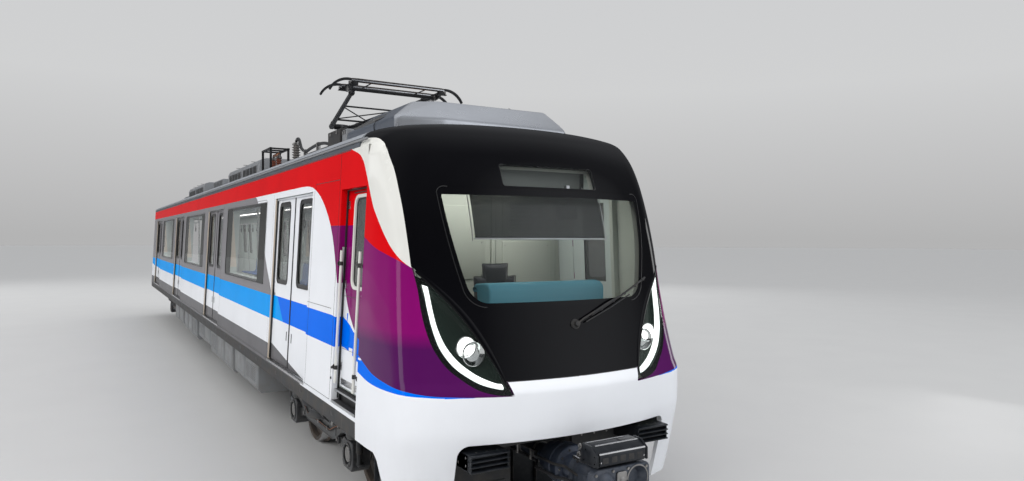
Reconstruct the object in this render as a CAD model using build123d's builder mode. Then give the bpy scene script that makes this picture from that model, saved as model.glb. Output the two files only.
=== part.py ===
from build123d import *
import os
from math import asin, sin, cos, radians, sqrt

os.makedirs("parts", exist_ok=True)

# Driving dimensions, mm. X across the car, Y along it with the cab end at -Y, Z up.
# Z = 0 is the lowest point of the wheel flanges; RAIL is the top of the rail.
RAIL = 28
END_Y = 11250          # nose tip (-Y) and rear end wall (+Y)
TIP_Y = -END_Y
COUPLER_Y = 11750      # coupler faces
HALF_W = 1450          # at floor level
LEAN = 0.05066         # the sides lean inwards going up
FLOOR = RAIL + 1130
UNDER = RAIL + 950
GUTTER = RAIL + 3430
CROWN = RAIL + 3700
WALL = 115
ROOF_T = 60
SHELL_T = 60
GLASS_T = 16

NOSE_BACK = 1000       # behind the nose tip: nose shell meets the side walls
DOME_BACK = 1500       # behind the nose tip: nose dome meets the roof

DOOR_Y = [TIP_Y + d for d in (3760, 9380, 15000, 20620)]   # doorway centres
DOOR_W = 1700
DOOR_TOP = RAIL + 3110
LEAF_T = 35
LEAF_GAP = 3           # from the doorway centre to a leaf's closing edge
LEAF_LAP = 30          # leaf behind the jamb when shut
LEAF_TRAVEL = 800
SKIN = 32              # outer skin of the wall in front of a pocket
POCKET_T = 51
WIN_Z = (RAIL + 2020, RAIL + 3090)     # outer pane, let into the skin over the pockets
PANE_W = 2960
WIN_W = 2140           # clear opening between the pockets
PANE_T = 10

CAB_DOOR = (1240, 1930)           # behind the nose tip
CAB_DOOR_Z = (RAIL + 1275, RAIL + 3070)
CAB_LEAF_T = 40
CAB_RECESS = 72

BOGIE_Y = 7600
WHEEL_BASE = 2200
WHEEL_R = 430
FLANGE_R = WHEEL_R + RAIL
AXLE_Z = RAIL + WHEEL_R
BACK_TO_BACK = 680     # half distance between wheel backs

COUPLER_Z = RAIL + 800
COUPLER_PIVOT_Y = 9950

PAN_BASE_Y, PAN_BASE_Z = TIP_Y + 5050, RAIL + 3950
PAN_KNEE_Y, PAN_KNEE_Z = TIP_Y + 6300, RAIL + 4330
PAN_HEAD_Y, PAN_HEAD_Z = TIP_Y + 4120, RAIL + 4480


def side_x(z):
    """Outer half width of the body at height z."""
    return HALF_W - LEAN * max(0, z - FLOOR)


def block(x0, x1, y0, y1, z0, z1, mode=Mode.ADD):
    """A box between two corners."""
    with Locations(((x0 + x1) / 2, (y0 + y1) / 2, (z0 + z1) / 2)):
        Box(abs(x1 - x0), abs(y1 - y0), abs(z1 - z0), mode=mode)


def rod(p, q, r, mode=Mode.ADD):
    """A round bar from p to q."""
    a, b = Vector(*p), Vector(*q)
    with BuildSketch(Plane(origin=a, z_dir=b - a)) as ring:
        Circle(r)
    extrude(ring.sketch, amount=(b - a).length, mode=mode)


def save(part, name, colour):
    part.label = name
    part.color = Color(*colour)
    export_step(part, f"parts/{name}.step")


# ---------------------------------------------------------------- body section
def arch_points(t):
    """Right half of the body section, inset by t: sill, gutter, roof edge, crown."""
    return (HALF_W - t, RAIL + 400), (HALF_W - t, FLOOR), (side_x(GUTTER) - t, GUTTER - t / 2), \
        (1200 - t, RAIL + 3580 - t), (0, CROWN - t)


BOTTOM = RAIL + 300


def arch_prism(t, y0, y1):
    """The body section inset by t, extruded between y0 and y1."""
    low, sill, gut, edge, crown = arch_points(t)
    with BuildPart() as prism:
        with BuildSketch(Plane.XZ.offset(-y0)):
            with BuildLine():
                Polyline((-sill[0], BOTTOM), (sill[0], BOTTOM), sill, gut)
                ThreePointArc(gut, (gut[0] - 38, (gut[1] + edge[1]) / 2 + 28), edge)
                ThreePointArc(edge, crown, (-edge[0], edge[1]))
                ThreePointArc((-edge[0], edge[1]), (-gut[0] + 38, (gut[1] + edge[1]) / 2 + 28), (-gut[0], gut[1]))
                Line((-gut[0], gut[1]), (-sill[0], sill[1]))
                Line((-sill[0], sill[1]), (-sill[0], BOTTOM))
            make_face()
        extrude(amount=-(y1 - y0))
    return prism.part


# ---------------------------------------------------------------- nose surface
# Each nose section is level: a front arc, two corner arcs and two flank arcs that run into the sides.
FRONT_R, CORNER_R, FLANK_R, FLANK_ANGLE = 3300, 420, 2500, 80
# height above rail, setback of the section's foremost point from the nose tip
NOSE_SECTIONS = [(500, 190), (970, 60), (1200, 10), (1450, 0), (1570, 50), (2140, 210), (2600, 300),
                 (2985, 410), (3300, 550), (3500, 720), (3620, 920), (3700, 1450)]


def nose_line(half, t):
    """Points of one section's left half, as (x, setback), inset by t: ends and middles of the arcs."""
    r1, r2, r3, p2 = FRONT_R - t, CORNER_R - t, FLANK_R - t, radians(FLANK_ANGLE)
    a = half - t
    s1 = (a - r2 * sin(p2) - r3 * (1 - sin(p2))) / (r1 - r2)
    c1 = sqrt(1 - s1 * s1)
    x1, i1 = r1 * s1, r1 * (1 - c1)
    x2, i2 = x1 + r2 * (sin(p2) - s1), i1 + r2 * (c1 - cos(p2))
    x3, i3 = a, i2 + r3 * cos(p2)
    pm = (asin(s1) + p2) / 2
    xm, im = x1 + r2 * (sin(pm) - s1), i1 + r2 * (c1 - cos(pm))
    pf = (p2 + radians(90)) / 2
    xf, jf = x2 + r3 * (sin(pf) - sin(p2)), i2 + r3 * (cos(p2) - cos(pf))
    return (x1, i1), (xm, im), (x2, i2), (xf, jf), (x3, i3)


def nose_loft(t, drop):
    """Solid nose inset by t, its sections lowered by drop."""
    back = TIP_Y + 2700
    with BuildPart() as nose:
        for h, setback in NOSE_SECTIONS:
            z = RAIL + h - drop
            p1, pm, p2, pf, p3 = [(x, TIP_Y + setback + t + i) for x, i in nose_line(side_x(RAIL + h), t)]
            m = lambda p: (-p[0], p[1])
            with BuildSketch(Plane.XY.offset(z)):
                with BuildLine():
                    Polyline(m(p3), (-p3[0], back), (p3[0], back), p3)
                    ThreePointArc(p3, pf, p2)
                    ThreePointArc(p2, pm, p1)
                    ThreePointArc(p1, (0, TIP_Y + setback + t), m(p1))
                    ThreePointArc(m(p1), m(pm), m(p2))
                    ThreePointArc(m(p2), m(pf), m(p3))
                make_face()
        loft(ruled=True)
    return nose.part


def nose_solid(t, drop):
    return nose_loft(t, drop) & arch_prism(t, TIP_Y - 100, TIP_Y + 2800)


def front_prism(points, depth0=-100, depth1=1700):
    """A closed outline in the front view, extruded through the nose. A point with three numbers is the middle of an arc."""
    with BuildPart() as prism:
        with BuildSketch(Plane.XZ.offset(-(TIP_Y + depth0))):
            with BuildLine():
                i, n = 0, len(points)
                while i < n:
                    a, b = points[i], points[(i + 1) % n]
                    if len(b) == 3:
                        c = points[(i + 2) % n]
                        ThreePointArc((a[0], RAIL + a[1]), (b[0], RAIL + b[1]), (c[0], RAIL + c[1]))
                        i += 2
                    else:
                        Line((a[0], RAIL + a[1]), (b[0], RAIL + b[1]))
                        i += 1
            make_face()
        extrude(amount=-(depth1 - depth0))
    return prism.part


SEAM_Z = 1550          # bumper to mask, above rail
MASK_X = 1257
LAMP_TOP, LAMP_TIP = (MASK_X, 2437), (600, 1444)
mask_outline = [(-MASK_X, 2437), (-MASK_X, 3900), (MASK_X, 3900), (MASK_X, 2437), (880, 1990, 0), (640, SEAM_Z),
                (-640, SEAM_Z), (-880, 1990, 0)]
glass_outline = [(-720, 2125), (720, 2125), (820, 2165, 0), (880, 2270), (960, 2620, 0), (1000, 3010), (-1000, 3010),
                 (-960, 2620, 0), (-880, 2270), (-820, 2165, 0)]
display_outline = [(-480, 3055), (480, 3055), (480, 3255), (-480, 3255)]
pilot_outline = [(-1010, 300), (-1010, 1000), (-985, 1065, 0), (-920, 1090), (920, 1090), (985, 1065, 0), (1010, 1000), (1010, 300)]


def lamp_outline(s):
    top, tip = (s * LAMP_TOP[0], LAMP_TOP[1]), (s * LAMP_TIP[0], LAMP_TIP[1])
    return [top, (s * 1120, 1800, 0), tip, (s * 640, SEAM_Z), (s * 880, 1990, 0)]


nose_out = nose_solid(0, 0)
shell = nose_out - nose_solid(SHELL_T, 45)
glass_shell = nose_out - nose_solid(GLASS_T, 12)
with BuildPart() as cutter:
    block(-2000, 2000, TIP_Y + NOSE_BACK, TIP_Y + 3000, 0, GUTTER)
    block(-2000, 2000, TIP_Y + DOME_BACK, TIP_Y + 3000, 0, CROWN + 500)
shell = shell - cutter.part

mask_prism = front_prism(mask_outline)
glass_prism = front_prism(glass_outline)
display_prism = front_prism(display_outline, -100, 800)
lamp_left, lamp_right = front_prism(lamp_outline(-1)), front_prism(lamp_outline(1))
with BuildPart() as low_box:
    block(-2000, 2000, TIP_Y - 200, TIP_Y + 1800, 0, RAIL + SEAM_Z)
with BuildPart() as front_half:
    block(-2000, 2000, TIP_Y - 200, TIP_Y + NOSE_BACK - 150, RAIL + 1400, RAIL + 2600)
with BuildPart() as top_half:
    block(-2000, 2000, TIP_Y - 200, TIP_Y + DOME_BACK, RAIL + 2600, CROWN + 100)
front_zone = front_half.part + top_half.part

lamps = lamp_left + lamp_right
with BuildPart() as skirt_cut:
    with BuildSketch(Plane.YZ.offset(-1600)):
        Polygon((TIP_Y + 560, RAIL + 490), (TIP_Y + 760, RAIL + 900), (TIP_Y + 820, UNDER), (TIP_Y + 1010, UNDER),
                (TIP_Y + 1010, RAIL + 490), align=None)
    extrude(amount=3200)
front_bumper = (shell & low_box.part) - front_prism(pilot_outline, -100, 600) - lamps - skirt_cut.part
upper = shell - low_box.part
front_mask = (upper & mask_prism & front_zone) - glass_prism - display_prism - lamps
nose_panels = upper - (mask_prism & front_zone) - lamps - glass_prism - display_prism
windscreen = (glass_shell & (glass_prism + display_prism)) & top_half.part.fuse(front_half.part)
headlight_l = shell & (lamp_left & front_half.part)
headlight_r = shell & (lamp_right & front_half.part)

WHITE, BLACK, STEEL, GREY, GLASS, DARK = (.9, .9, .9), (.05, .05, .05), (.6, .6, .62), (.5, .5, .52), (.1, .15, .18), (.2, .2, .22)
save(front_bumper, "front_bumper", WHITE)
save(front_mask, "front_mask", BLACK)
save(nose_panels, "nose_panels", (.6, .1, .3))
save(windscreen, "windscreen", GLASS)
save(headlight_l, "headlight_left", DARK)
save(headlight_r, "headlight_right", DARK)

# ---------------------------------------------------------------- underframe
with BuildPart() as underframe:
    block(-HALF_W, HALF_W, TIP_Y + NOSE_BACK, END_Y, UNDER, FLOOR)
    block(-1150, 1150, TIP_Y + 420, TIP_Y + NOSE_BACK, UNDER, FLOOR)
    # jacking pads under the sole bars
    for s in (-1, 1):
        for e in (-1, 1):
            block(s * 1290, s * 1430, e * 5680, e * 5820, UNDER - 25, UNDER)
save(underframe.part, "underframe", DARK)
with BuildPart() as brackets:
    for s in (-1, 1):
        block(-170, 170, s * (COUPLER_PIVOT_Y - 330), s * (COUPLER_PIVOT_Y - 110), RAIL + 620, UNDER)
save(brackets.part, "draft_gear_brackets", DARK)

# ---------------------------------------------------------------- side walls
# window bays: middles, along Y
BAYS = [(DOOR_Y[i] + DOOR_Y[i + 1]) / 2 for i in range(3)]


def wall_band(s, out0, out1, y0, y1, z0, z1):
    """A slab of the leaning wall, between two depths in from the outer face."""
    with BuildSketch(Plane.XZ.offset(-y0)) as band:
        with BuildLine():
            Polyline((s * (side_x(z0) - out0), z0), (s * (side_x(z1) - out0), z1), (s * (side_x(z1) - out1), z1),
                     (s * (side_x(z0) - out1), z0), close=True)
        make_face()
    return band.sketch


def make_side(s):
    with BuildPart() as wall:
        extrude(wall_band(s, 0, WALL, TIP_Y + NOSE_BACK, END_Y, FLOOR, GUTTER), amount=-(END_Y - TIP_Y - NOSE_BACK))
        for y in DOOR_Y:
            block(s * 1100, s * 1600, y - DOOR_W / 2, y + DOOR_W / 2, FLOOR - 10, DOOR_TOP, mode=Mode.SUBTRACT)
            reach = DOOR_W / 2 + LEAF_TRAVEL + LEAF_LAP + 15
            extrude(wall_band(s, SKIN, SKIN + POCKET_T, y - reach, y + reach, FLOOR, DOOR_TOP + 60), amount=-2 * reach,
                    mode=Mode.SUBTRACT)
        for y in BAYS:
            block(s * 1100, s * 1600, y - WIN_W / 2, y + WIN_W / 2, WIN_Z[0] + 40, WIN_Z[1] - 40, mode=Mode.SUBTRACT)
            extrude(wall_band(s, -5, PANE_T + 2, y - PANE_W / 2, y + PANE_W / 2, *WIN_Z), amount=-PANE_W, mode=Mode.SUBTRACT)
        # cab doorway: a niche for the step and rails, and the opening behind it
        c0, c1 = TIP_Y + CAB_DOOR[0], TIP_Y + CAB_DOOR[1]
        extrude(wall_band(s, -5, CAB_RECESS, c0, c1, FLOOR - 1, CAB_DOOR_Z[1] + 10), amount=-(c1 - c0), mode=Mode.SUBTRACT)
        block(s * 1100, s * 1600, c0, c1, CAB_DOOR_Z[0] - 10, CAB_DOOR_Z[1] + 10, mode=Mode.SUBTRACT)
    return wall.part


for s, side in ((-1, "left"), (1, "right")):
    save(make_side(s), f"side_wall_{side}", WHITE)
    with BuildPart() as panes:
        for y in BAYS:
            extrude(wall_band(s, 2, 2 + PANE_T, y - PANE_W / 2, y + PANE_W / 2, *WIN_Z), amount=-PANE_W)
    save(panes.part, f"side_windows_{side}", GLASS)

# ---------------------------------------------------------------- door leaves
LEAF_Z = (FLOOR + 8, DOOR_TOP + 45)
LEAF_WIN = (RAIL + 2090, RAIL + 3040)
for s, side in ((-1, "left"), (1, "right")):
    for n, y in enumerate(DOOR_Y, 1):
        for e, end in ((-1, "front"), (1, "rear")):
            near, far = y + e * LEAF_GAP, y + e * (DOOR_W / 2 + LEAF_LAP)
            y0, y1 = min(near, far), max(near, far)
            with BuildPart() as leaf:
                extrude(wall_band(s, SKIN + 8, SKIN + 8 + LEAF_T, y0, y1, *LEAF_Z), amount=-(y1 - y0))
                wy, hw = y + e * 475, 250
                block(s * 1100, s * 1600, wy - hw, wy + hw, *LEAF_WIN, mode=Mode.SUBTRACT)
                extrude(wall_band(s, SKIN + 16, SKIN + 34, wy - hw, wy + hw, *LEAF_WIN), amount=-2 * hw)
            save(leaf.part, f"door_{side}_{n}_{end}", WHITE)
    with BuildPart() as cab_door:
        c0, c1 = TIP_Y + CAB_DOOR[0] + 8, TIP_Y + CAB_DOOR[1] - 8
        extrude(wall_band(s, CAB_RECESS, CAB_RECESS + CAB_LEAF_T, c0, c1, *CAB_DOOR_Z), amount=-(c1 - c0))
        block(s * 1100, s * 1600, c0 + 110, c1 - 200, RAIL + 2190, RAIL + 3010, mode=Mode.SUBTRACT)
        extrude(wall_band(s, CAB_RECESS + 10, CAB_RECESS + 28, c0 + 110, c1 - 200, RAIL + 2190, RAIL + 3010),
                amount=-(c1 - c0 - 310))
        # hinge barrels along the leaning inner rear edge
        for z in (RAIL + 1400, RAIL + 2150, RAIL + 2880):
            ends = [(s * (side_x(h) - CAB_RECESS - CAB_LEAF_T), c1, h) for h in (z, z + 110)]
            rod(ends[0], ends[1], 6)
    save(cab_door.part, f"cab_door_{side}", WHITE)

# ---------------------------------------------------------------- roof, ceiling and end wall
roof = arch_prism(0, TIP_Y + DOME_BACK, END_Y) - arch_prism(ROOF_T, TIP_Y + DOME_BACK - 10, END_Y + 10)
with BuildPart() as roof_edge:
    block(-2000, 2000, TIP_Y + NOSE_BACK, END_Y, GUTTER, CROWN + 10)
roof = roof & roof_edge.part
save(roof, "roof", GREY)

with BuildPart() as ceiling:
    block(-1190, 1190, TIP_Y + 2260, END_Y - 90, RAIL + 3250, RAIL + 3275)
save(ceiling.part, "ceiling", WHITE)


def cross_wall(y, thick, door_half, door_top):
    wall = arch_prism(WALL + 6, y, y + thick)
    with BuildPart() as hole:
        block(-door_half, door_half, y - 10, y + thick + 10, FLOOR - 10, door_top)
    return wall - hole.part


with BuildPart() as end_cut:
    block(-650, 650, END_Y - 100, END_Y + 10, FLOOR - 10, FLOOR + 2050)
with BuildPart() as end_keep:
    block(-2000, 2000, END_Y - 100, END_Y + 10, FLOOR, GUTTER)
inner_end = (arch_prism(WALL, END_Y - 80, END_Y) - end_cut.part) & end_keep.part
with BuildPart() as end_top:
    block(-2000, 2000, END_Y - 80, END_Y, GUTTER, CROWN)
save(inner_end + (arch_prism(ROOF_T, END_Y - 80, END_Y) & end_top.part), "rear_end_wall", WHITE)
with BuildPart() as keep_low:
    block(-2000, 2000, TIP_Y + 2190, TIP_Y + 2300, FLOOR, GUTTER)
save(cross_wall(TIP_Y + 2200, 50, 0.1, FLOOR - 5) & keep_low.part, "cab_bulkhead", (.7, .74, .7))

with BuildPart() as gangway:
    block(-860, 860, END_Y, END_Y + 400, FLOOR - 60, FLOOR + 2200)
    block(-700, 700, END_Y - 10, END_Y + 410, FLOOR, FLOOR + 2100, mode=Mode.SUBTRACT)
save(gangway.part, "gangway_bellows", BLACK)
with BuildPart() as frame:
    block(-880, 880, END_Y + 400, END_Y + 450, FLOOR - 80, FLOOR + 2220)
    block(-690, 690, END_Y + 390, END_Y + 460, FLOOR, FLOOR + 2090, mode=Mode.SUBTRACT)
save(frame.part, "gangway_frame", STEEL)

# ---------------------------------------------------------------- cab and saloon inside
with BuildPart() as desk:
    block(-1080, 1080, TIP_Y + 520, TIP_Y + 1050, FLOOR + 820, FLOOR + 900)
    block(-1080, 1080, TIP_Y + 560, TIP_Y + 760, FLOOR, FLOOR + 820)
    # instrument hood on the desk, before the seat
    block(-450, 800, TIP_Y + 640, TIP_Y + 960, FLOOR + 880, FLOOR + 1130)
save(desk.part, "cab_desk", (.2, .4, .45))
with BuildPart() as seat:
    block(-70, 470, TIP_Y + 1350, TIP_Y + 1830, FLOOR + 420, FLOOR + 520)
    block(-70, 470, TIP_Y + 1760, TIP_Y + 1860, FLOOR + 520, FLOOR + 1250)
    rod((200, TIP_Y + 1600, FLOOR), (200, TIP_Y + 1600, FLOOR + 420), 60)
save(seat.part, "driver_seat", DARK)
with BuildPart() as display:
    block(-500, 500, TIP_Y + 680, TIP_Y + 820, RAIL + 3050, RAIL + 3270)
save(display.part, "destination_display", BLACK)
with BuildPart() as benches:
    for s in (-1, 1):
        for y in BAYS:
            x1 = side_x(FLOOR + 900) - WALL - 12
            block(s * (x1 - 470), s * x1, y - 1150, y + 1150, FLOOR + 380, FLOOR + 440)
            block(s * (x1 - 60), s * x1, y - 1150, y + 1150, FLOOR + 440, FLOOR + 850)
            for f in (-1000, 0, 1000):
                block(s * (x1 - 420), s * (x1 - 10), y + f - 25, y + f + 25, FLOOR, FLOOR + 380)
save(benches.part, "passenger_seats", (.1, .25, .5))
with BuildPart() as poles:
    for y in DOOR_Y:
        for s in (-1, 1):
            for e in (-1, 1):
                rod((s * 800, y + e * 930, FLOOR), (s * 800, y + e * 930, RAIL + 3250), 17)
save(poles.part, "grab_poles", STEEL)

# ---------------------------------------------------------------- front underworks and couplers
with BuildPart() as anticlimbers:
    for s in (-1, 1):
        block(s * 630, s * 960, TIP_Y + 110, TIP_Y + 420, RAIL + 900, RAIL + 1040)
        for k in range(4):
            block(s * 630, s * 960, TIP_Y + 70, TIP_Y + 110, RAIL + 903 + 38 * k, RAIL + 921 + 38 * k)
save(anticlimbers.part, "anticlimbers", BLACK)

with BuildPart() as coupler:
    rod((0, -COUPLER_PIVOT_Y - 70, COUPLER_Z), (0, TIP_Y - 100, COUPLER_Z), 82)
    rod((0, -COUPLER_PIVOT_Y, COUPLER_Z - 120), (0, -COUPLER_PIVOT_Y, COUPLER_Z + 120), 80)
    rod((0, TIP_Y + 40, COUPLER_Z), (0, TIP_Y + 330, COUPLER_Z), 175)
    rod((0, TIP_Y - 110, COUPLER_Z), (0, TIP_Y + 40, COUPLER_Z), 120)
    block(-190, 190, -COUPLER_Y + 60, TIP_Y - 100, COUPLER_Z - 150, COUPLER_Z + 150)
    block(-270, 270, -COUPLER_Y, -COUPLER_Y + 90, COUPLER_Z - 175, COUPLER_Z + 170)
    with Locations((150, -COUPLER_Y + 45, COUPLER_Z + 60)):
        Cone(50, 85, 90.2, rotation=(90, 0, 0), mode=Mode.SUBTRACT)
    # electric coupler head on brackets above the mechanical one
    block(-240, 240, -COUPLER_Y + 10, -COUPLER_Y + 240, COUPLER_Z + 185, COUPLER_Z + 340)
    for s in (-1, 1):
        block(s * 60, s * 130, -COUPLER_Y + 80, -COUPLER_Y + 230, COUPLER_Z + 140, COUPLER_Z + 190)
save(coupler.part, "front_coupler", DARK)

with BuildPart() as drawbar:
    rod((0, COUPLER_PIVOT_Y + 70 - 140, COUPLER_Z), (0, COUPLER_Y - 40, COUPLER_Z), 75)
    rod((0, COUPLER_PIVOT_Y, COUPLER_Z - 110), (0, COUPLER_PIVOT_Y, COUPLER_Z + 110), 80)
    rod((0, COUPLER_Y - 40, COUPLER_Z), (0, COUPLER_Y, COUPLER_Z), 150)
    with Locations((0, COUPLER_Y, COUPLER_Z)):
        with Locations(Plane.XZ.rotated((0, 0, 0))):
            with PolarLocations(120, 8):
                Cylinder(11, 200, mode=Mode.SUBTRACT)
save(drawbar.part, "rear_drawbar", DARK)

# ---------------------------------------------------------------- bogies
# side frame in side view: distance from the bogie centre, height above rail
FRAME_SIDE = [(-1450, 640), (-1450, 700), (-820, 720), (-460, 590), (460, 590), (820, 720), (1450, 700), (1450, 640), (840, 590),
              (520, 430), (-520, 430), (-840, 590)]
# air spring: radius, bottom and top above rail
AIR_SPRING = [(200, 580, 720), (270, 720, 890), (300, 890, UNDER - RAIL - 8)]
for n, (cy, name) in enumerate(((-BOGIE_Y, "front"), (BOGIE_Y, "rear"))):
    with BuildPart() as bogie:
        for s in (-1, 1):
            with BuildSketch(Plane.YZ.offset(930 if s > 0 else -1070)):
                Polygon(*[(cy + y, RAIL + z) for y, z in FRAME_SIDE], align=None)
            extrude(amount=140)
            for e in (-1, 1):
                ay = cy + e * WHEEL_BASE / 2
                block(s * 905, s * 1095, ay - 165, ay + 165, AXLE_Z - 150, AXLE_Z + 150)
                rod((s * 890, ay, AXLE_Z), (s * 1110, ay, AXLE_Z), 95 + 0.01 * n, mode=Mode.SUBTRACT)
                rod((s * 1000, ay, AXLE_Z + 140), (s * 1000, ay, RAIL + 640), 95)
            for r, z0, z1 in AIR_SPRING:
                rod((s * 1000, cy, RAIL + z0), (s * 1000, cy, RAIL + z1), r)
        block(-1070, 1070, cy - 230, cy + 230, RAIL + 430, RAIL + 570)
        rod((0, cy, RAIL + 500), (0, cy, UNDER - 8), 150)
        for e in (-1, 1):
            rod((-330, cy + e * 560, AXLE_Z), (330, cy + e * 560, AXLE_Z), 210)
            block(-330, 330, cy + e * 200, cy + e * 480, AXLE_Z - 100, RAIL + 560)
    save(bogie.part, f"bogie_frame_{name}", DARK)
    for e, pos in ((-1, 1), (1, 2)):
        ay = cy + e * WHEEL_BASE / 2
        with BuildPart() as wheels:
            rod((-1095, ay, AXLE_Z), (1095, ay, AXLE_Z), 70)
            for s in (-1, 1):
                b = BACK_TO_BACK * s
                rod((b, ay, AXLE_Z), (b + s * 30, ay, AXLE_Z), FLANGE_R)
                rod((b + s * 30, ay, AXLE_Z), (b + s * 135, ay, AXLE_Z), WHEEL_R)
                rod((s * 900, ay, AXLE_Z), (s * 1095, ay, AXLE_Z), 85)
        save(wheels.part, f"wheelset_{2 * n + pos}", STEEL)

# ---------------------------------------------------------------- underfloor boxes: y0, y1, half span in, half span out, bottom above rail
BOXES = [(-5300, -3500, 250, 1300, 420), (-3300, -900, 250, 1300, 380), (-700, 900, 200, 1280, 450), (1100, 3300, 250, 1300, 380),
         (3500, 5300, 250, 1300, 430)]
with BuildPart() as boxes:
    for y0, y1, x0, x1, low in BOXES:
        for s in (-1, 1):
            block(s * x0, s * x1, y0, y1, RAIL + low, UNDER)
save(boxes.part, "underfloor_equipment", GREY)

# ---------------------------------------------------------------- roof gear
with BuildPart() as fairing:
    f0, f1, f2, low = TIP_Y + 1460, TIP_Y + 1830, TIP_Y + 2950, RAIL + 3560
    with BuildSketch(Plane.XZ.offset(-f0)):
        Polygon((-990, low), (990, low), (990, RAIL + 3745), (620, RAIL + 3965), (-620, RAIL + 3965), (-990, RAIL + 3745), align=None)
    extrude(amount=-(f2 - f0))
    with BuildSketch(Plane.YZ.offset(-1100)):
        Polygon((f0 - 10, RAIL + 3700), (f0 - 10, RAIL + 4000), (f1, RAIL + 4000), (f1, RAIL + 3965), (f0, RAIL + 3745), align=None)
    extrude(amount=2200, mode=Mode.SUBTRACT)
fair = fairing.part - arch_prism(-1, f0 - 100, f2 + 100)
save(fair, "roof_fairing", STEEL)

# air conditioning: y0, y1, half width, top above rail
AC_UNITS = [(-3400, -400, 900, 3960), (3000, 6000, 900, 3960)]
with BuildPart() as ac:
    for y0, y1, hw, top in AC_UNITS:
        block(-hw, hw, y0, y1, RAIL + 3560, RAIL + top)
save(ac.part - arch_prism(-1, -5000, 9000), "air_conditioning", GREY)

with BuildPart() as roof_gear:
    block(-850, -350, 600, 1900, RAIL + 3600, RAIL + 3880)
    block(350, 850, 600, 1900, RAIL + 3600, RAIL + 3880)
    block(-700, 700, 7000, 8800, RAIL + 3600, RAIL + 3850)
save(roof_gear.part - arch_prism(-1, -5000, 9000), "roof_boxes", GREY)

# ---------------------------------------------------------------- pantograph
with BuildPart() as pan_base:
    for s in (-1, 1):
        for y in (PAN_BASE_Y - 450, PAN_BASE_Y + 1100):
            rod((s * 500, y, RAIL + 3660), (s * 500, y, PAN_BASE_Z - 110), 55)
        rod((s * 500, PAN_BASE_Y - 500, PAN_BASE_Z - 90), (s * 500, PAN_BASE_Y + 1150, PAN_BASE_Z - 90), 32)
        block(s * 400, s * 440, PAN_BASE_Y - 60, PAN_BASE_Y + 60, PAN_BASE_Z - 100, PAN_BASE_Z + 60)
        rod((s * 440, PAN_BASE_Y, PAN_BASE_Z), (s * 360, PAN_BASE_Y, PAN_BASE_Z), 20)
    for y in (PAN_BASE_Y - 450, PAN_BASE_Y, PAN_BASE_Y + 1100):
        rod((-500, y, PAN_BASE_Z - 90), (500, y, PAN_BASE_Z - 90), 28)
save(pan_base.part - arch_prism(-1, -8000, -3000), "pantograph_base", DARK)

knee = (PAN_KNEE_Y, PAN_KNEE_Z)
with BuildPart() as pan_lower:
    rod((-350, PAN_BASE_Y, PAN_BASE_Z), (350, PAN_BASE_Y, PAN_BASE_Z), 45)
    rod((-360, PAN_BASE_Y, PAN_BASE_Z), (360, PAN_BASE_Y, PAN_BASE_Z), 20.2, mode=Mode.SUBTRACT)
    rod((0, PAN_BASE_Y, PAN_BASE_Z), (0, *knee), 38)
    rod((-110, *knee), (110, *knee), 40)
save(pan_lower.part, "pantograph_lower_arm", BLACK)
with BuildPart() as pan_upper:
    for s in (-1, 1):
        rod((s * 118, *knee), (s * 175, *knee), 40)
        rod((s * 150, *knee), (s * 520, PAN_HEAD_Y, PAN_HEAD_Z), 22)
    rod((-560, PAN_HEAD_Y, PAN_HEAD_Z), (560, PAN_HEAD_Y, PAN_HEAD_Z), 20)
save(pan_upper.part, "pantograph_upper_arm", BLACK)
with BuildPart() as pan_head:
    for s in (-1, 1):
        block(s * 570, s * 600, PAN_HEAD_Y - 220, PAN_HEAD_Y + 220, PAN_HEAD_Z - 30, PAN_HEAD_Z + 60)
    for e in (-1, 1):
        y = PAN_HEAD_Y + e * 195
        block(-620, 620, y - 25, y + 25, PAN_HEAD_Z + 60, PAN_HEAD_Z + 95)
        for s in (-1, 1):
            with BuildSketch(Plane.XZ.offset(-(y - 20))) as horn:
                with BuildLine():
                    ThreePointArc((s * 620, PAN_HEAD_Z + 93), (s * 790, PAN_HEAD_Z + 55), (s * 900, PAN_HEAD_Z - 70))
                    Line((s * 900, PAN_HEAD_Z - 70), (s * 870, PAN_HEAD_Z - 85))
                    ThreePointArc((s * 870, PAN_HEAD_Z - 85), (s * 765, PAN_HEAD_Z + 28), (s * 620, PAN_HEAD_Z + 62))
                    Line((s * 620, PAN_HEAD_Z + 62), (s * 620, PAN_HEAD_Z + 93))
                make_face()
            extrude(horn.sketch, amount=-40)
save(pan_head.part, "pantograph_head", BLACK)

# ---------------------------------------------------------------- handrails and steps in the cab door niches
with BuildPart() as rails:
    for s in (-1, 1):
        for d, jamb in ((CAB_DOOR[0] + 125, CAB_DOOR[0]), (CAB_DOOR[1] - 50, CAB_DOOR[1])):
            z0, z1 = RAIL + 1310, RAIL + 2520
            rod((s * (side_x(z0) - 14), TIP_Y + d, z0), (s * (side_x(z1) - 14), TIP_Y + d, z1), 14)
            for z in (z0 + 40, z1 - 60):
                rod((s * (side_x(z) - 16), TIP_Y + d, z), (s * (side_x(z) - 16), TIP_Y + jamb, z), 11)
save(rails.part, "cab_handrails", WHITE)
with BuildPart() as steps:
    for s in (-1, 1):
        block(s * (HALF_W - 66), s * (HALF_W + 6), TIP_Y + CAB_DOOR[0] + 10, TIP_Y + CAB_DOOR[1] - 10, FLOOR + 4, FLOOR + 24)
        block(s * (HALF_W - 76), s * (HALF_W - 30), TIP_Y + CAB_DOOR[0] + 10, TIP_Y + CAB_DOOR[1] - 10, FLOOR + 104, FLOOR + 122)
        for d in (CAB_DOOR[0] + 60, CAB_DOOR[1] - 80):
            block(s * (HALF_W - 70), s * (HALF_W - 50), TIP_Y + d, TIP_Y + d + 20, FLOOR, FLOOR + 106)
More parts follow.
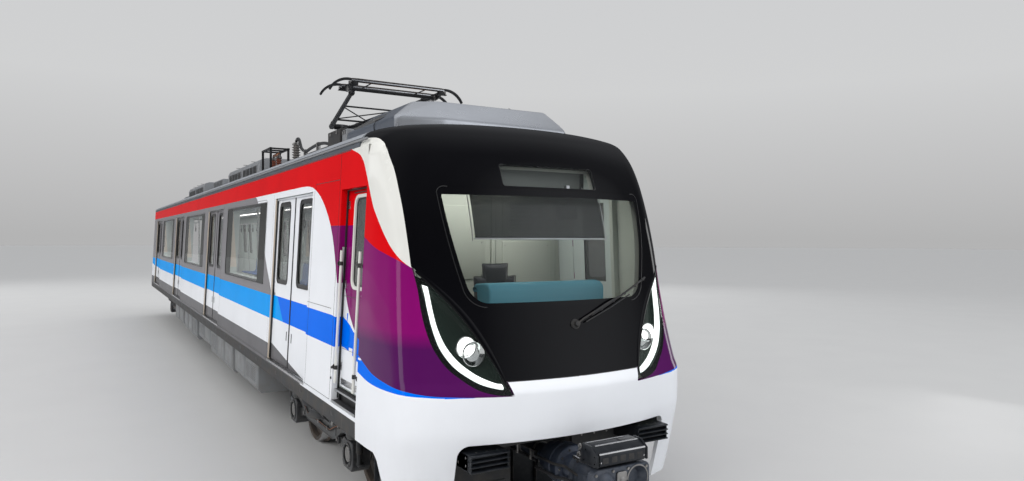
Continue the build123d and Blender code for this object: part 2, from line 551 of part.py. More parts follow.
save(steps.part, "cab_steps", DARK)
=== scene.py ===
import math
import random

import bmesh
import bpy
import numpy as np
from mathutils import Matrix, Vector


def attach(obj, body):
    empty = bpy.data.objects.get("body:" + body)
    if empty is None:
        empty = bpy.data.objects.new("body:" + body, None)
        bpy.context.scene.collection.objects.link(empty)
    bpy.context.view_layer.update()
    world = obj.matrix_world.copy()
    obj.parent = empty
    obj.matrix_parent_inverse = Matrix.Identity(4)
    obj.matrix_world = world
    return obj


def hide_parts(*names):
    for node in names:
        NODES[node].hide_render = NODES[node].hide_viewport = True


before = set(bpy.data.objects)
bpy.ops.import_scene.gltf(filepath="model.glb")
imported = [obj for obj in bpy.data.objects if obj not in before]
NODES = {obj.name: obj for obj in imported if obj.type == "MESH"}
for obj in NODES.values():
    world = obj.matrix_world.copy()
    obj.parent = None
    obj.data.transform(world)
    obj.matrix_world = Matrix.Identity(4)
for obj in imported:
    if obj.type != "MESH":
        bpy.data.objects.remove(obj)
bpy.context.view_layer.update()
random.seed(7)

# The same driving sizes as the CAD part, in metres. Heights are above z = 0; RAIL is the top of the rail.
RAIL = 0.028
TIP, END = -11.25, 11.25
HALF_W, LEAN = 1.45, 0.05066
FLOOR, UNDER, GUTTER, CROWN = RAIL + 1.13, RAIL + 0.95, RAIL + 3.43, RAIL + 3.70
DOOR_Y = [TIP + d for d in (3.76, 9.38, 15.0, 20.62)]
DOOR_W, DOOR_TOP = 1.70, RAIL + 3.11
BAYS = [(DOOR_Y[i] + DOOR_Y[i + 1]) / 2 for i in range(3)]
WIN_Z, PANE_W, WIN_W = (RAIL + 2.02, RAIL + 3.09), 2.96, 2.14
LEAF_WIN = (RAIL + 2.09, RAIL + 3.04)
CAB_DOOR, CAB_RECESS = (1.24, 1.93), 0.072
BOGIE_Y, WHEEL_BASE, AXLE_Z = 7.6, 2.2, RAIL + 0.43
COUPLER_Y, COUPLER_PIVOT_Y, COUPLER_Z = 11.75, 9.95, RAIL + 0.80
SIDES = ((-1, "left"), (1, "right"))


def side_x(z):
    return HALF_W - LEAN * np.maximum(0, z - FLOOR)


# ================================================================ materials
def new_mat(name):
    m = bpy.data.materials.new(name)
    m.use_nodes = True
    nt = m.node_tree
    return m, nt, nt.nodes["Principled BSDF"]


def coords(nt, scale=(1, 1, 1), rot=(0, 0, 0)):
    tc = nt.nodes.new("ShaderNodeTexCoord")
    mp = nt.nodes.new("ShaderNodeMapping")
    mp.inputs["Scale"].default_value = scale
    mp.inputs["Rotation"].default_value = rot
    nt.links.new(tc.outputs["Object"], mp.inputs["Vector"])
    return mp.outputs["Vector"]


def noise(nt, vec, scale, detail=3.0, rough=0.55):
    n = nt.nodes.new("ShaderNodeTexNoise")
    n.inputs["Scale"].default_value = scale
    n.inputs["Detail"].default_value = detail
    n.inputs["Roughness"].default_value = rough
    nt.links.new(vec, n.inputs["Vector"])
    return n.outputs["Fac"]


def remap(nt, value, a, b, lo, hi):
    r = nt.nodes.new("ShaderNodeMapRange")
    r.inputs["From Min"].default_value, r.inputs["From Max"].default_value = a, b
    r.inputs["To Min"].default_value, r.inputs["To Max"].default_value = lo, hi
    nt.links.new(value, r.inputs["Value"])
    return r.outputs["Result"]


def ramp(nt, value, stops):
    r = nt.nodes.new("ShaderNodeValToRGB")
    while len(r.color_ramp.elements) < len(stops):
        r.color_ramp.elements.new(0.5)
    for e, (p, c) in zip(r.color_ramp.elements, stops):
        e.position, e.color = p, (*c, 1)
    nt.links.new(value, r.inputs["Fac"])
    return r.outputs["Color"]


def mixed(nt, fac, a, b, kind="MIX"):
    m = nt.nodes.new("ShaderNodeMix")
    m.data_type, m.blend_type = "RGBA", kind
    if isinstance(fac, float):
        m.inputs[0].default_value = fac
    else:
        nt.links.new(fac, m.inputs[0])
    for sock, v in ((m.inputs[6], a), (m.inputs[7], b)):
        if isinstance(v, tuple):
            sock.default_value = (*v, 1)
        else:
            nt.links.new(v, sock)
    return m.outputs[2]


def bump(nt, bsdf, height, strength, distance):
    b = nt.nodes.new("ShaderNodeBump")
    b.inputs["Strength"].default_value = strength
    b.inputs["Distance"].default_value = distance
    nt.links.new(height, b.inputs["Height"])
    nt.links.new(b.outputs["Normal"], bsdf.inputs["Normal"])


def shade(c, f):
    return tuple(max(0.0, min(1.0, v * f)) for v in c)


def paint(name, colour, rough=0.22, coat=0.7, dirt=0.04, peel=0.00012, low_dirt=0.0):
    """Gloss or satin vehicle paint: slight mottling, orange peel, and grime that gathers low down."""
    m, nt, b = new_mat(name)
    vec = coords(nt)
    broad = noise(nt, vec, 1.3, 4)
    col = mixed(nt, remap(nt, broad, 0.3, 0.7, 0.0, 1.0), shade(colour, 1 - dirt), shade(colour, 1 + dirt * 0.5))
    if low_dirt:
        sep = nt.nodes.new("ShaderNodeSeparateXYZ")
        nt.links.new(vec, sep.inputs[0])
        low = remap(nt, sep.outputs["Z"], 0.5, 1.5, low_dirt, 0.0)
        streak = noise(nt, coords(nt, (2, 2, 0.35)), 9.0, 5)
        m2 = nt.nodes.new("ShaderNodeMath")
        m2.operation = "MULTIPLY"
        nt.links.new(low, m2.inputs[0])
        nt.links.new(streak, m2.inputs[1])
        col = mixed(nt, m2.outputs[0], col, (0.16, 0.13, 0.11))
    nt.links.new(col, b.inputs["Base Color"])
    nt.links.new(remap(nt, noise(nt, vec, 7.0, 5), 0.3, 0.7, rough * 0.8, rough * 1.25), b.inputs["Roughness"])
    b.inputs["Coat Weight"].default_value = coat
    b.inputs["Coat Roughness"].default_value = 0.04
    b.inputs["Coat IOR"].default_value = 1.38
    b.inputs["Specular IOR Level"].default_value = 0.0 if coat > 0.24 or name.startswith("body_") else 0.2
    bump(nt, b, noise(nt, vec, 90.0, 2), 0.06, peel)
    return m


def purple_paint():
    """Nose purple: magenta near the lamps, running darker and bluer low down."""
    m = paint("body_purple", (0.21, 0.004, 0.13), 0.16, 0.6, dirt=0.10)
    nt = m.node_tree
    b = nt.nodes["Principled BSDF"]
    old = b.inputs["Base Color"].links[0].from_socket
    sep = nt.nodes.new("ShaderNodeSeparateXYZ")
    nt.links.new(coords(nt), sep.inputs[0])
    low = remap(nt, sep.outputs["Z"], RAIL + 1.80, RAIL + 1.92, 1.0, 0.0)
    nt.links.new(mixed(nt, low, old, (0.075, 0.006, 0.085)), b.inputs["Base Color"])
    return m


def metal(name, colour, rough=0.35, brushed=(60, 3, 60), wear=0.15, metallic=1.0):
    m, nt, b = new_mat(name)
    b.inputs["Metallic"].default_value = metallic
    vec = coords(nt, brushed)
    grain = noise(nt, vec, 3.0, 4)
    patch = noise(nt, coords(nt), 5.0, 5)
    col = mixed(nt, remap(nt, patch, 0.35, 0.7, 0, 1), shade(colour, 1 - wear), shade(colour, 1 + wear * 0.4))
    nt.links.new(col, b.inputs["Base Color"])
    nt.links.new(remap(nt, grain, 0.25, 0.75, rough * 0.7, rough * 1.35), b.inputs["Roughness"])
    bump(nt, b, grain, 0.2, 0.0006)
    return m


def grimy(name, colour, rough=0.6, dust=(0.20, 0.17, 0.14), amount=0.35, metallic=0.2, scale=6.0):
    """Painted underfloor steel with brake dust."""
    m, nt, b = new_mat(name)
    b.inputs["Metallic"].default_value = metallic
    vec = coords(nt)
    n = noise(nt, vec, scale, 7, 0.65)
    col = mixed(nt, remap(nt, n, 0.42, 0.72, 0.0, amount), colour, dust)
    nt.links.new(col, b.inputs["Base Color"])
    nt.links.new(remap(nt, n, 0.3, 0.75, rough * 0.75, min(1, rough * 1.3)), b.inputs["Roughness"])
    bump(nt, b, noise(nt, vec, 45.0, 4), 0.35, 0.002)
    return m


def rubber(name, colour=(0.018, 0.018, 0.02), rough=0.55):
    m, nt, b = new_mat(name)
    vec = coords(nt)
    n = noise(nt, vec, 30.0, 4)
    nt.links.new(mixed(nt, n, shade(colour, 0.8), shade(colour, 1.5)), b.inputs["Base Color"])
    nt.links.new(remap(nt, n, 0.3, 0.7, rough * 0.85, rough * 1.15), b.inputs["Roughness"])
    bump(nt, b, noise(nt, vec, 300.0, 2), 0.2, 0.0004)
    return m


def glass(name, tint=(0.75, 0.82, 0.8), alpha=0.22, rough=0.02, dark=(0.02, 0.025, 0.025)):
    """Tinted sheet glass: a gloss layer over a partly transparent one, with a faint film of dust in its tint and roughness."""
    m, nt, b = new_mat(name)
    vec = coords(nt)
    film = noise(nt, vec, 2.2, 5)
    nt.links.new(mixed(nt, film, dark, shade(tint, 0.12)), b.inputs["Base Color"])
    nt.links.new(remap(nt, film, 0.3, 0.7, rough, rough * 2.2), b.inputs["Roughness"])
    b.inputs["Alpha"].default_value = alpha
    b.inputs["IOR"].default_value = 1.52
    b.inputs["Coat Weight"].default_value = 1.0
    b.inputs["Coat Roughness"].default_value = 0.015
    bump(nt, b, noise(nt, vec, 1.1, 2), 0.03, 0.002)
    m.surface_render_method = "BLENDED"
    return m


def emissive(name, colour, strength, base=(0.8, 0.8, 0.8), rough=0.3, vary=0.12, scale=40.0):
    m, nt, b = new_mat(name)
    n = noise(nt, coords(nt), scale, 2)
    nt.links.new(mixed(nt, n, shade(base, 1 - vary), base), b.inputs["Base Color"])
    nt.links.new(mixed(nt, n, shade(colour, 1 - vary), colour), b.inputs["Emission Color"])
    b.inputs["Emission Strength"].default_value = strength
    nt.links.new(remap(nt, n, 0.3, 0.7, rough * 0.9, rough * 1.1), b.inputs["Roughness"])
    return m


M = {}
M["white"] = paint("body_white", (0.80, 0.82, 0.86), 0.20, 0.42, low_dirt=0.10)
M["ivory"] = paint("nose_white", (0.70, 0.70, 0.67), 0.20, 0.45)
M["red"] = paint("body_red", (0.66, 0.003, 0.006), 0.20, 0.26, dirt=0.08)
M["purple"] = purple_paint()
M["blue"] = paint("body_blue", (0.0, 0.150, 0.84), 0.20, 0.18, dirt=0.06)
M["sky"] = paint("body_sky_blue", (0.004, 0.33, 0.88), 0.22, 0.16, dirt=0.06)
M["band"] = paint("window_band_grey", (0.225, 0.220, 0.232), 0.30, 0.3, dirt=0.03, peel=0.00003)
M["sill_grey"] = paint("sill_grey", (0.13, 0.13, 0.14), 0.38, 0.3, dirt=0.12, low_dirt=0.5)
M["roof"] = paint("roof_grey", (0.32, 0.34, 0.37), 0.45, 0.2, dirt=0.14)
M["roof_dark"] = paint("roof_edge_grey", (0.10, 0.11, 0.125), 0.42, 0.25, dirt=0.15)
M["black"] = paint("mask_black", (0.003, 0.003, 0.004), 0.09, 0.42, dirt=0.2, peel=0.00006)
M["frit"] = paint("glass_border_black", (0.003, 0.003, 0.004), 0.06, 0.45, dirt=0.2, peel=0.00003)
M["silver"] = paint("fairing_silver", (0.50, 0.52, 0.56), 0.30, 0.5, dirt=0.08)
M["silver"].node_tree.nodes["Principled BSDF"].inputs["Metallic"].default_value = 0.75
M["glass"] = glass("side_glass", alpha=0.46, dark=(0.030, 0.032, 0.030))
M["door_glass"] = glass("cab_door_glass", alpha=0.72, dark=(0.010, 0.012, 0.012))
M["pocket_glass"] = paint("pane_over_pocket", (0.034, 0.036, 0.034), 0.06, 0.5, dirt=0.25, peel=0.00005)
M["screen"] = glass("windscreen_glass", alpha=0.14, dark=(0.010, 0.014, 0.014))
M["lens"] = glass("lamp_lens", tint=(0.9, 0.95, 0.92), alpha=0.08, dark=(0.05, 0.06, 0.055))
M["rubber"] = rubber("black_rubber")
M["gasket"] = rubber("window_gasket", (0.012, 0.012, 0.013), 0.35)
# beige door jamb paint, made lighter than its own beige as painted light, since the jambs stand in shade
M["jamb"] = paint("door_jamb_beige_lightened", (0.66, 0.58, 0.48), 0.42, 0.2, dirt=0.10)
M["stainless"] = metal("brushed_stainless", (0.62, 0.62, 0.63), 0.28)
M["steel"] = metal("worn_steel", (0.36, 0.35, 0.34), 0.42, wear=0.35)
M["tread"] = metal("polished_tread", (0.60, 0.60, 0.61), 0.22, (3, 60, 60), 0.1)
M["frame"] = grimy("bogie_paint", (0.075, 0.08, 0.085))
M["under"] = grimy("underframe_paint", (0.045, 0.047, 0.05), 0.65)
M["case"] = grimy("equipment_case_grey", (0.22, 0.23, 0.24), 0.55, amount=0.3, metallic=0.05)
M["dark"] = grimy("dark_fittings", (0.018, 0.019, 0.021), 0.5, amount=0.2)
M["cast"] = grimy("coupler_casting", (0.055, 0.058, 0.064), 0.42, (0.24, 0.22, 0.20), 0.30, 0.6, 14.0)
M["interior"] = paint("cab_lining", (0.46, 0.52, 0.50), 0.5, 0.1, dirt=0.06)
M["ceiling"] = paint("ceiling_white", (0.72, 0.73, 0.72), 0.5, 0.1, dirt=0.03)
M["desk"] = paint("desk_teal", (0.080, 0.235, 0.295), 0.42, 0.25, dirt=0.10)
M["insulator"] = paint("grey_insulator", (0.155, 0.145, 0.14), 0.22, 0.5, dirt=0.15)
M["insulator_red"] = paint("brown_insulator", (0.17, 0.055, 0.035), 0.18, 0.8, dirt=0.1)
M["led"] = emissive("led_white", (0.90, 1.0, 0.96), 1.25)
M["lamp"] = emissive("lamp_glow", (1.0, 1.0, 0.97), 3.0)
M["housing"] = paint("lamp_housing", (0.010, 0.017, 0.014), 0.35, 0.3, dirt=0.25)
M["chrome"] = metal("reflector", (0.75, 0.78, 0.77), 0.12, wear=0.08)
M["floor_covering"] = grimy("floor_covering", (0.13, 0.14, 0.15), 0.7, (0.2, 0.2, 0.2), 0.3, 0.0, 30.0)
M["seat_fabric"] = None
M["bench"] = paint("bench_plastic", (0.035, 0.10, 0.27), 0.42, 0.25, dirt=0.06)
M["visor"] = glass("sun_visor_tint", tint=(0.10, 0.13, 0.12), alpha=0.80, rough=0.30, dark=(0.007, 0.010, 0.009))
M["visor"].node_tree.nodes["Principled BSDF"].inputs["Coat Weight"].default_value = 0.1
M["lining"] = paint("cab_panel_grey_green", (0.40, 0.43, 0.38), 0.45, 0.15, dirt=0.05)
M["console"] = paint("console_dark", (0.05, 0.06, 0.065), 0.45, 0.1, dirt=0.15)
M["screen_dark"] = paint("desk_display", (0.008, 0.010, 0.012), 0.12, 0.6, dirt=0.2)
M["panto"] = grimy("pantograph_black", (0.008, 0.0085, 0.010), 0.42, (0.07, 0.065, 0.06), 0.2, 0.35, 18.0)
M["carbon"] = grimy("contact_strip_carbon", (0.030, 0.030, 0.031), 0.38, (0.20, 0.14, 0.10), 0.35, 0.3, 60.0)
M["copper"] = metal("copper_braid", (0.55, 0.24, 0.12), 0.38, (30, 30, 30), 0.30)
M["spring"] = grimy("spring_paint", (0.12, 0.125, 0.13), 0.5, amount=0.4, metallic=0.3)
M["wheel"] = grimy("wheel_steel", (0.085, 0.075, 0.068), 0.6, (0.23, 0.16, 0.11), 0.45, 0.5, 9.0)
M["disc"] = metal("brake_disc", (0.42, 0.41, 0.40), 0.32, (3, 60, 60), 0.25)
M["air_rubber"] = rubber("air_spring_rubber", (0.022, 0.022, 0.024), 0.6)
M["bellows"] = rubber("gangway_rubber", (0.045, 0.047, 0.052), 0.7)
M["grille"] = grimy("grille_metal", (0.11, 0.115, 0.12), 0.5, amount=0.3, metallic=0.4)
M["fair_side"] = grimy("fairing_side_grey", (0.085, 0.10, 0.13), 0.35, (0.22, 0.22, 0.22), 0.2, 0.4, 5.0)
M["unit"] = grimy("roof_unit_grey", (0.20, 0.21, 0.225), 0.5, (0.20, 0.18, 0.16), 0.28, 0.05, 3.5)
M["hv_cable"] = rubber("cable_sheath", (0.012, 0.012, 0.013), 0.4)
M["alu"] = metal("satin_aluminium", (0.60, 0.61, 0.63), 0.34, (40, 4, 40), 0.12)
M["diffuser"] = emissive("ceiling_light", (1.0, 0.98, 0.94), 4.0)
M["blank_sign"] = paint("blank_sign_grey", (0.17, 0.19, 0.18), 0.35, 0.3, dirt=0.15)


def fabric_mat(name, colour, scale=700.0):
    """Woven upholstery: crossed threads, slight fading and a soft sheen."""
    m, nt, b = new_mat(name)
    vec = coords(nt)
    wx = nt.nodes.new("ShaderNodeTexWave")
    wx.inputs["Scale"].default_value = scale * 0.25
    wx.inputs["Distortion"].default_value = 0.6
    wz = nt.nodes.new("ShaderNodeTexWave")
    wz.bands_direction = "Z"
    wz.inputs["Scale"].default_value = scale * 0.25
    wz.inputs["Distortion"].default_value = 0.6
    nt.links.new(vec, wx.inputs["Vector"])
    nt.links.new(vec, wz.inputs["Vector"])
    mul = nt.nodes.new("ShaderNodeMath")
    mul.operation = "MULTIPLY"
    nt.links.new(wx.outputs["Fac"], mul.inputs[0])
    nt.links.new(wz.outputs["Fac"], mul.inputs[1])
    fade = noise(nt, vec, 8.0, 4)
    col = mixed(nt, remap(nt, fade, 0.3, 0.7, 0, 1), shade(colour, 0.82), shade(colour, 1.12))
    col = mixed(nt, remap(nt, mul.outputs[0], 0.0, 0.6, 0.0, 0.5), col, shade(colour, 1.7))
    nt.links.new(col, b.inputs["Base Color"])
    nt.links.new(remap(nt, fade, 0.3, 0.7, 0.8, 0.95), b.inputs["Roughness"])
    b.inputs["Sheen Weight"].default_value = 0.35
    b.inputs["Sheen Roughness"].default_value = 0.5
    bump(nt, b, mul.outputs[0], 0.4, 0.0008)
    return m


M["seat_fabric"] = fabric_mat("seat_upholstery", (0.022, 0.024, 0.030))


def node_mat(node, key):
    """The CAD node stays as it is and takes a procedural material."""
    o = NODES[node]
    o.data.materials.clear()
    o.data.materials.append(M[key])


# ================================================================ mesh helpers
def piece(name, verts, faces, mats, body="car_body", smooth=True, zone=None, normals=None, angle=None):
    me = bpy.data.meshes.new(name)
    me.from_pydata([tuple(map(float, v)) for v in verts], [], [tuple(int(i) for i in f) for f in faces])
    mats = mats if isinstance(mats, (list, tuple)) else [mats]
    for k in mats:
        me.materials.append(M[k])
    if zone is not None:
        me.polygons.foreach_set("material_index", np.asarray(zone, dtype=np.int32))
    me.polygons.foreach_set("use_smooth", np.full(len(me.polygons), bool(smooth)))
    me.validate(clean_customdata=False)
    me.update()
    o = bpy.data.objects.new(name, me)
    bpy.context.scene.collection.objects.link(o)
    if normals is not None:
        me.normals_split_custom_set_from_vertices([tuple(n) for n in normals])
    elif angle is not None:
        me.shade_smooth_by_angle(angle=math.radians(angle)) if hasattr(me, "shade_smooth_by_angle") else sharp(o, angle)
    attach(o, body)
    return o


def sharp(o, angle):
    """Marks edges sharper than angle degrees."""
    bm = bmesh.new()
    bm.from_mesh(o.data)
    for e in bm.edges:
        e.smooth = not (len(e.link_faces) == 2 and e.calc_face_angle(0) > math.radians(angle))
    bm.to_mesh(o.data)
    bm.free()


class Build:
    """Collects verts, faces and a material index for each face into one piece."""

    def __init__(self, mats):
        self.v, self.f, self.z = [], [], []
        self.mats = list(mats)

    def add(self, verts, faces, mat):
        n = len(self.v)
        self.v += [tuple(v) for v in verts]
        self.f += [tuple(i + n for i in f) for f in faces]
        self.z += [self.mats.index(mat)] * len(faces)

    def box(self, x0, x1, y0, y1, z0, z1, mat, r=0.0, seg=2):
        """A box with rounded edges."""
        x0, x1, y0, y1, z0, z1 = min(x0, x1), max(x0, x1), min(y0, y1), max(y0, y1), min(z0, z1), max(z0, z1)
        r = min(r, (x1 - x0) / 2.001, (y1 - y0) / 2.001, (z1 - z0) / 2.001)
        bm = bmesh.new()
        bmesh.ops.create_cube(bm, size=1)
        for v in bm.verts:
            v.co = Vector((x0 if v.co.x < 0 else x1, y0 if v.co.y < 0 else y1, z0 if v.co.z < 0 else z1))
        if r > 0:
            bmesh.ops.bevel(bm, geom=list(bm.edges), offset=r, segments=seg, profile=0.5, affect="EDGES")
        bm.verts.index_update()
        self.add([v.co[:] for v in bm.verts], [[v.index for v in f.verts] for f in bm.faces], mat)
        bm.free()

    def lathe(self, p, q, profile, mat, seg=32, cap=True):
        """Turns (distance from p along p->q, radius) points about the line p->q."""
        p, q = Vector(p), Vector(q)
        d = (q - p).normalized()
        a = d.orthogonal().normalized()
        b = d.cross(a)
        verts, faces = [], []
        for s, r in profile:
            for k in range(seg):
                t = 2 * math.pi * k / seg
                verts.append(p + d * s + (a * math.cos(t) + b * math.sin(t)) * r)
        for i in range(len(profile) - 1):
            for k in range(seg):
                k2 = (k + 1) % seg
                faces.append((i * seg + k, i * seg + k2, (i + 1) * seg + k2, (i + 1) * seg + k))
        if cap:
            faces.append(tuple(range(seg))[::-1])
            faces.append(tuple((len(profile) - 1) * seg + k for k in range(seg)))
        self.add([v[:] for v in verts], faces, mat)

    def rod(self, p, q, r, mat, seg=16, bevel=0.0):
        length = (Vector(q) - Vector(p)).length
        e = min(bevel, r * 0.6, length * 0.3)
        prof = [(0, r - e), (e, r), (length - e, r), (length, r - e)] if e > 0 else [(0, r), (length, r)]
        self.lathe(p, q, prof, mat, seg)

    def tube(self, path, r, mat, seg=10, closed=False):
        """A round bar along a polyline of points."""
        pts = [Vector(p) for p in path]
        n = len(pts)
        verts, faces, up = [], [], None
        for i, p in enumerate(pts):
            if closed:
                t = (pts[(i + 1) % n] - pts[i - 1]).normalized()
            else:
                t = (pts[min(i + 1, n - 1)] - pts[max(i - 1, 0)]).normalized()
            if up is None:
                up = t.orthogonal().normalized()
            up = (up - t * up.dot(t)).normalized()
            w = t.cross(up)
            for k in range(seg):
                a = 2 * math.pi * k / seg
                verts.append(p + (up * math.cos(a) + w * math.sin(a)) * r)
        for i in range(n if closed else n - 1):
            for k in range(seg):
                j, k2 = (i + 1) % n, (k + 1) % seg
                faces.append((i * seg + k, i * seg + k2, j * seg + k2, j * seg + k))
        if not closed:
            faces.append(tuple(range(seg))[::-1])
            faces.append(tuple((n - 1) * seg + k for k in range(seg)))
        self.add([v[:] for v in verts], faces, mat)

    def prism(self, outline, axis, a, b, mat, r=0.0, seg=2):
        """A closed 2-D outline extruded along axis x, y or z from a to b, with softened rims."""
        def at(u, v, w):
            return {"x": (w, u, v), "y": (u, w, v), "z": (u, v, w)}[axis]
        bm = bmesh.new()
        low = [bm.verts.new(at(u, v, a)) for u, v in outline]
        face = bm.faces.new(low)
        ext = bmesh.ops.extrude_face_region(bm, geom=[face])
        shift = Vector(at(0, 0, b)) - Vector(at(0, 0, a))
        for v in ext["geom"]:
            if isinstance(v, bmesh.types.BMVert):
                v.co += shift
        bmesh.ops.recalc_face_normals(bm, faces=bm.faces)
        if r > 0:
            rims = [e for e in bm.edges if len(e.link_faces) == 2 and e.calc_face_angle(0) > 0.6]
            bmesh.ops.bevel(bm, geom=rims, offset=r, segments=seg, profile=0.5, affect="EDGES")
        bm.verts.index_update()
        self.add([v.co[:] for v in bm.verts], [[v.index for v in f.verts] for f in bm.faces], mat)
        bm.free()

    def map(self, fn, start=0):
        """Moves every vertex from start on through fn."""
        for i in range(start, len(self.v)):
            self.v[i] = tuple(fn(*self.v[i]))

    def lean(self, s, off0, off1, d0, d1, h0, h1, mat, r=0.0, seg=2):
        """A box on the leaning side wall: off is measured outwards from the outer face, d from the nose tip, h from the rail."""
        n = len(self.v)
        self.box(off0, off1, TIP + d0, TIP + d1, RAIL + h0, RAIL + h1, mat, r, seg)
        self.map(lambda x, y, z: (s * (float(side_x(z)) + x), y, z), n)

    def bolts(self, points, axis, r, height, mat="steel", seg=6):
        """Hexagon heads standing on points along axis."""
        a = Vector(axis).normalized()
        for p in points:
            q = Vector(p)
            self.lathe(q - a * 0.001, q + a * height, [(0, r), (height * 0.75, r), (height + 0.001, r * 0.8)], mat, seg)

    def done(self, name, body="car_body", slot=None, angle=35):
        bm = bmesh.new()
        verts = [bm.verts.new(v) for v in self.v]
        keep_z = []
        for f, z in zip(self.f, self.z):
            try:
                bm.faces.new([verts[i] for i in f]).material_index = z
            except ValueError:
                continue
        bmesh.ops.recalc_face_normals(bm, faces=bm.faces)
        bm.verts.index_update()
        v = [q.co[:] for q in bm.verts]
        f = [[q.index for q in face.verts] for face in bm.faces]
        keep_z = [face.material_index for face in bm.faces]
        bm.free()
        return piece(name, v, f, self.mats, body, True, keep_z, angle=angle)


def arc(a, m, b, n=12):
    """Points of the circular arc from a over m to b, without b."""
    (ax, ay), (mx, my), (bx, by) = a, m, b
    d = 2 * (ax * (my - by) + mx * (by - ay) + bx * (ay - my))
    ux = ((ax * ax + ay * ay) * (my - by) + (mx * mx + my * my) * (by - ay) + (bx * bx + by * by) * (ay - my)) / d
    uy = ((ax * ax + ay * ay) * (bx - mx) + (mx * mx + my * my) * (ax - bx) + (bx * bx + by * by) * (mx - ax)) / d
    r = math.hypot(ax - ux, ay - uy)
    t0, tm, t1 = (math.atan2(y - uy, x - ux) for x, y in (a, m, b))
    span = (t1 - t0) % (2 * math.pi)
    if (tm - t0) % (2 * math.pi) > span:
        span -= 2 * math.pi
    return [(ux + r * math.cos(t0 + span * k / n), uy + r * math.sin(t0 + span * k / n)) for k in range(n)]


def outline(points, n=12):
    """A closed outline as a polyline. A point with three numbers is the middle of an arc."""
    out, i = [], 0
    while i < len(points):
        a, b = points[i], points[(i + 1) % len(points)]
        if len(b) == 3:
            c = points[(i + 2) % len(points)]
            out += arc(a[:2], b[:2], c[:2], n)
            i += 2
        else:
            out.append(tuple(a[:2]))
            i += 1
    return out


def rounded(x0, x1, y0, y1, r, n=6):
    """A rectangle outline with rounded corners, counterclockwise."""
    out = []
    for cx, cy, t in ((x1 - r, y0 + r, -90), (x1 - r, y1 - r, 0), (x0 + r, y1 - r, 90), (x0 + r, y0 + r, 180)):
        for k in range(n + 1):
            a = math.radians(t + 90 * k / n)
            out.append((cx + r * math.cos(a), cy + r * math.sin(a)))
    return out


def smooth_line(points, n=6):
    """An open Catmull-Rom line through 2-D points."""
    p = [np.array(q, float) for q in points]
    p = [2 * p[0] - p[1]] + p + [2 * p[-1] - p[-2]]
    out = []
    for i in range(1, len(p) - 2):
        for k in range(n):
            t = k / n
            out.append(tuple(0.5 * (2 * p[i] + (p[i + 1] - p[i - 1]) * t + (2 * p[i - 1] - 5 * p[i] + 4 * p[i + 1] - p[i + 2]) * t * t
                             + (3 * p[i] - p[i - 1] - 3 * p[i + 1] + p[i + 2]) * t ** 3)))
    out.append(tuple(p[-2]))
    return out


def signed(poly, x, y):
    """Signed distance from points to a closed 2-D outline, positive inside. Points far outside its box get -0.1."""
    x, y = np.asarray(x, float).ravel(), np.asarray(y, float).ravel()
    q = np.array(poly, float)
    lo, hi = q.min(0) - 0.1, q.max(0) + 0.1
    near = np.where((x > lo[0]) & (x < hi[0]) & (y > lo[1]) & (y < hi[1]))[0]
    out = np.full(x.shape, -0.1)
    if not len(near):
        return out
    a, b = q, np.roll(q, -1, 0)
    ok = np.hypot(*(b - a).T) > 1e-7
    a, b = a[ok], b[ok]
    e = b - a
    ll = (e * e).sum(1)
    slope = np.where(np.abs(e[:, 1]) > 1e-12, e[:, 0] / np.where(np.abs(e[:, 1]) > 1e-12, e[:, 1], 1), 0)
    for part in np.array_split(near, max(1, len(near) * len(a) // 2000000)):
        px, py = x[part, None], y[part, None]
        dx, dy = px - a[:, 0], py - a[:, 1]
        t = np.clip((dx * e[:, 0] + dy * e[:, 1]) / ll, 0, 1)
        best = np.sqrt(((dx - t * e[:, 0]) ** 2 + (dy - t * e[:, 1]) ** 2).min(1))
        hit = ((a[:, 1] > py) != (b[:, 1] > py)) & (dx < slope * dy)
        out[part] = np.where(hit.sum(1) % 2 == 1, best, -best)
    return out


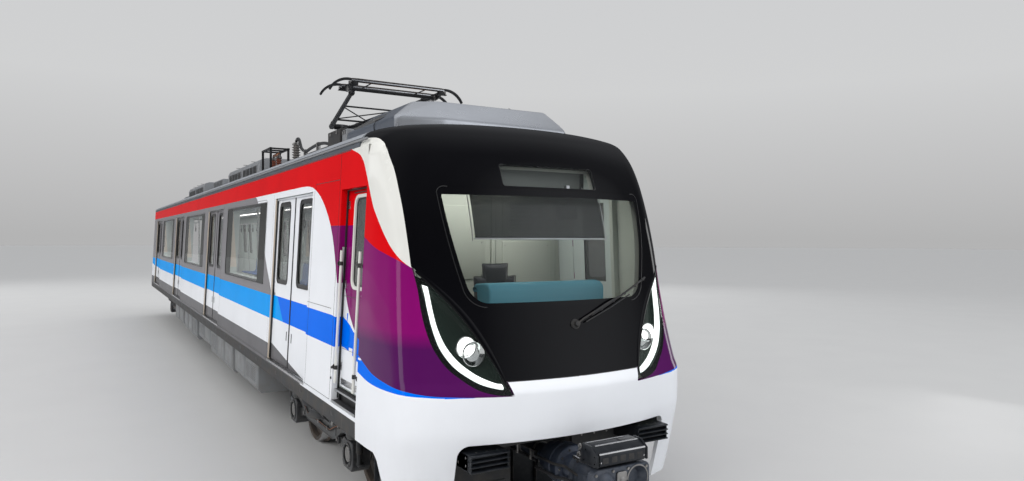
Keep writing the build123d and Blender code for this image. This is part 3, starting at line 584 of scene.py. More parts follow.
class Skin:
    """A polygon mesh that can be cut along any line given as a function of its points."""

    def __init__(self, verts, faces):
        self.v = [np.asarray(v, float) for v in verts]
        self.f = [tuple(f) for f in faces]

    def pts(self):
        return np.array(self.v)

    def centres(self):
        p = self.pts()
        return np.array([p[list(f)].mean(0) for f in self.f])

    def cut(self, fn, eps=4e-4):
        p = self.pts()
        val = fn(p)
        val = np.where(np.abs(val) < eps, 0.0, val)
        sign = np.sign(val)
        made, faces = {}, []
        size = np.array([len(f) for f in self.f])
        flat = sign[np.concatenate([np.array(f) for f in self.f])] if len(self.f) < 2 else sign[np.fromiter((i for f in self.f for i in f), int, int(size.sum()))]
        starts = np.concatenate([[0], np.cumsum(size)[:-1]])
        crossing = (np.maximum.reduceat(flat, starts) > 0) & (np.minimum.reduceat(flat, starts) < 0)
        if not crossing.any():
            return
        hit = [f for f, c in zip(self.f, crossing) if c]
        edges = sorted({(min(a, b), max(a, b)) for f in hit for a, b in zip(f, f[1:] + f[:1]) if sign[a] * sign[b] < 0})
        if edges:
            ea, eb = np.array(edges).T
            t = val[ea] / (val[ea] - val[eb])
            w = fn(p[ea] * (1 - t)[:, None] + p[eb] * t[:, None])
            same = w * val[ea] > 0
            t = np.where(np.abs(w) < 1e-6, t, np.where(same, t + (1 - t) * w / np.where(same, w - val[eb], 1), t * val[ea] / np.where(same, 1, val[ea] - w)))
            new = p[ea] * (1 - t)[:, None] + p[eb] * t[:, None]
            for k, e in enumerate(edges):
                made[e] = len(self.v)
                self.v.append(new[k])
        for f, cross in zip(self.f, crossing):
            if not cross:
                faces.append(f)
                continue
            pos, neg = [], []
            for a, b in zip(f, f[1:] + f[:1]):
                if sign[a] >= 0:
                    pos.append(a)
                if sign[a] <= 0:
                    neg.append(a)
                if sign[a] * sign[b] < 0:
                    key = (min(a, b), max(a, b))
                    pos.append(made[key])
                    neg.append(made[key])
            if len(pos) > 2:
                faces.append(tuple(pos))
            if len(neg) > 2:
                faces.append(tuple(neg))
        self.f = faces

    def refine(self, axis, values):
        """Cuts along level planes of one axis, so that curved cuts later follow their line."""
        for v in values:
            self.cut(lambda p, v=v: p[:, axis] - v, 1e-5)

    def pick(self, keep):
        """The faces where keep is true, as (verts, faces, index of each vert in this skin)."""
        faces = [f for f, k in zip(self.f, keep) if k]
        used = sorted(set(i for f in faces for i in f))
        new = {o: n for n, o in enumerate(used)}
        return [self.v[i] for i in used], [tuple(new[i] for i in f) for f in faces], used


# ================================================================ nose surface
FRONT_R, CORNER_R, FLANK_R, P2 = 3.3, 0.42, 2.5, math.radians(80)
# height above rail, setback of the foremost point from the nose tip
PROFILE = [(0.30, 0.27), (0.50, 0.19), (0.97, 0.06), (1.20, 0.01), (1.45, 0.0), (1.57, 0.05), (2.14, 0.21), (2.60, 0.30),
           (2.985, 0.41), (3.30, 0.55), (3.50, 0.72), (3.62, 0.92), (3.70, 1.45)]


def pchip(table, x):
    xs, ys = (np.array(c, float) for c in zip(*table))
    h = np.diff(xs)
    m = np.diff(ys) / h
    t = np.zeros(len(xs))
    for i in range(1, len(xs) - 1):
        if m[i - 1] * m[i] > 0:
            w1, w2 = 2 * h[i] + h[i - 1], h[i] + 2 * h[i - 1]
            t[i] = (w1 + w2) / (w1 / m[i - 1] + w2 / m[i])
    t[0], t[-1] = m[0], m[-1] * 1.6
    x = np.asarray(x, float)
    xc = np.clip(x, xs[0], xs[-1])
    k = np.clip(np.searchsorted(xs, xc, side="right") - 1, 0, len(xs) - 2)
    u = (xc - xs[k]) / h[k]
    y = ys[k] * (1 + 2 * u) * (1 - u) ** 2 + ys[k + 1] * u * u * (3 - 2 * u) + h[k] * (t[k] * u * (1 - u) ** 2 - t[k + 1] * u * u * (1 - u))
    return y + np.where(x > xs[-1], (x - xs[-1]) * 20, 0) + np.where(x < xs[0], (x - xs[0]) * t[0], 0)


def section(x, a):
    """Setback of a level section of half width a at distance x from the middle."""
    x = np.abs(x)
    s2 = math.sin(P2)
    s1 = (a - CORNER_R * s2 - FLANK_R * (1 - s2)) / (FRONT_R - CORNER_R)
    c1 = np.sqrt(1 - s1 * s1)
    x1, i1 = FRONT_R * s1, FRONT_R * (1 - c1)
    x2, i2 = x1 + CORNER_R * (s2 - s1), i1 + CORNER_R * (c1 - math.cos(P2))
    front = FRONT_R - np.sqrt(np.maximum(FRONT_R ** 2 - x * x, 0))
    s = np.clip(s1 + (x - x1) / CORNER_R, -1, 1)
    corner = i1 + CORNER_R * (c1 - np.sqrt(1 - s * s))
    t = np.clip(s2 + (x - x2) / FLANK_R, -1, 1)
    flank = i2 + FLANK_R * (math.cos(P2) - np.sqrt(1 - t * t))
    out = np.where(x <= x1, front, np.where(x <= x2, corner, flank))
    return np.where(x >= a, i2 + FLANK_R * math.cos(P2) + (x - a) * 60, out)


def roof_outline():
    """Right half of the body section above h = 2.6, as (x, z above rail)."""
    g, e, c = (float(side_x(GUTTER)), 3.43), (1.2, 3.58), (0.0, 3.70)
    pts = [(float(side_x(RAIL + h)), h) for h in np.linspace(2.6, 3.42, 12)]
    pts += arc(g, (g[0] - 0.038, (g[1] + e[1]) / 2 + 0.028), e, 14)
    pts += arc(e, (0.62, 3.70 - (6.06 - math.sqrt(6.06 ** 2 - 0.62 ** 2))), c, 30) + [c]
    return pts


PIVOT_D, PIVOT_H = 1.6, 2.6
_half = np.array(roof_outline())
_ang = np.arctan2(_half[:, 1] - PIVOT_H, _half[:, 0])
_rad = np.hypot(_half[:, 1] - PIVOT_H, _half[:, 0])


def nose_point(phi, theta, h):
    """Points of the nose on rays from the pivot: phi across, theta tipping up from level; h is the level of rows below the pivot."""
    sp, cp = np.sin(phi), np.cos(phi)
    ct, st = np.cos(theta), np.sin(theta)

    def at(r):
        return r * sp, PIVOT_D - r * cp * ct, h + r * cp * st

    lo, hi = np.zeros(phi.shape), np.full(phi.shape, 3.2)
    for _ in range(40):
        mid = (lo + hi) / 2
        x, d, z = at(mid)
        ins = d - pchip(PROFILE, z) - section(x, side_x(z + RAIL)) > 0
        lo, hi = np.where(ins, mid, lo), np.where(ins, hi, mid)
    rn = lo
    up = cp * st
    length = np.hypot(sp, up)
    ra = np.where(theta > 1e-6, np.interp(np.arctan2(up, np.abs(sp)), _ang, _rad) / np.maximum(length, 1e-6), 9.0)
    r = np.minimum(rn, ra)
    z = at(r)[2]
    k = 0.10 * np.clip((z - 3.36) / 0.16, 0, 1)
    w = np.where(k > 1e-6, np.maximum(k - np.abs(rn - ra), 0) / np.maximum(k, 1e-6), 0)
    r = r - w * w * k / 4
    x, d, z = at(r)
    # run flush into the flat side behind the cheek
    wall = side_x(z + RAIL)
    gap = wall - np.abs(x)
    low = np.clip((3.44 - z) / 0.10, 0, 1)
    ease = np.clip((d - 0.80) / 0.44, 0, 1)
    x = np.where(gap < 0.06, np.sign(x) * (np.abs(x) + gap * low * ease * ease * (3 - 2 * ease)), x)
    return np.stack([x, d, z], -1)


def nose_skin(rows_low, rows_top, cols):
    """The whole nose as one grid of (x, setback d, height above rail h), and the unit normals at its points."""
    phi = np.radians(np.linspace(-80, 80, cols))
    rows = [(0.0, h) for h in rows_low] + [(t, PIVOT_H) for t in rows_top]
    grid = np.stack([nose_point(phi, np.full(phi.shape, t), h) for t, h in rows])
    e = 1e-3
    gx = np.stack([nose_point(phi + e, np.full(phi.shape, t), h) - nose_point(phi - e, np.full(phi.shape, t), h) for t, h in rows])
    gy = []
    for t, h in rows:
        tt = np.full(phi.shape, t)
        if t == 0.0 and h < PIVOT_H - 1e-6:
            gy.append(nose_point(phi, tt, h + e) - nose_point(phi, tt, h - e))
        else:
            gy.append(nose_point(phi, tt + e, h) - nose_point(phi, np.maximum(tt - e, 1e-7), h))
    nrm = np.cross(gx, np.stack(gy))
    nrm /= np.maximum(np.linalg.norm(nrm, axis=-1, keepdims=True), 1e-12)
    out = grid - np.array([0, PIVOT_D, PIVOT_H - 0.6])
    flip = np.sum(nrm * out, -1) < 0
    nrm[flip] *= -1
    return grid, nrm


# ---------------------------------------------------------------- outlines, in metres: front view (|x|, h) or side view (d, h)
SEAM = 1.550
MASK = [(0, 1.547)] + [(0.60, 1.550), (0.642, 1.556)] + arc((0.642, 1.556), (0.88, 1.99), (1.240, 2.419), 30)[1:] + \
    smooth_line([(1.240, 2.419), (1.247, 2.646), (1.252, 2.855), (1.258, 3.035), (1.262, 3.184), (1.270, 3.296), (1.273, 3.394),
                 (1.281, 3.454), (1.300, 3.52)], 6) + [(1.30, 3.9), (0, 3.9)]
GLASS = outline([(-0.735, 2.105), (0.735, 2.105), (0.835, 2.150, 0), (0.895, 2.262), (0.975, 2.62, 0), (1.018, 3.00), (0.985, 3.045, 0), (0.94, 3.05),
                 (-0.94, 3.05), (-0.985, 3.045, 0), (-1.018, 3.00), (-0.975, 2.62, 0), (-0.895, 2.262), (-0.835, 2.150, 0)])
CLEAR = outline([(-0.715, 2.135), (0.715, 2.135), (0.80, 2.175, 0), (0.862, 2.285), (0.94, 2.62, 0), (0.985, 2.985), (-0.985, 2.985),
                 (-0.94, 2.62, 0), (-0.862, 2.285), (-0.80, 2.175, 0)])
DISPLAY = rounded(-0.47, 0.47, 3.065, 3.25, 0.025)
PILOT = outline([(-1.01, 0.2), (1.01, 0.2), (1.01, 1.0), (0.985, 1.065, 0), (0.92, 1.09), (-0.92, 1.09), (-0.985, 1.065, 0), (-1.01, 1.0)])
LAMP = smooth_line([(1.238, 2.419), (1.212, 2.243), (1.204, 2.094), (1.186, 1.947), (1.148, 1.803), (1.075, 1.672), (0.972, 1.575),
                    (0.864, 1.502), (0.735, 1.462), (0.600, 1.444)], 5)[:-1] + [(0.600, 1.444), (0.632, 1.535)] + \
    arc((0.642, 1.556), (0.88, 1.99), (1.240, 2.419), 30)[:-1]
SKIRT = [(0.56, 0.2), (0.56, 0.49), (0.76, 0.90), (0.82, 0.95), (1.6, 0.95), (1.6, 0.2)]
TEAR = smooth_line([(1.72, 3.432), (1.545, 3.470), (1.353, 3.497), (1.234, 3.500), (1.08, 3.52)], 5) + [(0.55, 3.52), (0.40, 2.9), (0.50, 2.35)] + \
    smooth_line([(0.545, 2.408), (0.617, 2.458), (0.709, 2.533), (0.849, 2.658), (0.972, 2.789), (1.074, 2.90), (1.165, 3.031),
                 (1.285, 3.205), (1.375, 3.308), (1.47, 3.365), (1.589, 3.400), (1.72, 3.430)], 6)
# lower edge of the coloured nose, from the roof band down over the cab door and round to the lamp tip
SWEEP = smooth_line([(26.0, 3.185), (14.0, 3.185), (6.0, 3.185), (3.9, 3.185), (3.3, 3.183), (3.05, 3.172), (2.85, 3.135), (2.62, 3.045), (2.42, 2.92), (2.25, 2.775), (2.13, 2.625),
                     (2.03, 2.44), (1.95, 2.26), (1.86, 2.09), (1.75, 1.955), (1.60, 1.83), (1.42, 1.735), (1.237, 1.655), (0.996, 1.580),
                     (0.84, 1.545), (0.583, 1.513), (0.369, 1.492), (0.255, 1.477), (0.19, 1.467), (0.141, 1.457), (0.098, 1.451), (0.055, 1.446), (0.0, 1.440)], 6)
COLOURED = [(26.0, 4.2)] + SWEEP + [(-0.3, 1.44), (-0.3, 4.2)]
BLUE_TOP = [(-0.3, 1.9)] + [(d, h) for d, h in SWEEP[::-1] if d < 1.52] + smooth_line([(1.56, 1.775), (1.68, 1.838), (1.84, 1.885), (2.05, 1.908), (2.3, 1.915), (26, 1.915)], 5)
BLUE_LOW = smooth_line([(26, 1.634), (2.56, 1.634), (2.05, 1.612), (1.7, 1.585), (1.42, 1.552), (1.2, 1.510), (0.981, 1.478), (0.734, 1.467), (0.447, 1.466), (0.26, 1.464)], 5)
BLUE = [(d, h) for d, h in BLUE_TOP[1:]] + BLUE_LOW[1:]
RED_LOW = smooth_line([(0.48, 2.38), (0.545, 2.412), (0.655, 2.464), (0.757, 2.497), (0.982, 2.557), (1.266, 2.655), (1.45, 2.72), (1.65, 2.748), (2.0, 2.748), (2.6, 2.748), (26, 2.748)], 6)
RED = RED_LOW + [(26, 4.2), (0.3, 4.2), (0.3, 2.38)]


# grey band round the saloon windows, and the dark strip along the bottom
BAND = smooth_line([(5.80, 3.185), (5.47, 2.95), (5.24, 2.66), (5.08, 2.43), (4.90, 2.24), (4.72, 2.08), (4.55, 1.915)], 6) + [(26, 1.915), (26, 3.185)]
LOW_GREY = [(3.02, 1.125), (4.60, 1.325), (26, 1.325), (26, 1.0), (3.02, 1.0)]


def tip_fn(p):
    """Positive outside the white between the lamp tips."""
    return np.abs(p[:, 0]) - 0.6 - np.maximum(0, p[:, 2] - 1.444) * 0.33


def front_fn(poly):
    return lambda p: signed(poly, p[:, 0], p[:, 2])


def half_fn(poly):
    return lambda p: signed(poly, np.abs(p[:, 0]), p[:, 2])


def side_fn(poly):
    return lambda p: signed(poly, p[:, 1], p[:, 2])


def level_fn(h):
    return lambda p: p[:, 2] - h


def livery(p):
    """Material name of each point (x, d, h) of the painted body."""
    x, d, h = np.abs(p[:, 0]), p[:, 1], p[:, 2]
    out = np.full(len(p), "white", dtype=object)
    blue = (signed(BLUE, d, h) > 0) & ~((x < 0.9) & (d < 0.4))
    colour = (signed(COLOURED, d, h) > 0) & (tip_fn(p) > 0)
    red = signed(RED, d, h) > 0
    tear = signed(TEAR, d, h) > 0
    out[signed(BAND, d, h) > 0] = "band"
    out[signed(LOW_GREY, d, h) > 0] = "sill_grey"
    out[blue] = np.where(d[blue] > 4.25 + (h[blue] - 1.775) * 1.25, "sky", "blue")
    out[colour & ~red] = "purple"
    out[colour & red] = "red"
    out[tear] = "ivory"
    return out


LIVERY_CUTS = [side_fn(BLUE), side_fn(COLOURED), side_fn(RED), side_fn(TEAR)]
WALL_CUTS = [side_fn(BLUE), side_fn(COLOURED), side_fn(RED), side_fn(TEAR), side_fn(BAND), side_fn(LOW_GREY),
             lambda p: p[:, 1] - 4.25 - (p[:, 2] - 1.775) * 1.25]
ROWS_LOW = sorted(set(np.round(np.concatenate([np.linspace(0.47, 1.43, 40), np.linspace(1.43, 1.60, 15), np.linspace(1.60, PIVOT_H, 56)]), 5)))
ROWS_TOP = np.radians(np.concatenate([np.linspace(0.8, 62, 76), np.linspace(62.8, 92, 40)]))
grid, nrm = nose_skin(ROWS_LOW, ROWS_TOP, 221)
R_N, C_N = grid.shape[:2]
nose = Skin(grid.reshape(-1, 3), [(r * C_N + c, r * C_N + c + 1, (r + 1) * C_N + c + 1, (r + 1) * C_N + c) for r in range(R_N - 1) for c in range(C_N - 1)])
base_n = nrm.reshape(-1, 3)
for fn in (half_fn(MASK), front_fn(GLASS), front_fn(CLEAR), front_fn(DISPLAY), half_fn(LAMP), front_fn(PILOT), side_fn(SKIRT), level_fn(SEAM), level_fn(0.50),
           tip_fn, lambda p: p[:, 1] - 1.2395, lambda p: p[:, 1] - 1.5, level_fn(3.43)):
    nose.cut(fn)
for fn in LIVERY_CUTS:
    nose.cut(fn)
pc = nose.centres()
ax, cd, ch = np.abs(pc[:, 0]), pc[:, 1], pc[:, 2]
in_mask = signed(MASK, ax, ch) > 0
in_glass = (signed(GLASS, pc[:, 0], ch) > 0) & (cd < 1.2)
in_clear = (signed(CLEAR, pc[:, 0], ch) > 0) & in_glass
in_disp = (signed(DISPLAY, pc[:, 0], ch) > 0) & (cd < 1.2)
in_lamp = (signed(LAMP, ax, ch) > 0) & (cd < 0.9)
in_pilot = (signed(PILOT, pc[:, 0], ch) > 0) & (cd < 0.6)
in_skirt = signed(SKIRT, cd, ch) > 0
keep = (ch > 0.50) & ~in_pilot & ~in_skirt & np.where(ch < 3.43, cd < 1.2395, cd < 1.5)
zone = livery(pc)
mask_zone = in_mask & ~in_glass & ~in_disp & ~in_lamp & (ch > 1.5)
top_dark = (ch > 3.43) & ~in_mask & (zone != "ivory")
zone[top_dark] = "roof_dark"


def normals_of(skin, used):
    """Surface normals at the skin's points, by nearest ray of the original surface."""
    p = np.array([skin.v[i] for i in used])
    n = np.zeros_like(p)
    have = np.array(used) < len(base_n)
    n[have] = base_n[np.array(used)[have]]
    todo = np.where(~have)[0]
    if len(todo):
        q = p[todo]
        level = q[:, 2] <= PIVOT_H
        theta = np.where(level, 0.0, np.arctan2(q[:, 2] - PIVOT_H, PIVOT_D - q[:, 1]))
        run = np.where(level, PIVOT_D - q[:, 1], np.hypot(PIVOT_D - q[:, 1], q[:, 2] - PIVOT_H))
        phi = np.arctan2(q[:, 0], run)
        h = np.where(level, q[:, 2], PIVOT_H)
        e = 1e-3
        gx = nose_point(phi + e, theta, h) - nose_point(phi - e, theta, h)
        up = nose_point(phi, np.where(level, theta, theta + e), np.where(level, h + e, h))
        dn = nose_point(phi, np.where(level, theta, np.maximum(theta - e, 1e-7)), np.where(level, h - e, h))
        m = np.cross(gx, up - dn)
        m /= np.maximum(np.linalg.norm(m, axis=1, keepdims=True), 1e-12)
        out = q - np.array([0, PIVOT_D, PIVOT_H - 0.6])
        m[np.sum(m * out, 1) < 0] *= -1
        n[todo] = m
    return n


def to_world(p, offset=None, n=None):
    p = np.array(p, float)
    if offset is not None:
        p = p + n * offset
    return np.stack([p[:, 0], p[:, 1] + TIP, p[:, 2] + RAIL], -1)


def nose_piece(name, keep, mats, zones=None, offset=0.0, rim=0.0, body="car_body"):
    """A part of the nose skin. rim turns its open border inwards by that depth."""
    v, f, used = nose.pick(keep)
    n = normals_of(nose, used)
    w = to_world(v, offset, n)
    # faces wind outwards
    faces = []
    for face in f:
        a, b, c = w[face[0]], w[face[1]], w[face[2]]
        faces.append(face if np.dot(np.cross(b - a, c - a), n[face[0]]) > 0 else face[::-1])
    zi = np.zeros(len(faces), int) if zones is None else np.array([mats.index(z) for z, k in zip(zones, keep) if k])
    if rim > 0:
        edges = {}
        for k, face in enumerate(faces):
            for a, b in zip(face, face[1:] + face[:1]):
                if (b, a) in edges:
                    del edges[(b, a)]
                else:
                    edges[(a, b)] = k
        start, made, w, n = len(w), {}, list(w), list(n)
        outer = {}
        for (a, b), k in edges.items():
            ids = []
            for i in (a, b):
                if i not in made:
                    outer[i] = len(w)
                    w.append(w[i])
                    n.append(n[i])
                    made[i] = len(w)
                    w.append(w[i] - n[i] * rim)
                    n.append(n[i])
                ids.append((outer[i], made[i]))
            faces.append((ids[0][0], ids[0][1], ids[1][1], ids[1][0]))
            zi = np.append(zi, zi[k])
        # rim normals point away from the panel
        acc = {}
        for face in faces[len(f):]:
            a, b, c = (np.array(w[i]) for i in face[:3])
            m = np.cross(b - a, c - a)
            for i in face:
                acc[i] = acc.get(i, 0) + m
        for i, m in acc.items():
            l = np.linalg.norm(m)
            if l > 1e-12:
                n[i] = m / l
    return piece(name, w, faces, mats, body, True, zi, normals=n)


# ---------------------------------------------------------------- camera, floor and lights
cam_data = bpy.data.cameras.new("camera")
cam_data.sensor_width = 36.0
cam_data.lens = 720.0 / 1024.0 * 36.0
cam_data.clip_end = 200.0
cam = bpy.data.objects.new("camera", cam_data)
bpy.context.scene.collection.objects.link(cam)
cam.location = (-3.396, TIP - 4.60, RAIL + 2.65)
cam.rotation_euler = (Matrix.Rotation(math.radians(-30.69), 3, "Z") @ Matrix.Rotation(math.radians(90 - 0.2785), 3, "X")
                      @ Matrix.Rotation(math.radians(0.258), 3, "Z")).to_euler()
bpy.context.scene.camera = cam

fm, fnt, fb = new_mat("studio_floor")
fnt.links.new(mixed(fnt, noise(fnt, coords(fnt), 0.8, 4), (0.50, 0.50, 0.50), (0.54, 0.54, 0.535)), fb.inputs["Base Color"])
fb.inputs["Roughness"].default_value = 0.75
bpy.ops.mesh.primitive_plane_add(size=1, location=(0, 0, 0))
ground = bpy.context.object
ground.name = "studio_floor"
ground.scale = (400, 400, 1)
bpy.ops.object.transform_apply(scale=True)
ground.location.z = -0.002
ground.data.materials.append(fm)
bpy.context.scene.view_settings.view_transform = "Standard"
bpy.context.scene.view_settings.look = "None"
bpy.context.scene.view_settings.exposure = 0.0

world = bpy.data.worlds.new("studio")
bpy.context.scene.world = world
world.use_nodes = True
wn = world.node_tree
bg = wn.nodes["Background"]
wtc = wn.nodes.new("ShaderNodeTexCoord")
wsep = wn.nodes.new("ShaderNodeSeparateXYZ")
wn.links.new(wtc.outputs["Generated"], wsep.inputs[0])
shade_up = ramp(wn, remap(wn, wsep.outputs["Z"], -0.2, 1.0, 0.0, 1.0), [(0.0, (0.34, 0.34, 0.34)), (0.167, (0.32, 0.32, 0.325)), (0.24, (0.20, 0.205, 0.215)), (0.42, (0.15, 0.155, 0.165)), (1.0, (0.70, 0.72, 0.75))])
front_dark = remap(wn, wsep.outputs["Y"], -0.35, 0.25, 0.30, 1.0)
lit = wn.nodes.new("ShaderNodeMix")
lit.data_type, lit.blend_type = "RGBA", "MULTIPLY"
lit.inputs[0].default_value = 1.0
wn.links.new(shade_up, lit.inputs[6])
wn.links.new(front_dark, lit.inputs[7])
# one broad soft glow, front right and above, for the sheen on the mask and screen
dot = wn.nodes.new("ShaderNodeVectorMath")
dot.operation = "DOT_PRODUCT"
dot.inputs[1].default_value = Vector((0.60, -0.72, 0.35)).normalized()
wn.links.new(wtc.outputs["Generated"], dot.inputs[0])
glow = ramp(wn, remap(wn, dot.outputs["Value"], 0.72, 1.0, 0.0, 1.0), [(0.0, (0.0, 0.0, 0.0)), (0.35, (0.10, 0.10, 0.105)), (0.75, (0.75, 0.77, 0.80)), (1.0, (1.3, 1.33, 1.38))])
summed = wn.nodes.new("ShaderNodeMix")
summed.data_type, summed.blend_type = "RGBA", "ADD"
summed.inputs[0].default_value = 1.0
wn.links.new(lit.outputs[2], summed.inputs[6])
wn.links.new(glow, summed.inputs[7])
pale = ramp(wn, remap(wn, wsep.outputs["Z"], -0.1, 0.6, 0.0, 1.0), [(0.0, (0.45, 0.45, 0.45)), (0.143, (0.455, 0.455, 0.456)), (0.24, (0.52, 0.52, 0.523)), (0.42, (0.63, 0.635, 0.64)), (1.0, (0.60, 0.61, 0.63))])
seen = wn.nodes.new("ShaderNodeLightPath")
both = wn.nodes.new("ShaderNodeMix")
both.data_type = "RGBA"
wn.links.new(seen.outputs["Is Camera Ray"], both.inputs[0])
wn.links.new(summed.outputs[2], both.inputs[6])
wn.links.new(pale, both.inputs[7])
wn.links.new(both.outputs[2], bg.inputs["Color"])
bg.inputs["Strength"].default_value = 1.0


def area(name, loc, target, size, size_y, power, colour=(1, 1, 1), glossy=True):
    d = bpy.data.lights.new(name, "AREA")
    d.shape, d.size, d.size_y, d.energy, d.color = "RECTANGLE", size, size_y, power, colour
    o = bpy.data.objects.new(name, d)
    bpy.context.scene.collection.objects.link(o)
    o.location = loc
    o.rotation_euler = (Vector(target) - Vector(loc)).to_track_quat("-Z", "Y").to_euler()
    o.visible_glossy = glossy
    return o


area("key", (-16, -22, 14), (0, -6, 1.5), 16, 10, 2100, (1.0, 0.985, 0.96), False)
area("fill", (17, -24, 11), (0, -8, 1.5), 14, 10, 900, (0.95, 0.98, 1.0), False)
area("left_side", (-22, 2, 11), (0, 1, 1.5), 30, 8, 1500, (1, 1, 1), False)
area("rear", (-14, 26, 13), (0, 6, 1.5), 16, 10, 1100, (1, 1, 1), False)
area("rear_fill", (18, 18, 12), (0, 4, 1.5), 16, 10, 1100, (1, 1, 1), False)
for name, loc, aim, w, h, watts in (("softbox_left", (-9.5, -8.6, 2.4), (-1.3, -10.6, 1.8), 1.7, 4.2, 60), ("softbox_right", (9.5, -9.5, 2.4), (1.3, -10.6, 1.8), 1.5, 4.2, 60),
                                    ("softbox_side", (-13.0, 4.0, 6.5), (-1.4, 0.0, 2.4), 20.0, 1.0, 120)):
    area(name, loc, aim, w, h, watts).visible_diffuse = False
sun_data = bpy.data.lights.new("soft_sun", "SUN")
sun_data.energy, sun_data.angle = 1.75, math.radians(100)
sun = bpy.data.objects.new("soft_sun", sun_data)
bpy.context.scene.collection.objects.link(sun)
sun.rotation_euler = (math.radians(18), math.radians(-14), 0)
sun.visible_glossy = False
# light inside the saloon and the cab
for k in range(4):
    area(f"saloon_light_{k}", (0, TIP + 4.6 + k * 4.9, RAIL + 3.22), (0, TIP + 4.6 + k * 4.9, 0), 1.3, 4.4, 60, (1.0, 0.98, 0.94), False)
area("cab_light", (0, TIP + 1.62, RAIL + 3.25), (0, TIP + 1.75, 0), 1.5, 0.9, 17, (1.0, 0.99, 0.95), False)


# ================================================================ nose pieces
nose_piece("cab_shell", keep & ~mask_zone & ~in_glass & ~in_disp & ~in_lamp, ["white", "ivory", "red", "purple", "blue", "roof_dark"], zone, rim=0.035)
nose_piece("front_mask_skin", keep & mask_zone, ["black"], rim=0.03)
nose_piece("windscreen_border", keep & in_glass & ~in_clear, ["frit"], offset=-0.0015)
nose_piece("windscreen_clear", keep & in_clear, ["screen"], offset=-0.0015)
nose_piece("display_pane", keep & in_disp, ["screen"], offset=-0.0015)
for s, side in SIDES:
    nose_piece(f"lamp_lens_{side}", keep & in_lamp & (pc[:, 0] * s > 0), ["lens"])
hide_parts("nose_panels", "front_bumper")
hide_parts("front_mask")
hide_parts("windscreen")
for s, side in SIDES:
    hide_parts(f"headlight_{side}")


# ================================================================ CAD skins with the livery cut in
def cad_skin(node):
    """A CAD node's mesh as a skin of (x, d, h) points."""
    me = NODES[node].data
    n = len(me.vertices)
    co = np.zeros(n * 3)
    me.vertices.foreach_get("co", co)
    co = co.reshape(-1, 3) - np.array([0, TIP, RAIL])
    key, index, verts = {}, np.zeros(n, int), []
    for i, c in enumerate(np.round(co, 5)):
        k = tuple(c)
        if k not in key:
            key[k] = len(verts)
            verts.append(co[i])
        index[i] = key[k]
    faces = []
    for p in me.polygons:
        f = tuple(dict.fromkeys(int(index[i]) for i in p.vertices))
        if len(f) > 2:
            faces.append(f)
    return Skin(verts, faces)


def face_normals(skin):
    p = skin.pts()
    out = []
    for f in skin.f:
        q = p[list(f)]
        m = np.zeros(3)
        for k in range(1, len(f) - 1):
            m += np.cross(q[k] - q[0], q[k + 1] - q[0])
        out.append(m / max(np.linalg.norm(m), 1e-12))
    return np.array(out)


def skin_piece(name, skin, zones, body, keep=None, leaning=None, angle=28):
    """leaning marks the faces that follow the side's slope; they take its exact normals, the others their own."""
    keep = np.ones(len(skin.f), bool) if keep is None else keep
    v, f, _ = skin.pick(keep)
    mats = sorted(set(z for z, k in zip(zones, keep) if k))
    o = piece(name, to_world(v), f, mats, body, True, [mats.index(z) for z, k in zip(zones, keep) if k], angle=angle if leaning is None else None)
    if leaning is None:
        return o
    me = o.data
    lean = [l for l, k in zip(leaning, keep) if k]
    slope = {}
    out = []
    for p in me.polygons:
        own = p.normal[:]
        if len(lean) != len(me.polygons) or not lean[p.index]:
            out += [own] * len(p.vertices)
            continue
        g = 1 if own[0] > 0 else -1
        for i in p.vertices:
            z = round(me.vertices[i].co.z, 4)
            if z not in slope:
                slope[z] = (float(side_x(z + 0.003)) - float(side_x(z - 0.003))) / 0.006
            n = Vector((g, 0, -slope[z] * lean[p.index] * 1.0)).normalized()
            out.append(n[:])
    me.normals_split_custom_set(out)
    return o


def wall_pt(s, d, h, off=0.0):
    """A point on the leaning side, off metres outside the outer face."""
    z = h + RAIL
    return (s * (float(side_x(z)) + off), d + TIP, z)


for s, side in SIDES:
    skin = cad_skin(f"side_wall_{side}")
    skin.cut(lambda p: p[:, 1] - 1.2395)
    skin.refine(1, np.arange(1.34, 6.3, 0.10))
    skin.refine(2, np.arange(1.25, 3.43, 0.10))
    for fn in WALL_CUTS:
        skin.cut(fn)
    c, n = skin.centres(), face_normals(skin)
    outer = (n[:, 0] * s > 0.9) & (np.abs(c[:, 0]) > side_x(c[:, 2] + RAIL) - 0.020)
    niche = (c[:, 1] > 1.2) & (c[:, 1] < 1.94) & (np.abs(c[:, 0]) > side_x(c[:, 2] + RAIL) - 0.073) & ~outer & (n[:, 0] * s > -0.5)
    z = np.full(len(c), "interior", dtype=object)
    z[outer | niche] = livery(c)[outer | niche]
    z[niche & (c[:, 2] < 1.275) & (n[:, 0] * s > 0.5)] = "dark"
    step = outer & (np.abs(c[:, 0]) < side_x(c[:, 2] + RAIL) - 0.008)     # bed of the side panes
    z[step] = "frit"
    # door jamb faces take the beige jamb paint, lightened as painted light
    edge = (np.abs(n[:, 1]) > 0.9) & (np.abs(c[:, 0]) > side_x(c[:, 2] + RAIL) - 0.06) & ~niche
    z[edge] = "jamb"
    skin_piece(f"side_skin_{side}", skin, z, "car_body", c[:, 1] > 1.2395, ((n[:, 0] * s > 0.9) & (np.abs(n[:, 1]) < 0.1)).astype(int))
    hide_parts(f"side_wall_{side}")


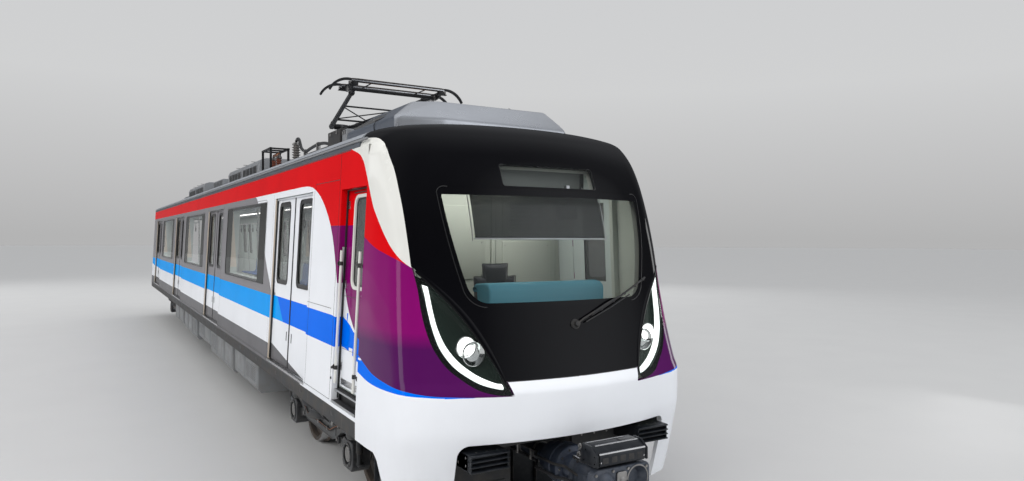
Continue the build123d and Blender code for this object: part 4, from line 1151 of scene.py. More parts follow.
def leaf_piece(node, body, win, window_mat="glass"):
    skin = cad_skin(node)
    if win[0] < 5:
        skin.refine(1, np.arange(win[0] - 0.55, win[0] + 1.0, 0.10))
        skin.refine(2, np.arange(1.25, 3.2, 0.10))
    else:
        skin.refine(2, (1.2, 1.325, 1.45, 1.55, 1.634, 1.72, 1.80, 1.86, 1.915, 2.0, 2.2, 2.5, 2.8, 3.0))
    for fn in WALL_CUTS:
        skin.cut(fn)
    c, n = skin.centres(), face_normals(skin)
    s = -1 if c[:, 0].mean() < 0 else 1
    z = np.full(len(c), "interior", dtype=object)
    out = (n[:, 0] * s > 0.5) | (np.abs(n[:, 1]) > 0.5) | (np.abs(n[:, 2]) > 0.9)
    z[out] = livery(c)[out]
    inside = (c[:, 1] > win[0] - 1e-3) & (c[:, 1] < win[1] + 1e-3) & (c[:, 2] > win[2] - 1e-3) & (c[:, 2] < win[3] + 1e-3)
    z[inside & (np.abs(n[:, 0]) > 0.5)] = window_mat
    z[inside & (np.abs(n[:, 0]) <= 0.5)] = "gasket"
    o = skin_piece(node + "_skin", skin, z, body, None, ((np.abs(n[:, 0]) > 0.9) & (np.abs(n[:, 1]) < 0.1)) * np.sign(n[:, 0] * s).astype(int))
    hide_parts(node)
    return s


def wall_ring(b, s, d0, d1, h0, h1, r, off, tube, mat, seg=6, squash=1.0):
    """A gasket round a rounded rectangle on the leaning side."""
    path = [wall_pt(s, d, h, off) for d, h in rounded(d0, d1, h0, h1, r, 7)]
    b.tube(path, tube, mat, seg, closed=True)


for n, y in enumerate(DOOR_Y, 1):
    for e, end in ((-1, "front"), (1, "rear")):
        for s, side in SIDES:
            wc = y - TIP + e * 0.475
            win = (wc - 0.25, wc + 0.25, LEAF_WIN[0] - RAIL, LEAF_WIN[1] - RAIL)
            body = f"leaf_{side}_{n}_{end}"
            leaf_piece(f"door_{side}_{n}_{end}", body, win)
            b = Build(["gasket", "rubber", "dark", "stainless"])
            # black glass border set into the leaf, and the gasket round it
            o0 = rounded(win[0] - 0.012, win[1] + 0.012, win[2] - 0.012, win[3] + 0.012, 0.075, 8)
            o1 = rounded(win[0] + 0.030, win[1] - 0.030, win[2] + 0.035, win[3] - 0.035, 0.055, 8)
            k = len(o0)
            verts = [wall_pt(s, d, h, -0.0385) for d, h in o0] + [wall_pt(s, d, h, -0.0385) for d, h in o1]
            faces = [(i, (i + 1) % k, k + (i + 1) % k, k + i) for i in range(k)]
            b.add(verts, [f if s > 0 else f[::-1] for f in faces], "gasket")
            b.tube([wall_pt(s, d, h, -0.038) for d, h in o0], 0.006, "gasket", 6, closed=True)
            # closing-edge rubber
            cd_ = y - TIP + e * 0.006
            b.box(0, 1, 0, 1, 0, 1, "rubber")
            start = len(b.v) - 8
            b.map(lambda x, yy, zz, s=s, c0=cd_, e=e: (s * (float(side_x(FLOOR + 0.01 + zz * (DOOR_TOP - FLOOR - 0.02))) - 0.037 - 0.040 * x), TIP + c0 + e * 0.016 * yy, FLOOR + 0.01 + zz * (DOOR_TOP - FLOOR - 0.02)), start)
            # finger pull
            hd = y - TIP + e * 0.115
            q = len(b.v)
            b.box(-0.004, 0.004, hd + TIP - 0.011, hd + TIP + 0.011, RAIL + 1.44, RAIL + 1.545, "dark", 0.004)
            b.map(lambda x, yy, zz, s=s: (s * (float(side_x(zz)) - 0.040) + x, yy, zz), q)
            b.done(f"door_trim_{side}_{n}_{end}", body, "rubber")

for s, side in SIDES:
    for n, y in enumerate(DOOR_Y, 1):
        b = Build(["gasket", "stainless", "rubber", "jamb", "tread", "dark", "white", "band"])
        d0, d1 = y - TIP - DOOR_W / 2, y - TIP + DOOR_W / 2
        for d in (d0, d1):
            # brush seals where the leaves enter the wall
            q = len(b.v)
            b.box(-0.006, 0.006, -0.008, 0.008, FLOOR + 0.012, DOOR_TOP - 0.005, "rubber", 0.003)
            sgn = 1 if d == d1 else -1
            b.map(lambda x, yy, zz, s=s, d=d, sgn=sgn: (s * (float(side_x(zz)) - 0.024) + x, TIP + d - sgn * 0.006 + yy, zz), q)
        # ribbed threshold plate and its nose
        z0 = FLOOR - 0.022
        b.box(s * 1.385, s * 1.4555, TIP + d0 - 0.02, TIP + d1 + 0.02, z0, FLOOR + 0.004, "stainless", 0.004)
        for k in range(5):
            b.box(s * (1.389 + 0.013 * k), s * (1.395 + 0.013 * k), TIP + d0, TIP + d1, FLOOR + 0.003, FLOOR + 0.0065, "tread", 0.001)
        # header trim over the leaves
        q = len(b.v)
        b.box(-0.004, 0.004, TIP + d0 + 0.004, TIP + d1 - 0.004, DOOR_TOP - 0.022, DOOR_TOP - 0.004, "white" if n < 2 else "band", 0.002)
        b.map(lambda x, yy, zz, s=s: (s * (float(side_x(zz)) - 0.026) + x, yy, zz), q)
        b.done(f"doorway_trim_{side}_{n}", "car_body", "stainless")

# ---------------------------------------------------------------- saloon side windows
for s, side in SIDES:
    panes = Build(["glass", "frit", "pocket_glass"])
    trim = Build(["gasket", "band"])
    for y in BAYS:
        d = y - TIP
        h0, h1 = WIN_Z[0] - RAIL, WIN_Z[1] - RAIL
        o = rounded(d - PANE_W / 2 + 0.004, d + PANE_W / 2 - 0.004, h0 + 0.004, h1 - 0.004, 0.075, 8)
        skin = Skin([(u, v, 0) for u, v in o], [tuple(range(len(o)))])
        for x in (d - WIN_W / 2 + 0.012, d + WIN_W / 2 - 0.012):
            skin.cut(lambda p, x=x: p[:, 0] - x)
        c = skin.centres()
        for face, cc in zip(skin.f, c):
            ids = face if s < 0 else face[::-1]
            verts = [wall_pt(s, skin.v[i][0], skin.v[i][1], -0.0022) for i in ids]
            verts.reverse()
            panes.add(verts, [tuple(range(len(verts)))], "glass" if abs(cc[0] - d) < WIN_W / 2 - 0.012 else "pocket_glass")
        trim.tube([wall_pt(s, u, v, -0.003) for u, v in o], 0.007, "gasket", 6, closed=True)
        o2 = rounded(d - PANE_W / 2 - 0.028, d + PANE_W / 2 + 0.028, h0 - 0.028, h1 + 0.028, 0.095, 8)
        trim.tube([wall_pt(s, u, v, -0.004) for u, v in o2], 0.006, "band", 6, closed=True)
    panes.done(f"saloon_panes_{side}", "car_body", "glass")
    # rounded sill strip along the foot of the side
    strip = Build(["white", "sill_grey"])
    for d0, d1, key in ((1.2395, 3.02, "white"), (3.02, END - TIP - 0.005, "sill_grey")):
        sec = [(1.40, 1.086), (1.444, 1.086), (1.4525, 1.094), (1.4538, 1.106), (1.4505, 1.1285), (1.40, 1.1285)]
        strip.prism([(s * x, RAIL + h) for x, h in sec][::(1 if s > 0 else -1)], "y", TIP + d0, TIP + d1, key, 0.0)
    strip.done(f"sill_strip_{side}", "car_body", "body_paint")
    trim.done(f"saloon_window_trim_{side}", "car_body", "rubber")
    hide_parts(f"side_windows_{side}")

# ---------------------------------------------------------------- joints between the body panels
for s, side in SIDES:
    b = Build(["gasket"])

    def joint(pts, r=0.0032):
        b.tube([wall_pt(s, d, h, -0.0012) for d, h in pts], r, "gasket", 5)

    joint([(1.985, 1.14), (1.985, 3.415)])
    joint([(1.985, 3.176), (2.80, 3.180), (2.80, 3.13)])
    joint([(2.07, 1.973), (2.905, 1.973)])
    joint([(1.985, 2.748), (2.22, 2.748)], 0.002)
    for n, y in enumerate(DOOR_Y):
        d = y - TIP
        for e in (-1, 1):
            if n == 0 and e < 0:
                joint([(d - 0.915, 1.14), (d - 0.915, 3.165)], 0.0025)
                continue
            if n == 3 and e > 0:
                joint([(d + 0.915, 1.14), (d + 0.915, 3.165)], 0.0025)
                continue
            joint([(d + e * 0.935, 1.14), (d + e * 0.935, 3.165)], 0.0022)
    joint([(1.985, 1.142), (END - TIP - 0.02, 1.142)], 0.003)
    joint([(1.72, 3.424), (END - TIP - 0.02, 3.424)], 0.004)
    b.done(f"panel_joints_{side}", "car_body", "rubber")


# ================================================================ headlights
def front_point(x, h, off=0.0):
    """A point on the nose in the front view: world position at x, height h above rail, off metres outwards along the normal, and the normal."""
    ax_ = abs(x)
    d = float(pchip(PROFILE, h) + section(ax_, side_x(h + RAIL)))
    e = 0.004
    dx = (float(section(ax_ + e, side_x(h + RAIL))) - float(section(max(ax_ - e, 0), side_x(h + RAIL)))) / (ax_ + e - max(ax_ - e, 0))
    dh = (float(pchip(PROFILE, h + e) + section(ax_, side_x(h + e + RAIL))) - float(pchip(PROFILE, h - e) + section(ax_, side_x(h - e + RAIL)))) / (2 * e)
    n = Vector((dx * (1 if x >= 0 else -1), -1.0, dh)).normalized()
    return Vector((x, d + TIP, h + RAIL)) + n * off, n


LAMP_IN = smooth_line([(1.212, 2.345), (1.185, 2.235), (1.172, 2.09), (1.152, 1.95), (1.112, 1.812), (1.04, 1.69), (0.945, 1.607), (0.845, 1.545), (0.73, 1.508), (0.655, 1.497)], 5)[:-1] + \
    [(0.655, 1.497), (0.672, 1.545)] + smooth_line([(0.690, 1.60), (0.735, 1.72), (0.80, 1.85), (0.885, 1.985), (0.985, 2.11), (1.09, 2.225), (1.18, 2.315)], 5)
LED_OUT = [(1.190, 2.285), (1.176, 2.20), (1.165, 2.09), (1.143, 1.953), (1.102, 1.815), (1.030, 1.695), (0.937, 1.610), (0.84, 1.552), (0.73, 1.515), (0.672, 1.508)]
LED_IN = [(1.128, 2.262), (1.118, 2.18), (1.104, 2.075), (1.078, 1.95), (1.032, 1.832), (0.965, 1.738), (0.885, 1.663), (0.80, 1.607), (0.725, 1.573), (0.690, 1.566)]
for s, side in SIDES:
    b = Build(["housing", "led", "lamp", "chrome", "black", "dark", "frit"])
    # black bezel: the band of lens between the lamp outline and the clear inner outline, set just under the surface
    n_b = 96

    def resample(poly, n):
        p = np.array(poly + [poly[0]], float)
        l = np.concatenate([[0], np.cumsum(np.hypot(*np.diff(p, axis=0).T))])
        t = np.linspace(0, l[-1], n, endpoint=False)
        return np.stack([np.interp(t, l, p[:, 0]), np.interp(t, l, p[:, 1])], -1)

    outer_l, inner_l = resample(LAMP, 240), resample(LAMP_IN, n_b)
    ring_o = [outer_l[np.argmin(np.hypot(*(outer_l - q).T))] for q in inner_l]
    vo = [front_point(s * q[0], q[1], -0.004)[0] for q in ring_o]
    vi = [front_point(s * q[0], q[1], -0.006)[0] for q in inner_l]
    vd = [front_point(s * q[0], q[1], -0.050)[0] for q in inner_l]
    centre = inner_l.mean(0)
    small = [centre + (q - centre) * 0.93 for q in inner_l]
    vb = [front_point(s * q[0], q[1], -0.085)[0] for q in small]
    base = [v[:] for v in vo + vi + vd + vb]
    quad = lambda a, c: [(a * n_b + i, a * n_b + (i + 1) % n_b, c * n_b + (i + 1) % n_b, c * n_b + i) for i in range(n_b)]
    fix = (lambda fs: fs) if s > 0 else (lambda fs: [f[::-1] for f in fs])
    b.add(base, fix(quad(0, 1)), "frit")
    b.add(base, fix(quad(1, 2)), "housing")
    b.add(base, fix(quad(2, 3)), "housing")
    # back of the bowl: rings shrinking to the middle
    rings, last = [vb], small
    for f_ in (0.75, 0.5, 0.25, 0.06):
        last = [centre + (q - centre) * f_ for q in small]
        rings.append([front_point(s * q[0], q[1], -0.092 - 0.01 * (1 - f_))[0] for q in last])
    verts = [v[:] for ring in rings for v in ring]
    for k in range(len(rings) - 1):
        b.add(verts, fix([(k * n_b + i, k * n_b + (i + 1) % n_b, (k + 1) * n_b + (i + 1) % n_b, (k + 1) * n_b + i) for i in range(n_b)]), "housing")
    b.add([v[:] for v in rings[-1]], fix([tuple(range(n_b))]), "housing")
    # light guide: a rounded bar following the outer edge of the bowl
    lo, li = smooth_line(LED_OUT, 6), smooth_line(LED_IN, 6)
    k = min(len(lo), len(li))
    cross = [(0.0, -0.045), (0.04, -0.020), (0.25, -0.010), (0.5, -0.008), (0.75, -0.010), (0.96, -0.020), (1.0, -0.045)]
    verts = []
    for i in range(k):
        for t, off in cross:
            verts.append(front_point(s * (lo[i][0] * (1 - 0.66 * t) + li[i][0] * 0.66 * t), lo[i][1] * (1 - 0.66 * t) + li[i][1] * 0.66 * t, off - 0.002)[0][:])
    m = len(cross)
    faces = [(i * m + j, i * m + j + 1, (i + 1) * m + j + 1, (i + 1) * m + j) for i in range(k - 1) for j in range(m - 1)]
    faces += [tuple(range(m))[::-1], tuple((k - 1) * m + j for j in range(m))]
    b.add(verts, faces, "led")
    # main lamp: bowl, bright lens, chrome ring beside it
    c0, n0 = front_point(s * 0.918, 1.826, -0.070)
    axis = Vector((0, -1, 0)) * 0.8 + n0 * 0.2
    b.lathe(c0, c0 + axis, [(0.0, 0.055), (0.020, 0.078), (0.048, 0.084), (0.052, 0.080), (0.050, 0.074), (0.026, 0.066), (0.022, 0.02)], "chrome", 40, False)
    b.lathe(c0, c0 + axis, [(0.024, 0.067), (0.034, 0.060), (0.042, 0.040), (0.046, 0.018), (0.047, 0.001)], "lamp", 36)
    c1, n1 = front_point(s * 0.862, 1.775, -0.075)
    b.lathe(c1, c1 + axis, [(0.0, 0.080), (0.034, 0.096), (0.040, 0.096), (0.042, 0.090), (0.034, 0.080), (0.012, 0.060), (0.010, 0.001)], "chrome", 40, False)
    # ridge along the inner edge: a rounded gloss moulding that stands a little proud
    spine = smooth_line([(1.213, 2.385), (1.13, 2.30), (1.00, 2.165), (0.885, 2.02), (0.79, 1.865), (0.715, 1.715), (0.668, 1.60), (0.650, 1.55)], 8)
    verts, m = [], 7
    for i, q in enumerate(spine):
        t = i / (len(spine) - 1)
        w = 0.030 * math.sin(math.pi * min(1, 0.10 + 0.9 * t)) ** 0.4 * (0.55 + 0.45 * math.sin(math.pi * t))
        q0, q1 = np.array(spine[max(i - 1, 0)]), np.array(spine[min(i + 1, len(spine) - 1)])
        tg = (q1 - q0) / np.linalg.norm(q1 - q0)
        side_v = np.array([tg[1], -tg[0]])
        for j in range(m):
            a = math.pi * j / (m - 1)
            r_ = np.array(q) + side_v * w * math.cos(a)
            verts.append(front_point(s * r_[0], r_[1], -0.004 + 0.011 * math.sin(a))[0][:])
    faces = [(i * m + j, i * m + j + 1, (i + 1) * m + j + 1, (i + 1) * m + j) for i in range(len(spine) - 1) for j in range(m - 1)]
    b.add(verts, faces, "black")
    b.done(f"headlamp_{side}", "car_body", "lamp", 40)


# ================================================================ windscreen details
b = Build(["dark", "rubber", "gasket"])
# wiper: two slim arms from a spindle under the screen, blade lying along the lower right of the glass
pa, pb, pc_ = front_point(0.10, 1.98, 0.030)[0], front_point(0.40, 2.10, 0.040)[0], front_point(0.86, 2.235, 0.030)[0]
spindle, sn = front_point(0.03, 1.945, 0.0)
b.lathe(spindle - sn * 0.01, spindle + sn * 0.05, [(0, 0.045), (0.018, 0.042), (0.030, 0.026), (0.055, 0.022)], "dark", 24)
b.tube([spindle + sn * 0.036, pa, pb, front_point(0.60, 2.165, 0.038)[0]], 0.008, "dark", 8)
b.tube([front_point(0.13, 1.955, 0.020)[0], front_point(0.42, 2.06, 0.034)[0], front_point(0.66, 2.15, 0.034)[0]], 0.006, "dark", 8)
blade = [front_point(x, 2.005 + (x - 0.20) * 0.39, 0.018)[0] for x in np.linspace(0.20, 0.93, 14)]
b.tube(blade, 0.009, "dark", 8)
b.tube([p + Vector((0, 0.008, -0.006)) for p in blade], 0.006, "rubber", 6)
for x in (0.30, 0.45, 0.60, 0.75, 0.88):
    q = front_point(x, 2.005 + (x - 0.20) * 0.39, 0.026)[0]
    b.box(q.x - 0.018, q.x + 0.018, q.y - 0.008, q.y + 0.008, q.z - 0.008, q.z + 0.008, "dark", 0.004)
b.done("wiper", "car_body", "black_gloss")

# thin gasket lines round the screen and display glass
b = Build(["gasket"])
b.tube([front_point(x, h, -0.001)[0] for x, h in GLASS], 0.0045, "gasket", 6, closed=True)
b.tube([front_point(x, h, -0.001)[0] for x, h in DISPLAY], 0.0035, "gasket", 6, closed=True)
b.tube([front_point(x, SEAM + 0.001, -0.004)[0] for x in np.linspace(-0.64, 0.64, 40)], 0.006, "gasket", 6)
b.done("front_gaskets", "car_body", "rubber")


# ================================================================ cab doors, steps and handrails
for s, side in SIDES:
    leaf_piece(f"cab_door_{side}", f"cab_leaf_{side}", (1.358, 1.722, 2.19, 3.01), "door_glass")
    b = Build(["alu", "ivory", "gasket", "dark", "stainless", "rubber", "frit"])
    R = -CAB_RECESS

    def ring(d0, d1, h0, h1, r, w, off_a, off_b, mat):
        """A flat frame of width w round a rounded opening, raised from off_a to off_b."""
        outer = rounded(d0 - w, d1 + w, h0 - w, h1 + w, r + w, 8)
        inner = rounded(d0, d1, h0, h1, r, 8)
        k = len(outer)
        e = min(0.004, w * 0.3)
        rings = [rounded(d0 - w, d1 + w, h0 - w, h1 + w, r + w, 8), rounded(d0 - w + e, d1 + w - e, h0 - w + e, h1 + w - e, r + w - e, 8),
                 rounded(d0 + e, d1 - e, h0 + e, h1 - e, max(r - e, 0.004), 8), rounded(d0 + 1.6 * e, d1 - 1.6 * e, h0 + 1.6 * e, h1 - 1.6 * e, max(r - e, 0.004), 8)]
        offs = [off_a, off_b, off_b, off_a - 0.008]
        rings[1], offs[1] = rings[1], off_b
        verts, faces = [], []
        for ring_, off in zip(rings, offs):
            verts += [wall_pt(s, d, h, off) for d, h in ring_]
        for q in range(3):
            faces += [(q * k + i, q * k + (i + 1) % k, (q + 1) * k + (i + 1) % k, (q + 1) * k + i) for i in range(k)]
        b.add(verts, faces, mat)

    ring(1.368, 1.712, 2.200, 3.000, 0.075, 0.028, R - 0.001, R + 0.009, "ivory")
    ring(1.386, 1.694, 2.218, 2.982, 0.060, 0.018, R - 0.010, R - 0.006, "gasket")
    # lock plate, lever and keyhole cover on the forward stile
    b.lean(s, R, R + 0.008, 1.262, 1.302, 2.02, 2.20, "stainless", 0.003)
    b.tube([wall_pt(s, 1.283, 2.145, R + 0.006), wall_pt(s, 1.283, 2.145, R + 0.036), wall_pt(s, 1.330, 2.140, R + 0.038)], 0.007, "stainless", 8)
    b.lean(s, R, R + 0.012, 1.270, 1.294, 2.04, 2.068, "dark", 0.004)
    # kick plate and pressed lines in the leaf
    b.lean(s, R, R + 0.0022, 1.29, 1.88, 1.295, 1.35, "stainless", 0.001)
    for h in (1.62, 2.10):
        b.tube([wall_pt(s, 1.262, h, R), wall_pt(s, 1.908, h, R)], 0.0022, "gasket", 5)
    # hinges on the rear stile, kept on the leaf
    for h in (1.42, 2.17, 2.90):
        b.lean(s, R, R + 0.006, 1.872, 1.917, h, h + 0.075, "stainless", 0.002)
        b.bolts([wall_pt(s, 1.895, h + q, R + 0.006) for q in (0.018, 0.057)], (s, 0, 0), 0.005, 0.003, "dark")
    # drip ledge over the window
    b.lean(s, R, R + 0.008, 1.33, 1.76, 3.040, 3.048, "dark", 0.002)
    b.done(f"cab_door_trim_{side}", f"cab_leaf_{side}", "silver")

    b = Build(["ivory", "rubber", "dark", "steel", "stainless", "alu", "gasket"])
    # handrails with flanged ends
    for d, jamb in ((1.365, 1.240), (1.880, 1.930)):
        path = [wall_pt(s, d, h, -0.014) for h in (1.310, 1.325, 1.9, 2.505, 2.520)]
        b.tube(path, 0.0138, "ivory", 14)
        for h in (1.45, 2.40):
            a, c = wall_pt(s, d, h, -0.016), wall_pt(s, jamb, h, -0.016)
            b.rod(a, c, 0.0125, "dark", 12)
            g = 1 if jamb > d else -1
            b.rod((c[0], c[1] - g * 0.010, c[2]), (c[0], c[1] + g * 0.0, c[2]), 0.024, "dark", 16, 0.002)
            b.lathe(wall_pt(s, d, h - 0.019, -0.014), wall_pt(s, d, h + 0.019, -0.014), [(0, 0.014), (0.004, 0.0175), (0.034, 0.0175), (0.038, 0.014)], "dark", 14)
    b.done(f"cab_rails_{side}", "car_body", "body_paint")
    b = Build(["rubber", "dark", "steel", "alu", "gasket"])
    # ribbed treads with a light nosing
    for x0, x1, z0, z1 in ((1.384, 1.454, 0.004, 0.024), (1.374, 1.420, 0.104, 0.122)):
        b.box(s * x0, s * x1, TIP + 1.252, TIP + 1.918, FLOOR + z0, FLOOR + z1 - 0.002, "dark", 0.002)
        b.box(s * (x1 - 0.006), s * (x1 + 0.001), TIP + 1.252, TIP + 1.918, FLOOR + z0 + 0.001, FLOOR + z1, "alu", 0.002)
        n = int((x1 - x0 - 0.012) / 0.009)
        for k in range(n):
            x = x0 + 0.005 + k * 0.009
            b.box(s * x, s * (x + 0.0045), TIP + 1.262, TIP + 1.908, FLOOR + z1 - 0.003, FLOOR + z1, "rubber", 0.001, 1)
    for d in (1.30, 1.85):
        b.box(s * 1.380, s * 1.400, TIP + d, TIP + d + 0.02, FLOOR, FLOOR + 0.105, "dark", 0.002)
        b.bolts([(s * 1.400, TIP + d + 0.01, FLOOR + q) for q in (0.045, 0.080)], (s, 0, 0), 0.006, 0.004)
    # rubber seals down both sides of the niche, and its head
    for d, w in ((1.2445, 0.005), (1.9235, 0.007)):
        b.lean(s, -0.070, -0.052, d - w / 2, d + w / 2, 1.16, 3.07, "rubber", 0.002)
    b.lean(s, -0.070, -0.050, 1.245, 1.925, 3.068, 3.078, "rubber", 0.002)
    b.done(f"cab_steps_{side}_detail", "car_body", "rubber")
    # small door-release buttons and key barrels beside the niche
    b = Build(["dark", "stainless", "gasket"])
    for d, h in ((1.957, 1.44), (1.957, 1.345)):
        b.lathe(wall_pt(s, d, h, -0.002), wall_pt(s, d, h, 0.010), [(0, 0.013), (0.005, 0.013), (0.007, 0.010), (0.0115, 0.008)], "dark", 14)
    b.done(f"cab_door_buttons_{side}", "car_body", "black_gloss")
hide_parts("cab_handrails")
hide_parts("cab_steps")

# backing behind the corner where nose, side and roof meet
b = Build(["ivory", "gasket"])
for s in (-1, 1):
    ds, hs = np.linspace(1.237, 1.345, 6), np.linspace(3.36, 3.435, 6)
    verts = [wall_pt(s, d, h, -0.0165 + 0.0140 * min((d - 1.237) / 0.064, 1.0)) for h in hs for d in ds]
    n_ = len(ds)
    faces = [(j * n_ + i, j * n_ + i + 1, (j + 1) * n_ + i + 1, (j + 1) * n_ + i) for j in range(len(hs) - 1) for i in range(n_ - 1)]
    b.add(verts, faces if s > 0 else [f[::-1] for f in faces], "ivory")
b.done("nose_corner_backing", "car_body", "body_paint")

# ================================================================ cab inside
# lining: the nose shape again, further in, with the screen opening left free
far_lamp = signed(LAMP, ax, ch) < -0.02
lining = keep & ~in_glass & ~in_disp & (ch > 1.16) & (far_lamp | (cd > 0.9)) & (cd < 1.5)
nose_piece("cab_lining", lining, ["lining"], offset=-0.075)

b = Build(["lining", "interior", "gasket", "steel", "console", "alu", "dark", "floor_covering", "diffuser", "glass"])
Y2 = TIP + 2.198
node_mat("cab_bulkhead", "lining")
# bulkhead facing: door in the middle, cupboards beside it, screws and a grille
for x0, x1, z0, z1 in ((-1.19, -0.50, FLOOR + 0.02, RAIL + 3.20), (-0.44, 0.36, FLOOR + 0.03, RAIL + 3.12), (0.42, 1.19, FLOOR + 0.02, RAIL + 3.20)):
    b.box(x0, x1, Y2 - 0.020, Y2, z0, z1, "lining", 0.008, 3)
for x0, x1, z0, z1 in ((-1.12, -0.57, RAIL + 2.42, RAIL + 3.12), (-1.12, -0.57, RAIL + 1.30, RAIL + 2.36), (-0.36, 0.28, RAIL + 2.20, RAIL + 2.98), (0.50, 1.12, RAIL + 2.66, RAIL + 3.12), (0.50, 1.12, RAIL + 1.40, RAIL + 2.60)):
    b.box(x0, x1, Y2 - 0.030, Y2 - 0.015, z0, z1, "lining", 0.006, 3)
    for x in (x0 + 0.035, x1 - 0.035):
        for z in (z0 + 0.04, (z0 + z1) / 2, z1 - 0.04):
            b.lathe((x, Y2 - 0.0295, z), (x, Y2 - 0.034, z), [(0, 0.008), (0.003, 0.007), (0.0042, 0.003)], "steel", 8)
b.box(0.245, 0.275, Y2 - 0.060, Y2 - 0.028, RAIL + 2.10, RAIL + 2.24, "alu", 0.006)
for k in range(7):
    b.box(0.60, 1.02, Y2 - 0.040, Y2 - 0.028, RAIL + 2.74 + k * 0.045, RAIL + 2.765 + k * 0.045, "steel", 0.003)
for x in (-0.47, 0.39):
    b.box(x - 0.022, x + 0.022, Y2 - 0.034, Y2, FLOOR, RAIL + 3.22, "lining", 0.006)
# cab ceiling with two light strips
b.box(-1.13, 1.13, TIP + 0.98, Y2, RAIL + 3.275, RAIL + 3.295, "lining", 0.004)
for x in (-0.62, 0.62):
    b.box(x - 0.06, x + 0.06, TIP + 1.20, TIP + 2.05, RAIL + 3.262, RAIL + 3.278, "diffuser", 0.005)
# cab floor covering
b.box(-1.10, 1.10, TIP + 0.60, Y2, FLOOR + 0.0005, FLOOR + 0.006, "floor_covering", 0.002)
b.box(-1.30, 1.30, TIP + 1.3, Y2, FLOOR + 0.0005, FLOOR + 0.006, "floor_covering", 0.002)
# posts that close the gap between the lining and the cab doorways
for s in (-1, 1):
    b.lean(s, -0.135, -0.064, 1.190, 1.2425, 1.16, 3.28, "lining", 0.006)
b.done("cab_back_panels", "car_body", "interior")

# desk: a wide teal hood over a sloped console, with screens and levers
b = Build(["desk", "console", "screen_dark", "alu", "dark", "gasket", "steel", "chrome"])
hood = [(0.56, 1.86), (0.52, 1.94), (0.53, 2.000), (0.58, 2.028), (0.80, 2.030), (0.94, 2.010), (1.045, 1.960), (1.05, 1.945), (1.03, 1.935), (0.93, 1.965), (0.90, 1.90), (0.66, 1.86)]
b.prism([(TIP + d, RAIL + h) for d, h in hood], "x", -1.075, 1.075, "desk", 0.014, 3)
b.box(-1.06, 1.06, TIP + 0.565, TIP + 0.76, FLOOR + 0.004, FLOOR + 0.78, "console", 0.012, 2)
b.prism([(TIP + 0.62, RAIL + 1.80), (TIP + 1.04, RAIL + 1.84), (TIP + 1.04, RAIL + 1.88), (TIP + 0.90, RAIL + 1.955), (TIP + 0.62, RAIL + 1.955)], "x", -1.04, 1.04, "console", 0.008, 2)
for x, w in ((-0.46, 0.15), (0.0, 0.17), (0.44, 0.15)):
    n = len(b.v)
    b.box(-w, w, -0.005, 0.006, -0.085, 0.085, "dark", 0.006, 2)
    b.box(-w + 0.02, w - 0.02, 0.004, 0.008, -0.068, 0.068, "screen_dark", 0.002)
    c, sn_ = math.cos(math.radians(-35)), math.sin(math.radians(-35))
    b.map(lambda X, Y, Z, x=x, c=c, sn_=sn_: (X + x, TIP + 0.965 + Y * c - Z * sn_, RAIL + 1.925 + Y * sn_ + Z * c), n)
for x in (-0.72, 0.70):
    b.lathe((x, TIP + 0.93, RAIL + 1.935), (x, TIP + 0.96, RAIL + 2.02), [(0, 0.03), (0.01, 0.028), (0.012, 0.010), (0.070, 0.009), (0.075, 0.018), (0.10, 0.020), (0.108, 0.010)], "dark", 18)
    b.box(x - 0.05, x + 0.05, TIP + 0.88, TIP + 0.98, RAIL + 1.93, RAIL + 1.945, "dark", 0.005)
for k in range(9):
    x = -0.24 + 0.06 * k
    b.lathe((x, TIP + 0.90, RAIL + 1.956), (x, TIP + 0.912, RAIL + 1.972), [(0, 0.011), (0.008, 0.011), (0.012, 0.008), (0.016, 0.004)], ("dark", "alu", "chrome")[k % 3], 10)
# gooseneck microphone
b.tube([(0.60, TIP + 0.90, RAIL + 2.0), (0.60, TIP + 0.895, RAIL + 2.10), (0.585, TIP + 0.90, RAIL + 2.18), (0.545, TIP + 0.93, RAIL + 2.215)], 0.005, "dark", 8)
b.lathe((0.545, TIP + 0.93, RAIL + 2.215), (0.52, TIP + 0.945, RAIL + 2.222), [(0, 0.006), (0.004, 0.011), (0.026, 0.011), (0.031, 0.006)], "dark", 12)
# instrument hood: a broad rounded cowl on the desk, with a lip towards the screen
hump = [(0.640, 2.02), (0.640, 2.19), (0.652, 2.225), (0.690, 2.250), (0.760, 2.258), (0.900, 2.246), (0.945, 2.226), (0.958, 2.19), (0.950, 2.17), (0.925, 2.195), (0.880, 2.200), (0.860, 2.02)]
b.prism([(TIP + d, RAIL + h) for d, h in hump], "x", -0.50, 0.70, "desk", 0.022, 4)
b.box(-0.48, 0.68, TIP + 0.632, TIP + 0.645, RAIL + 2.075, RAIL + 2.085, "console", 0.003)
for x, w in ((-0.22, 0.14), (0.17, 0.17), (0.56, 0.14)):
    b.box(x - w, x + w, TIP + 0.852, TIP + 0.872, RAIL + 2.045, RAIL + 2.185, "dark", 0.008, 2)
    b.box(x - w + 0.018, x + w - 0.018, TIP + 0.868, TIP + 0.875, RAIL + 2.06, RAIL + 2.17, "screen_dark", 0.002)
o = b.done("cab_desk_body", "car_body", "desk")
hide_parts("cab_desk")

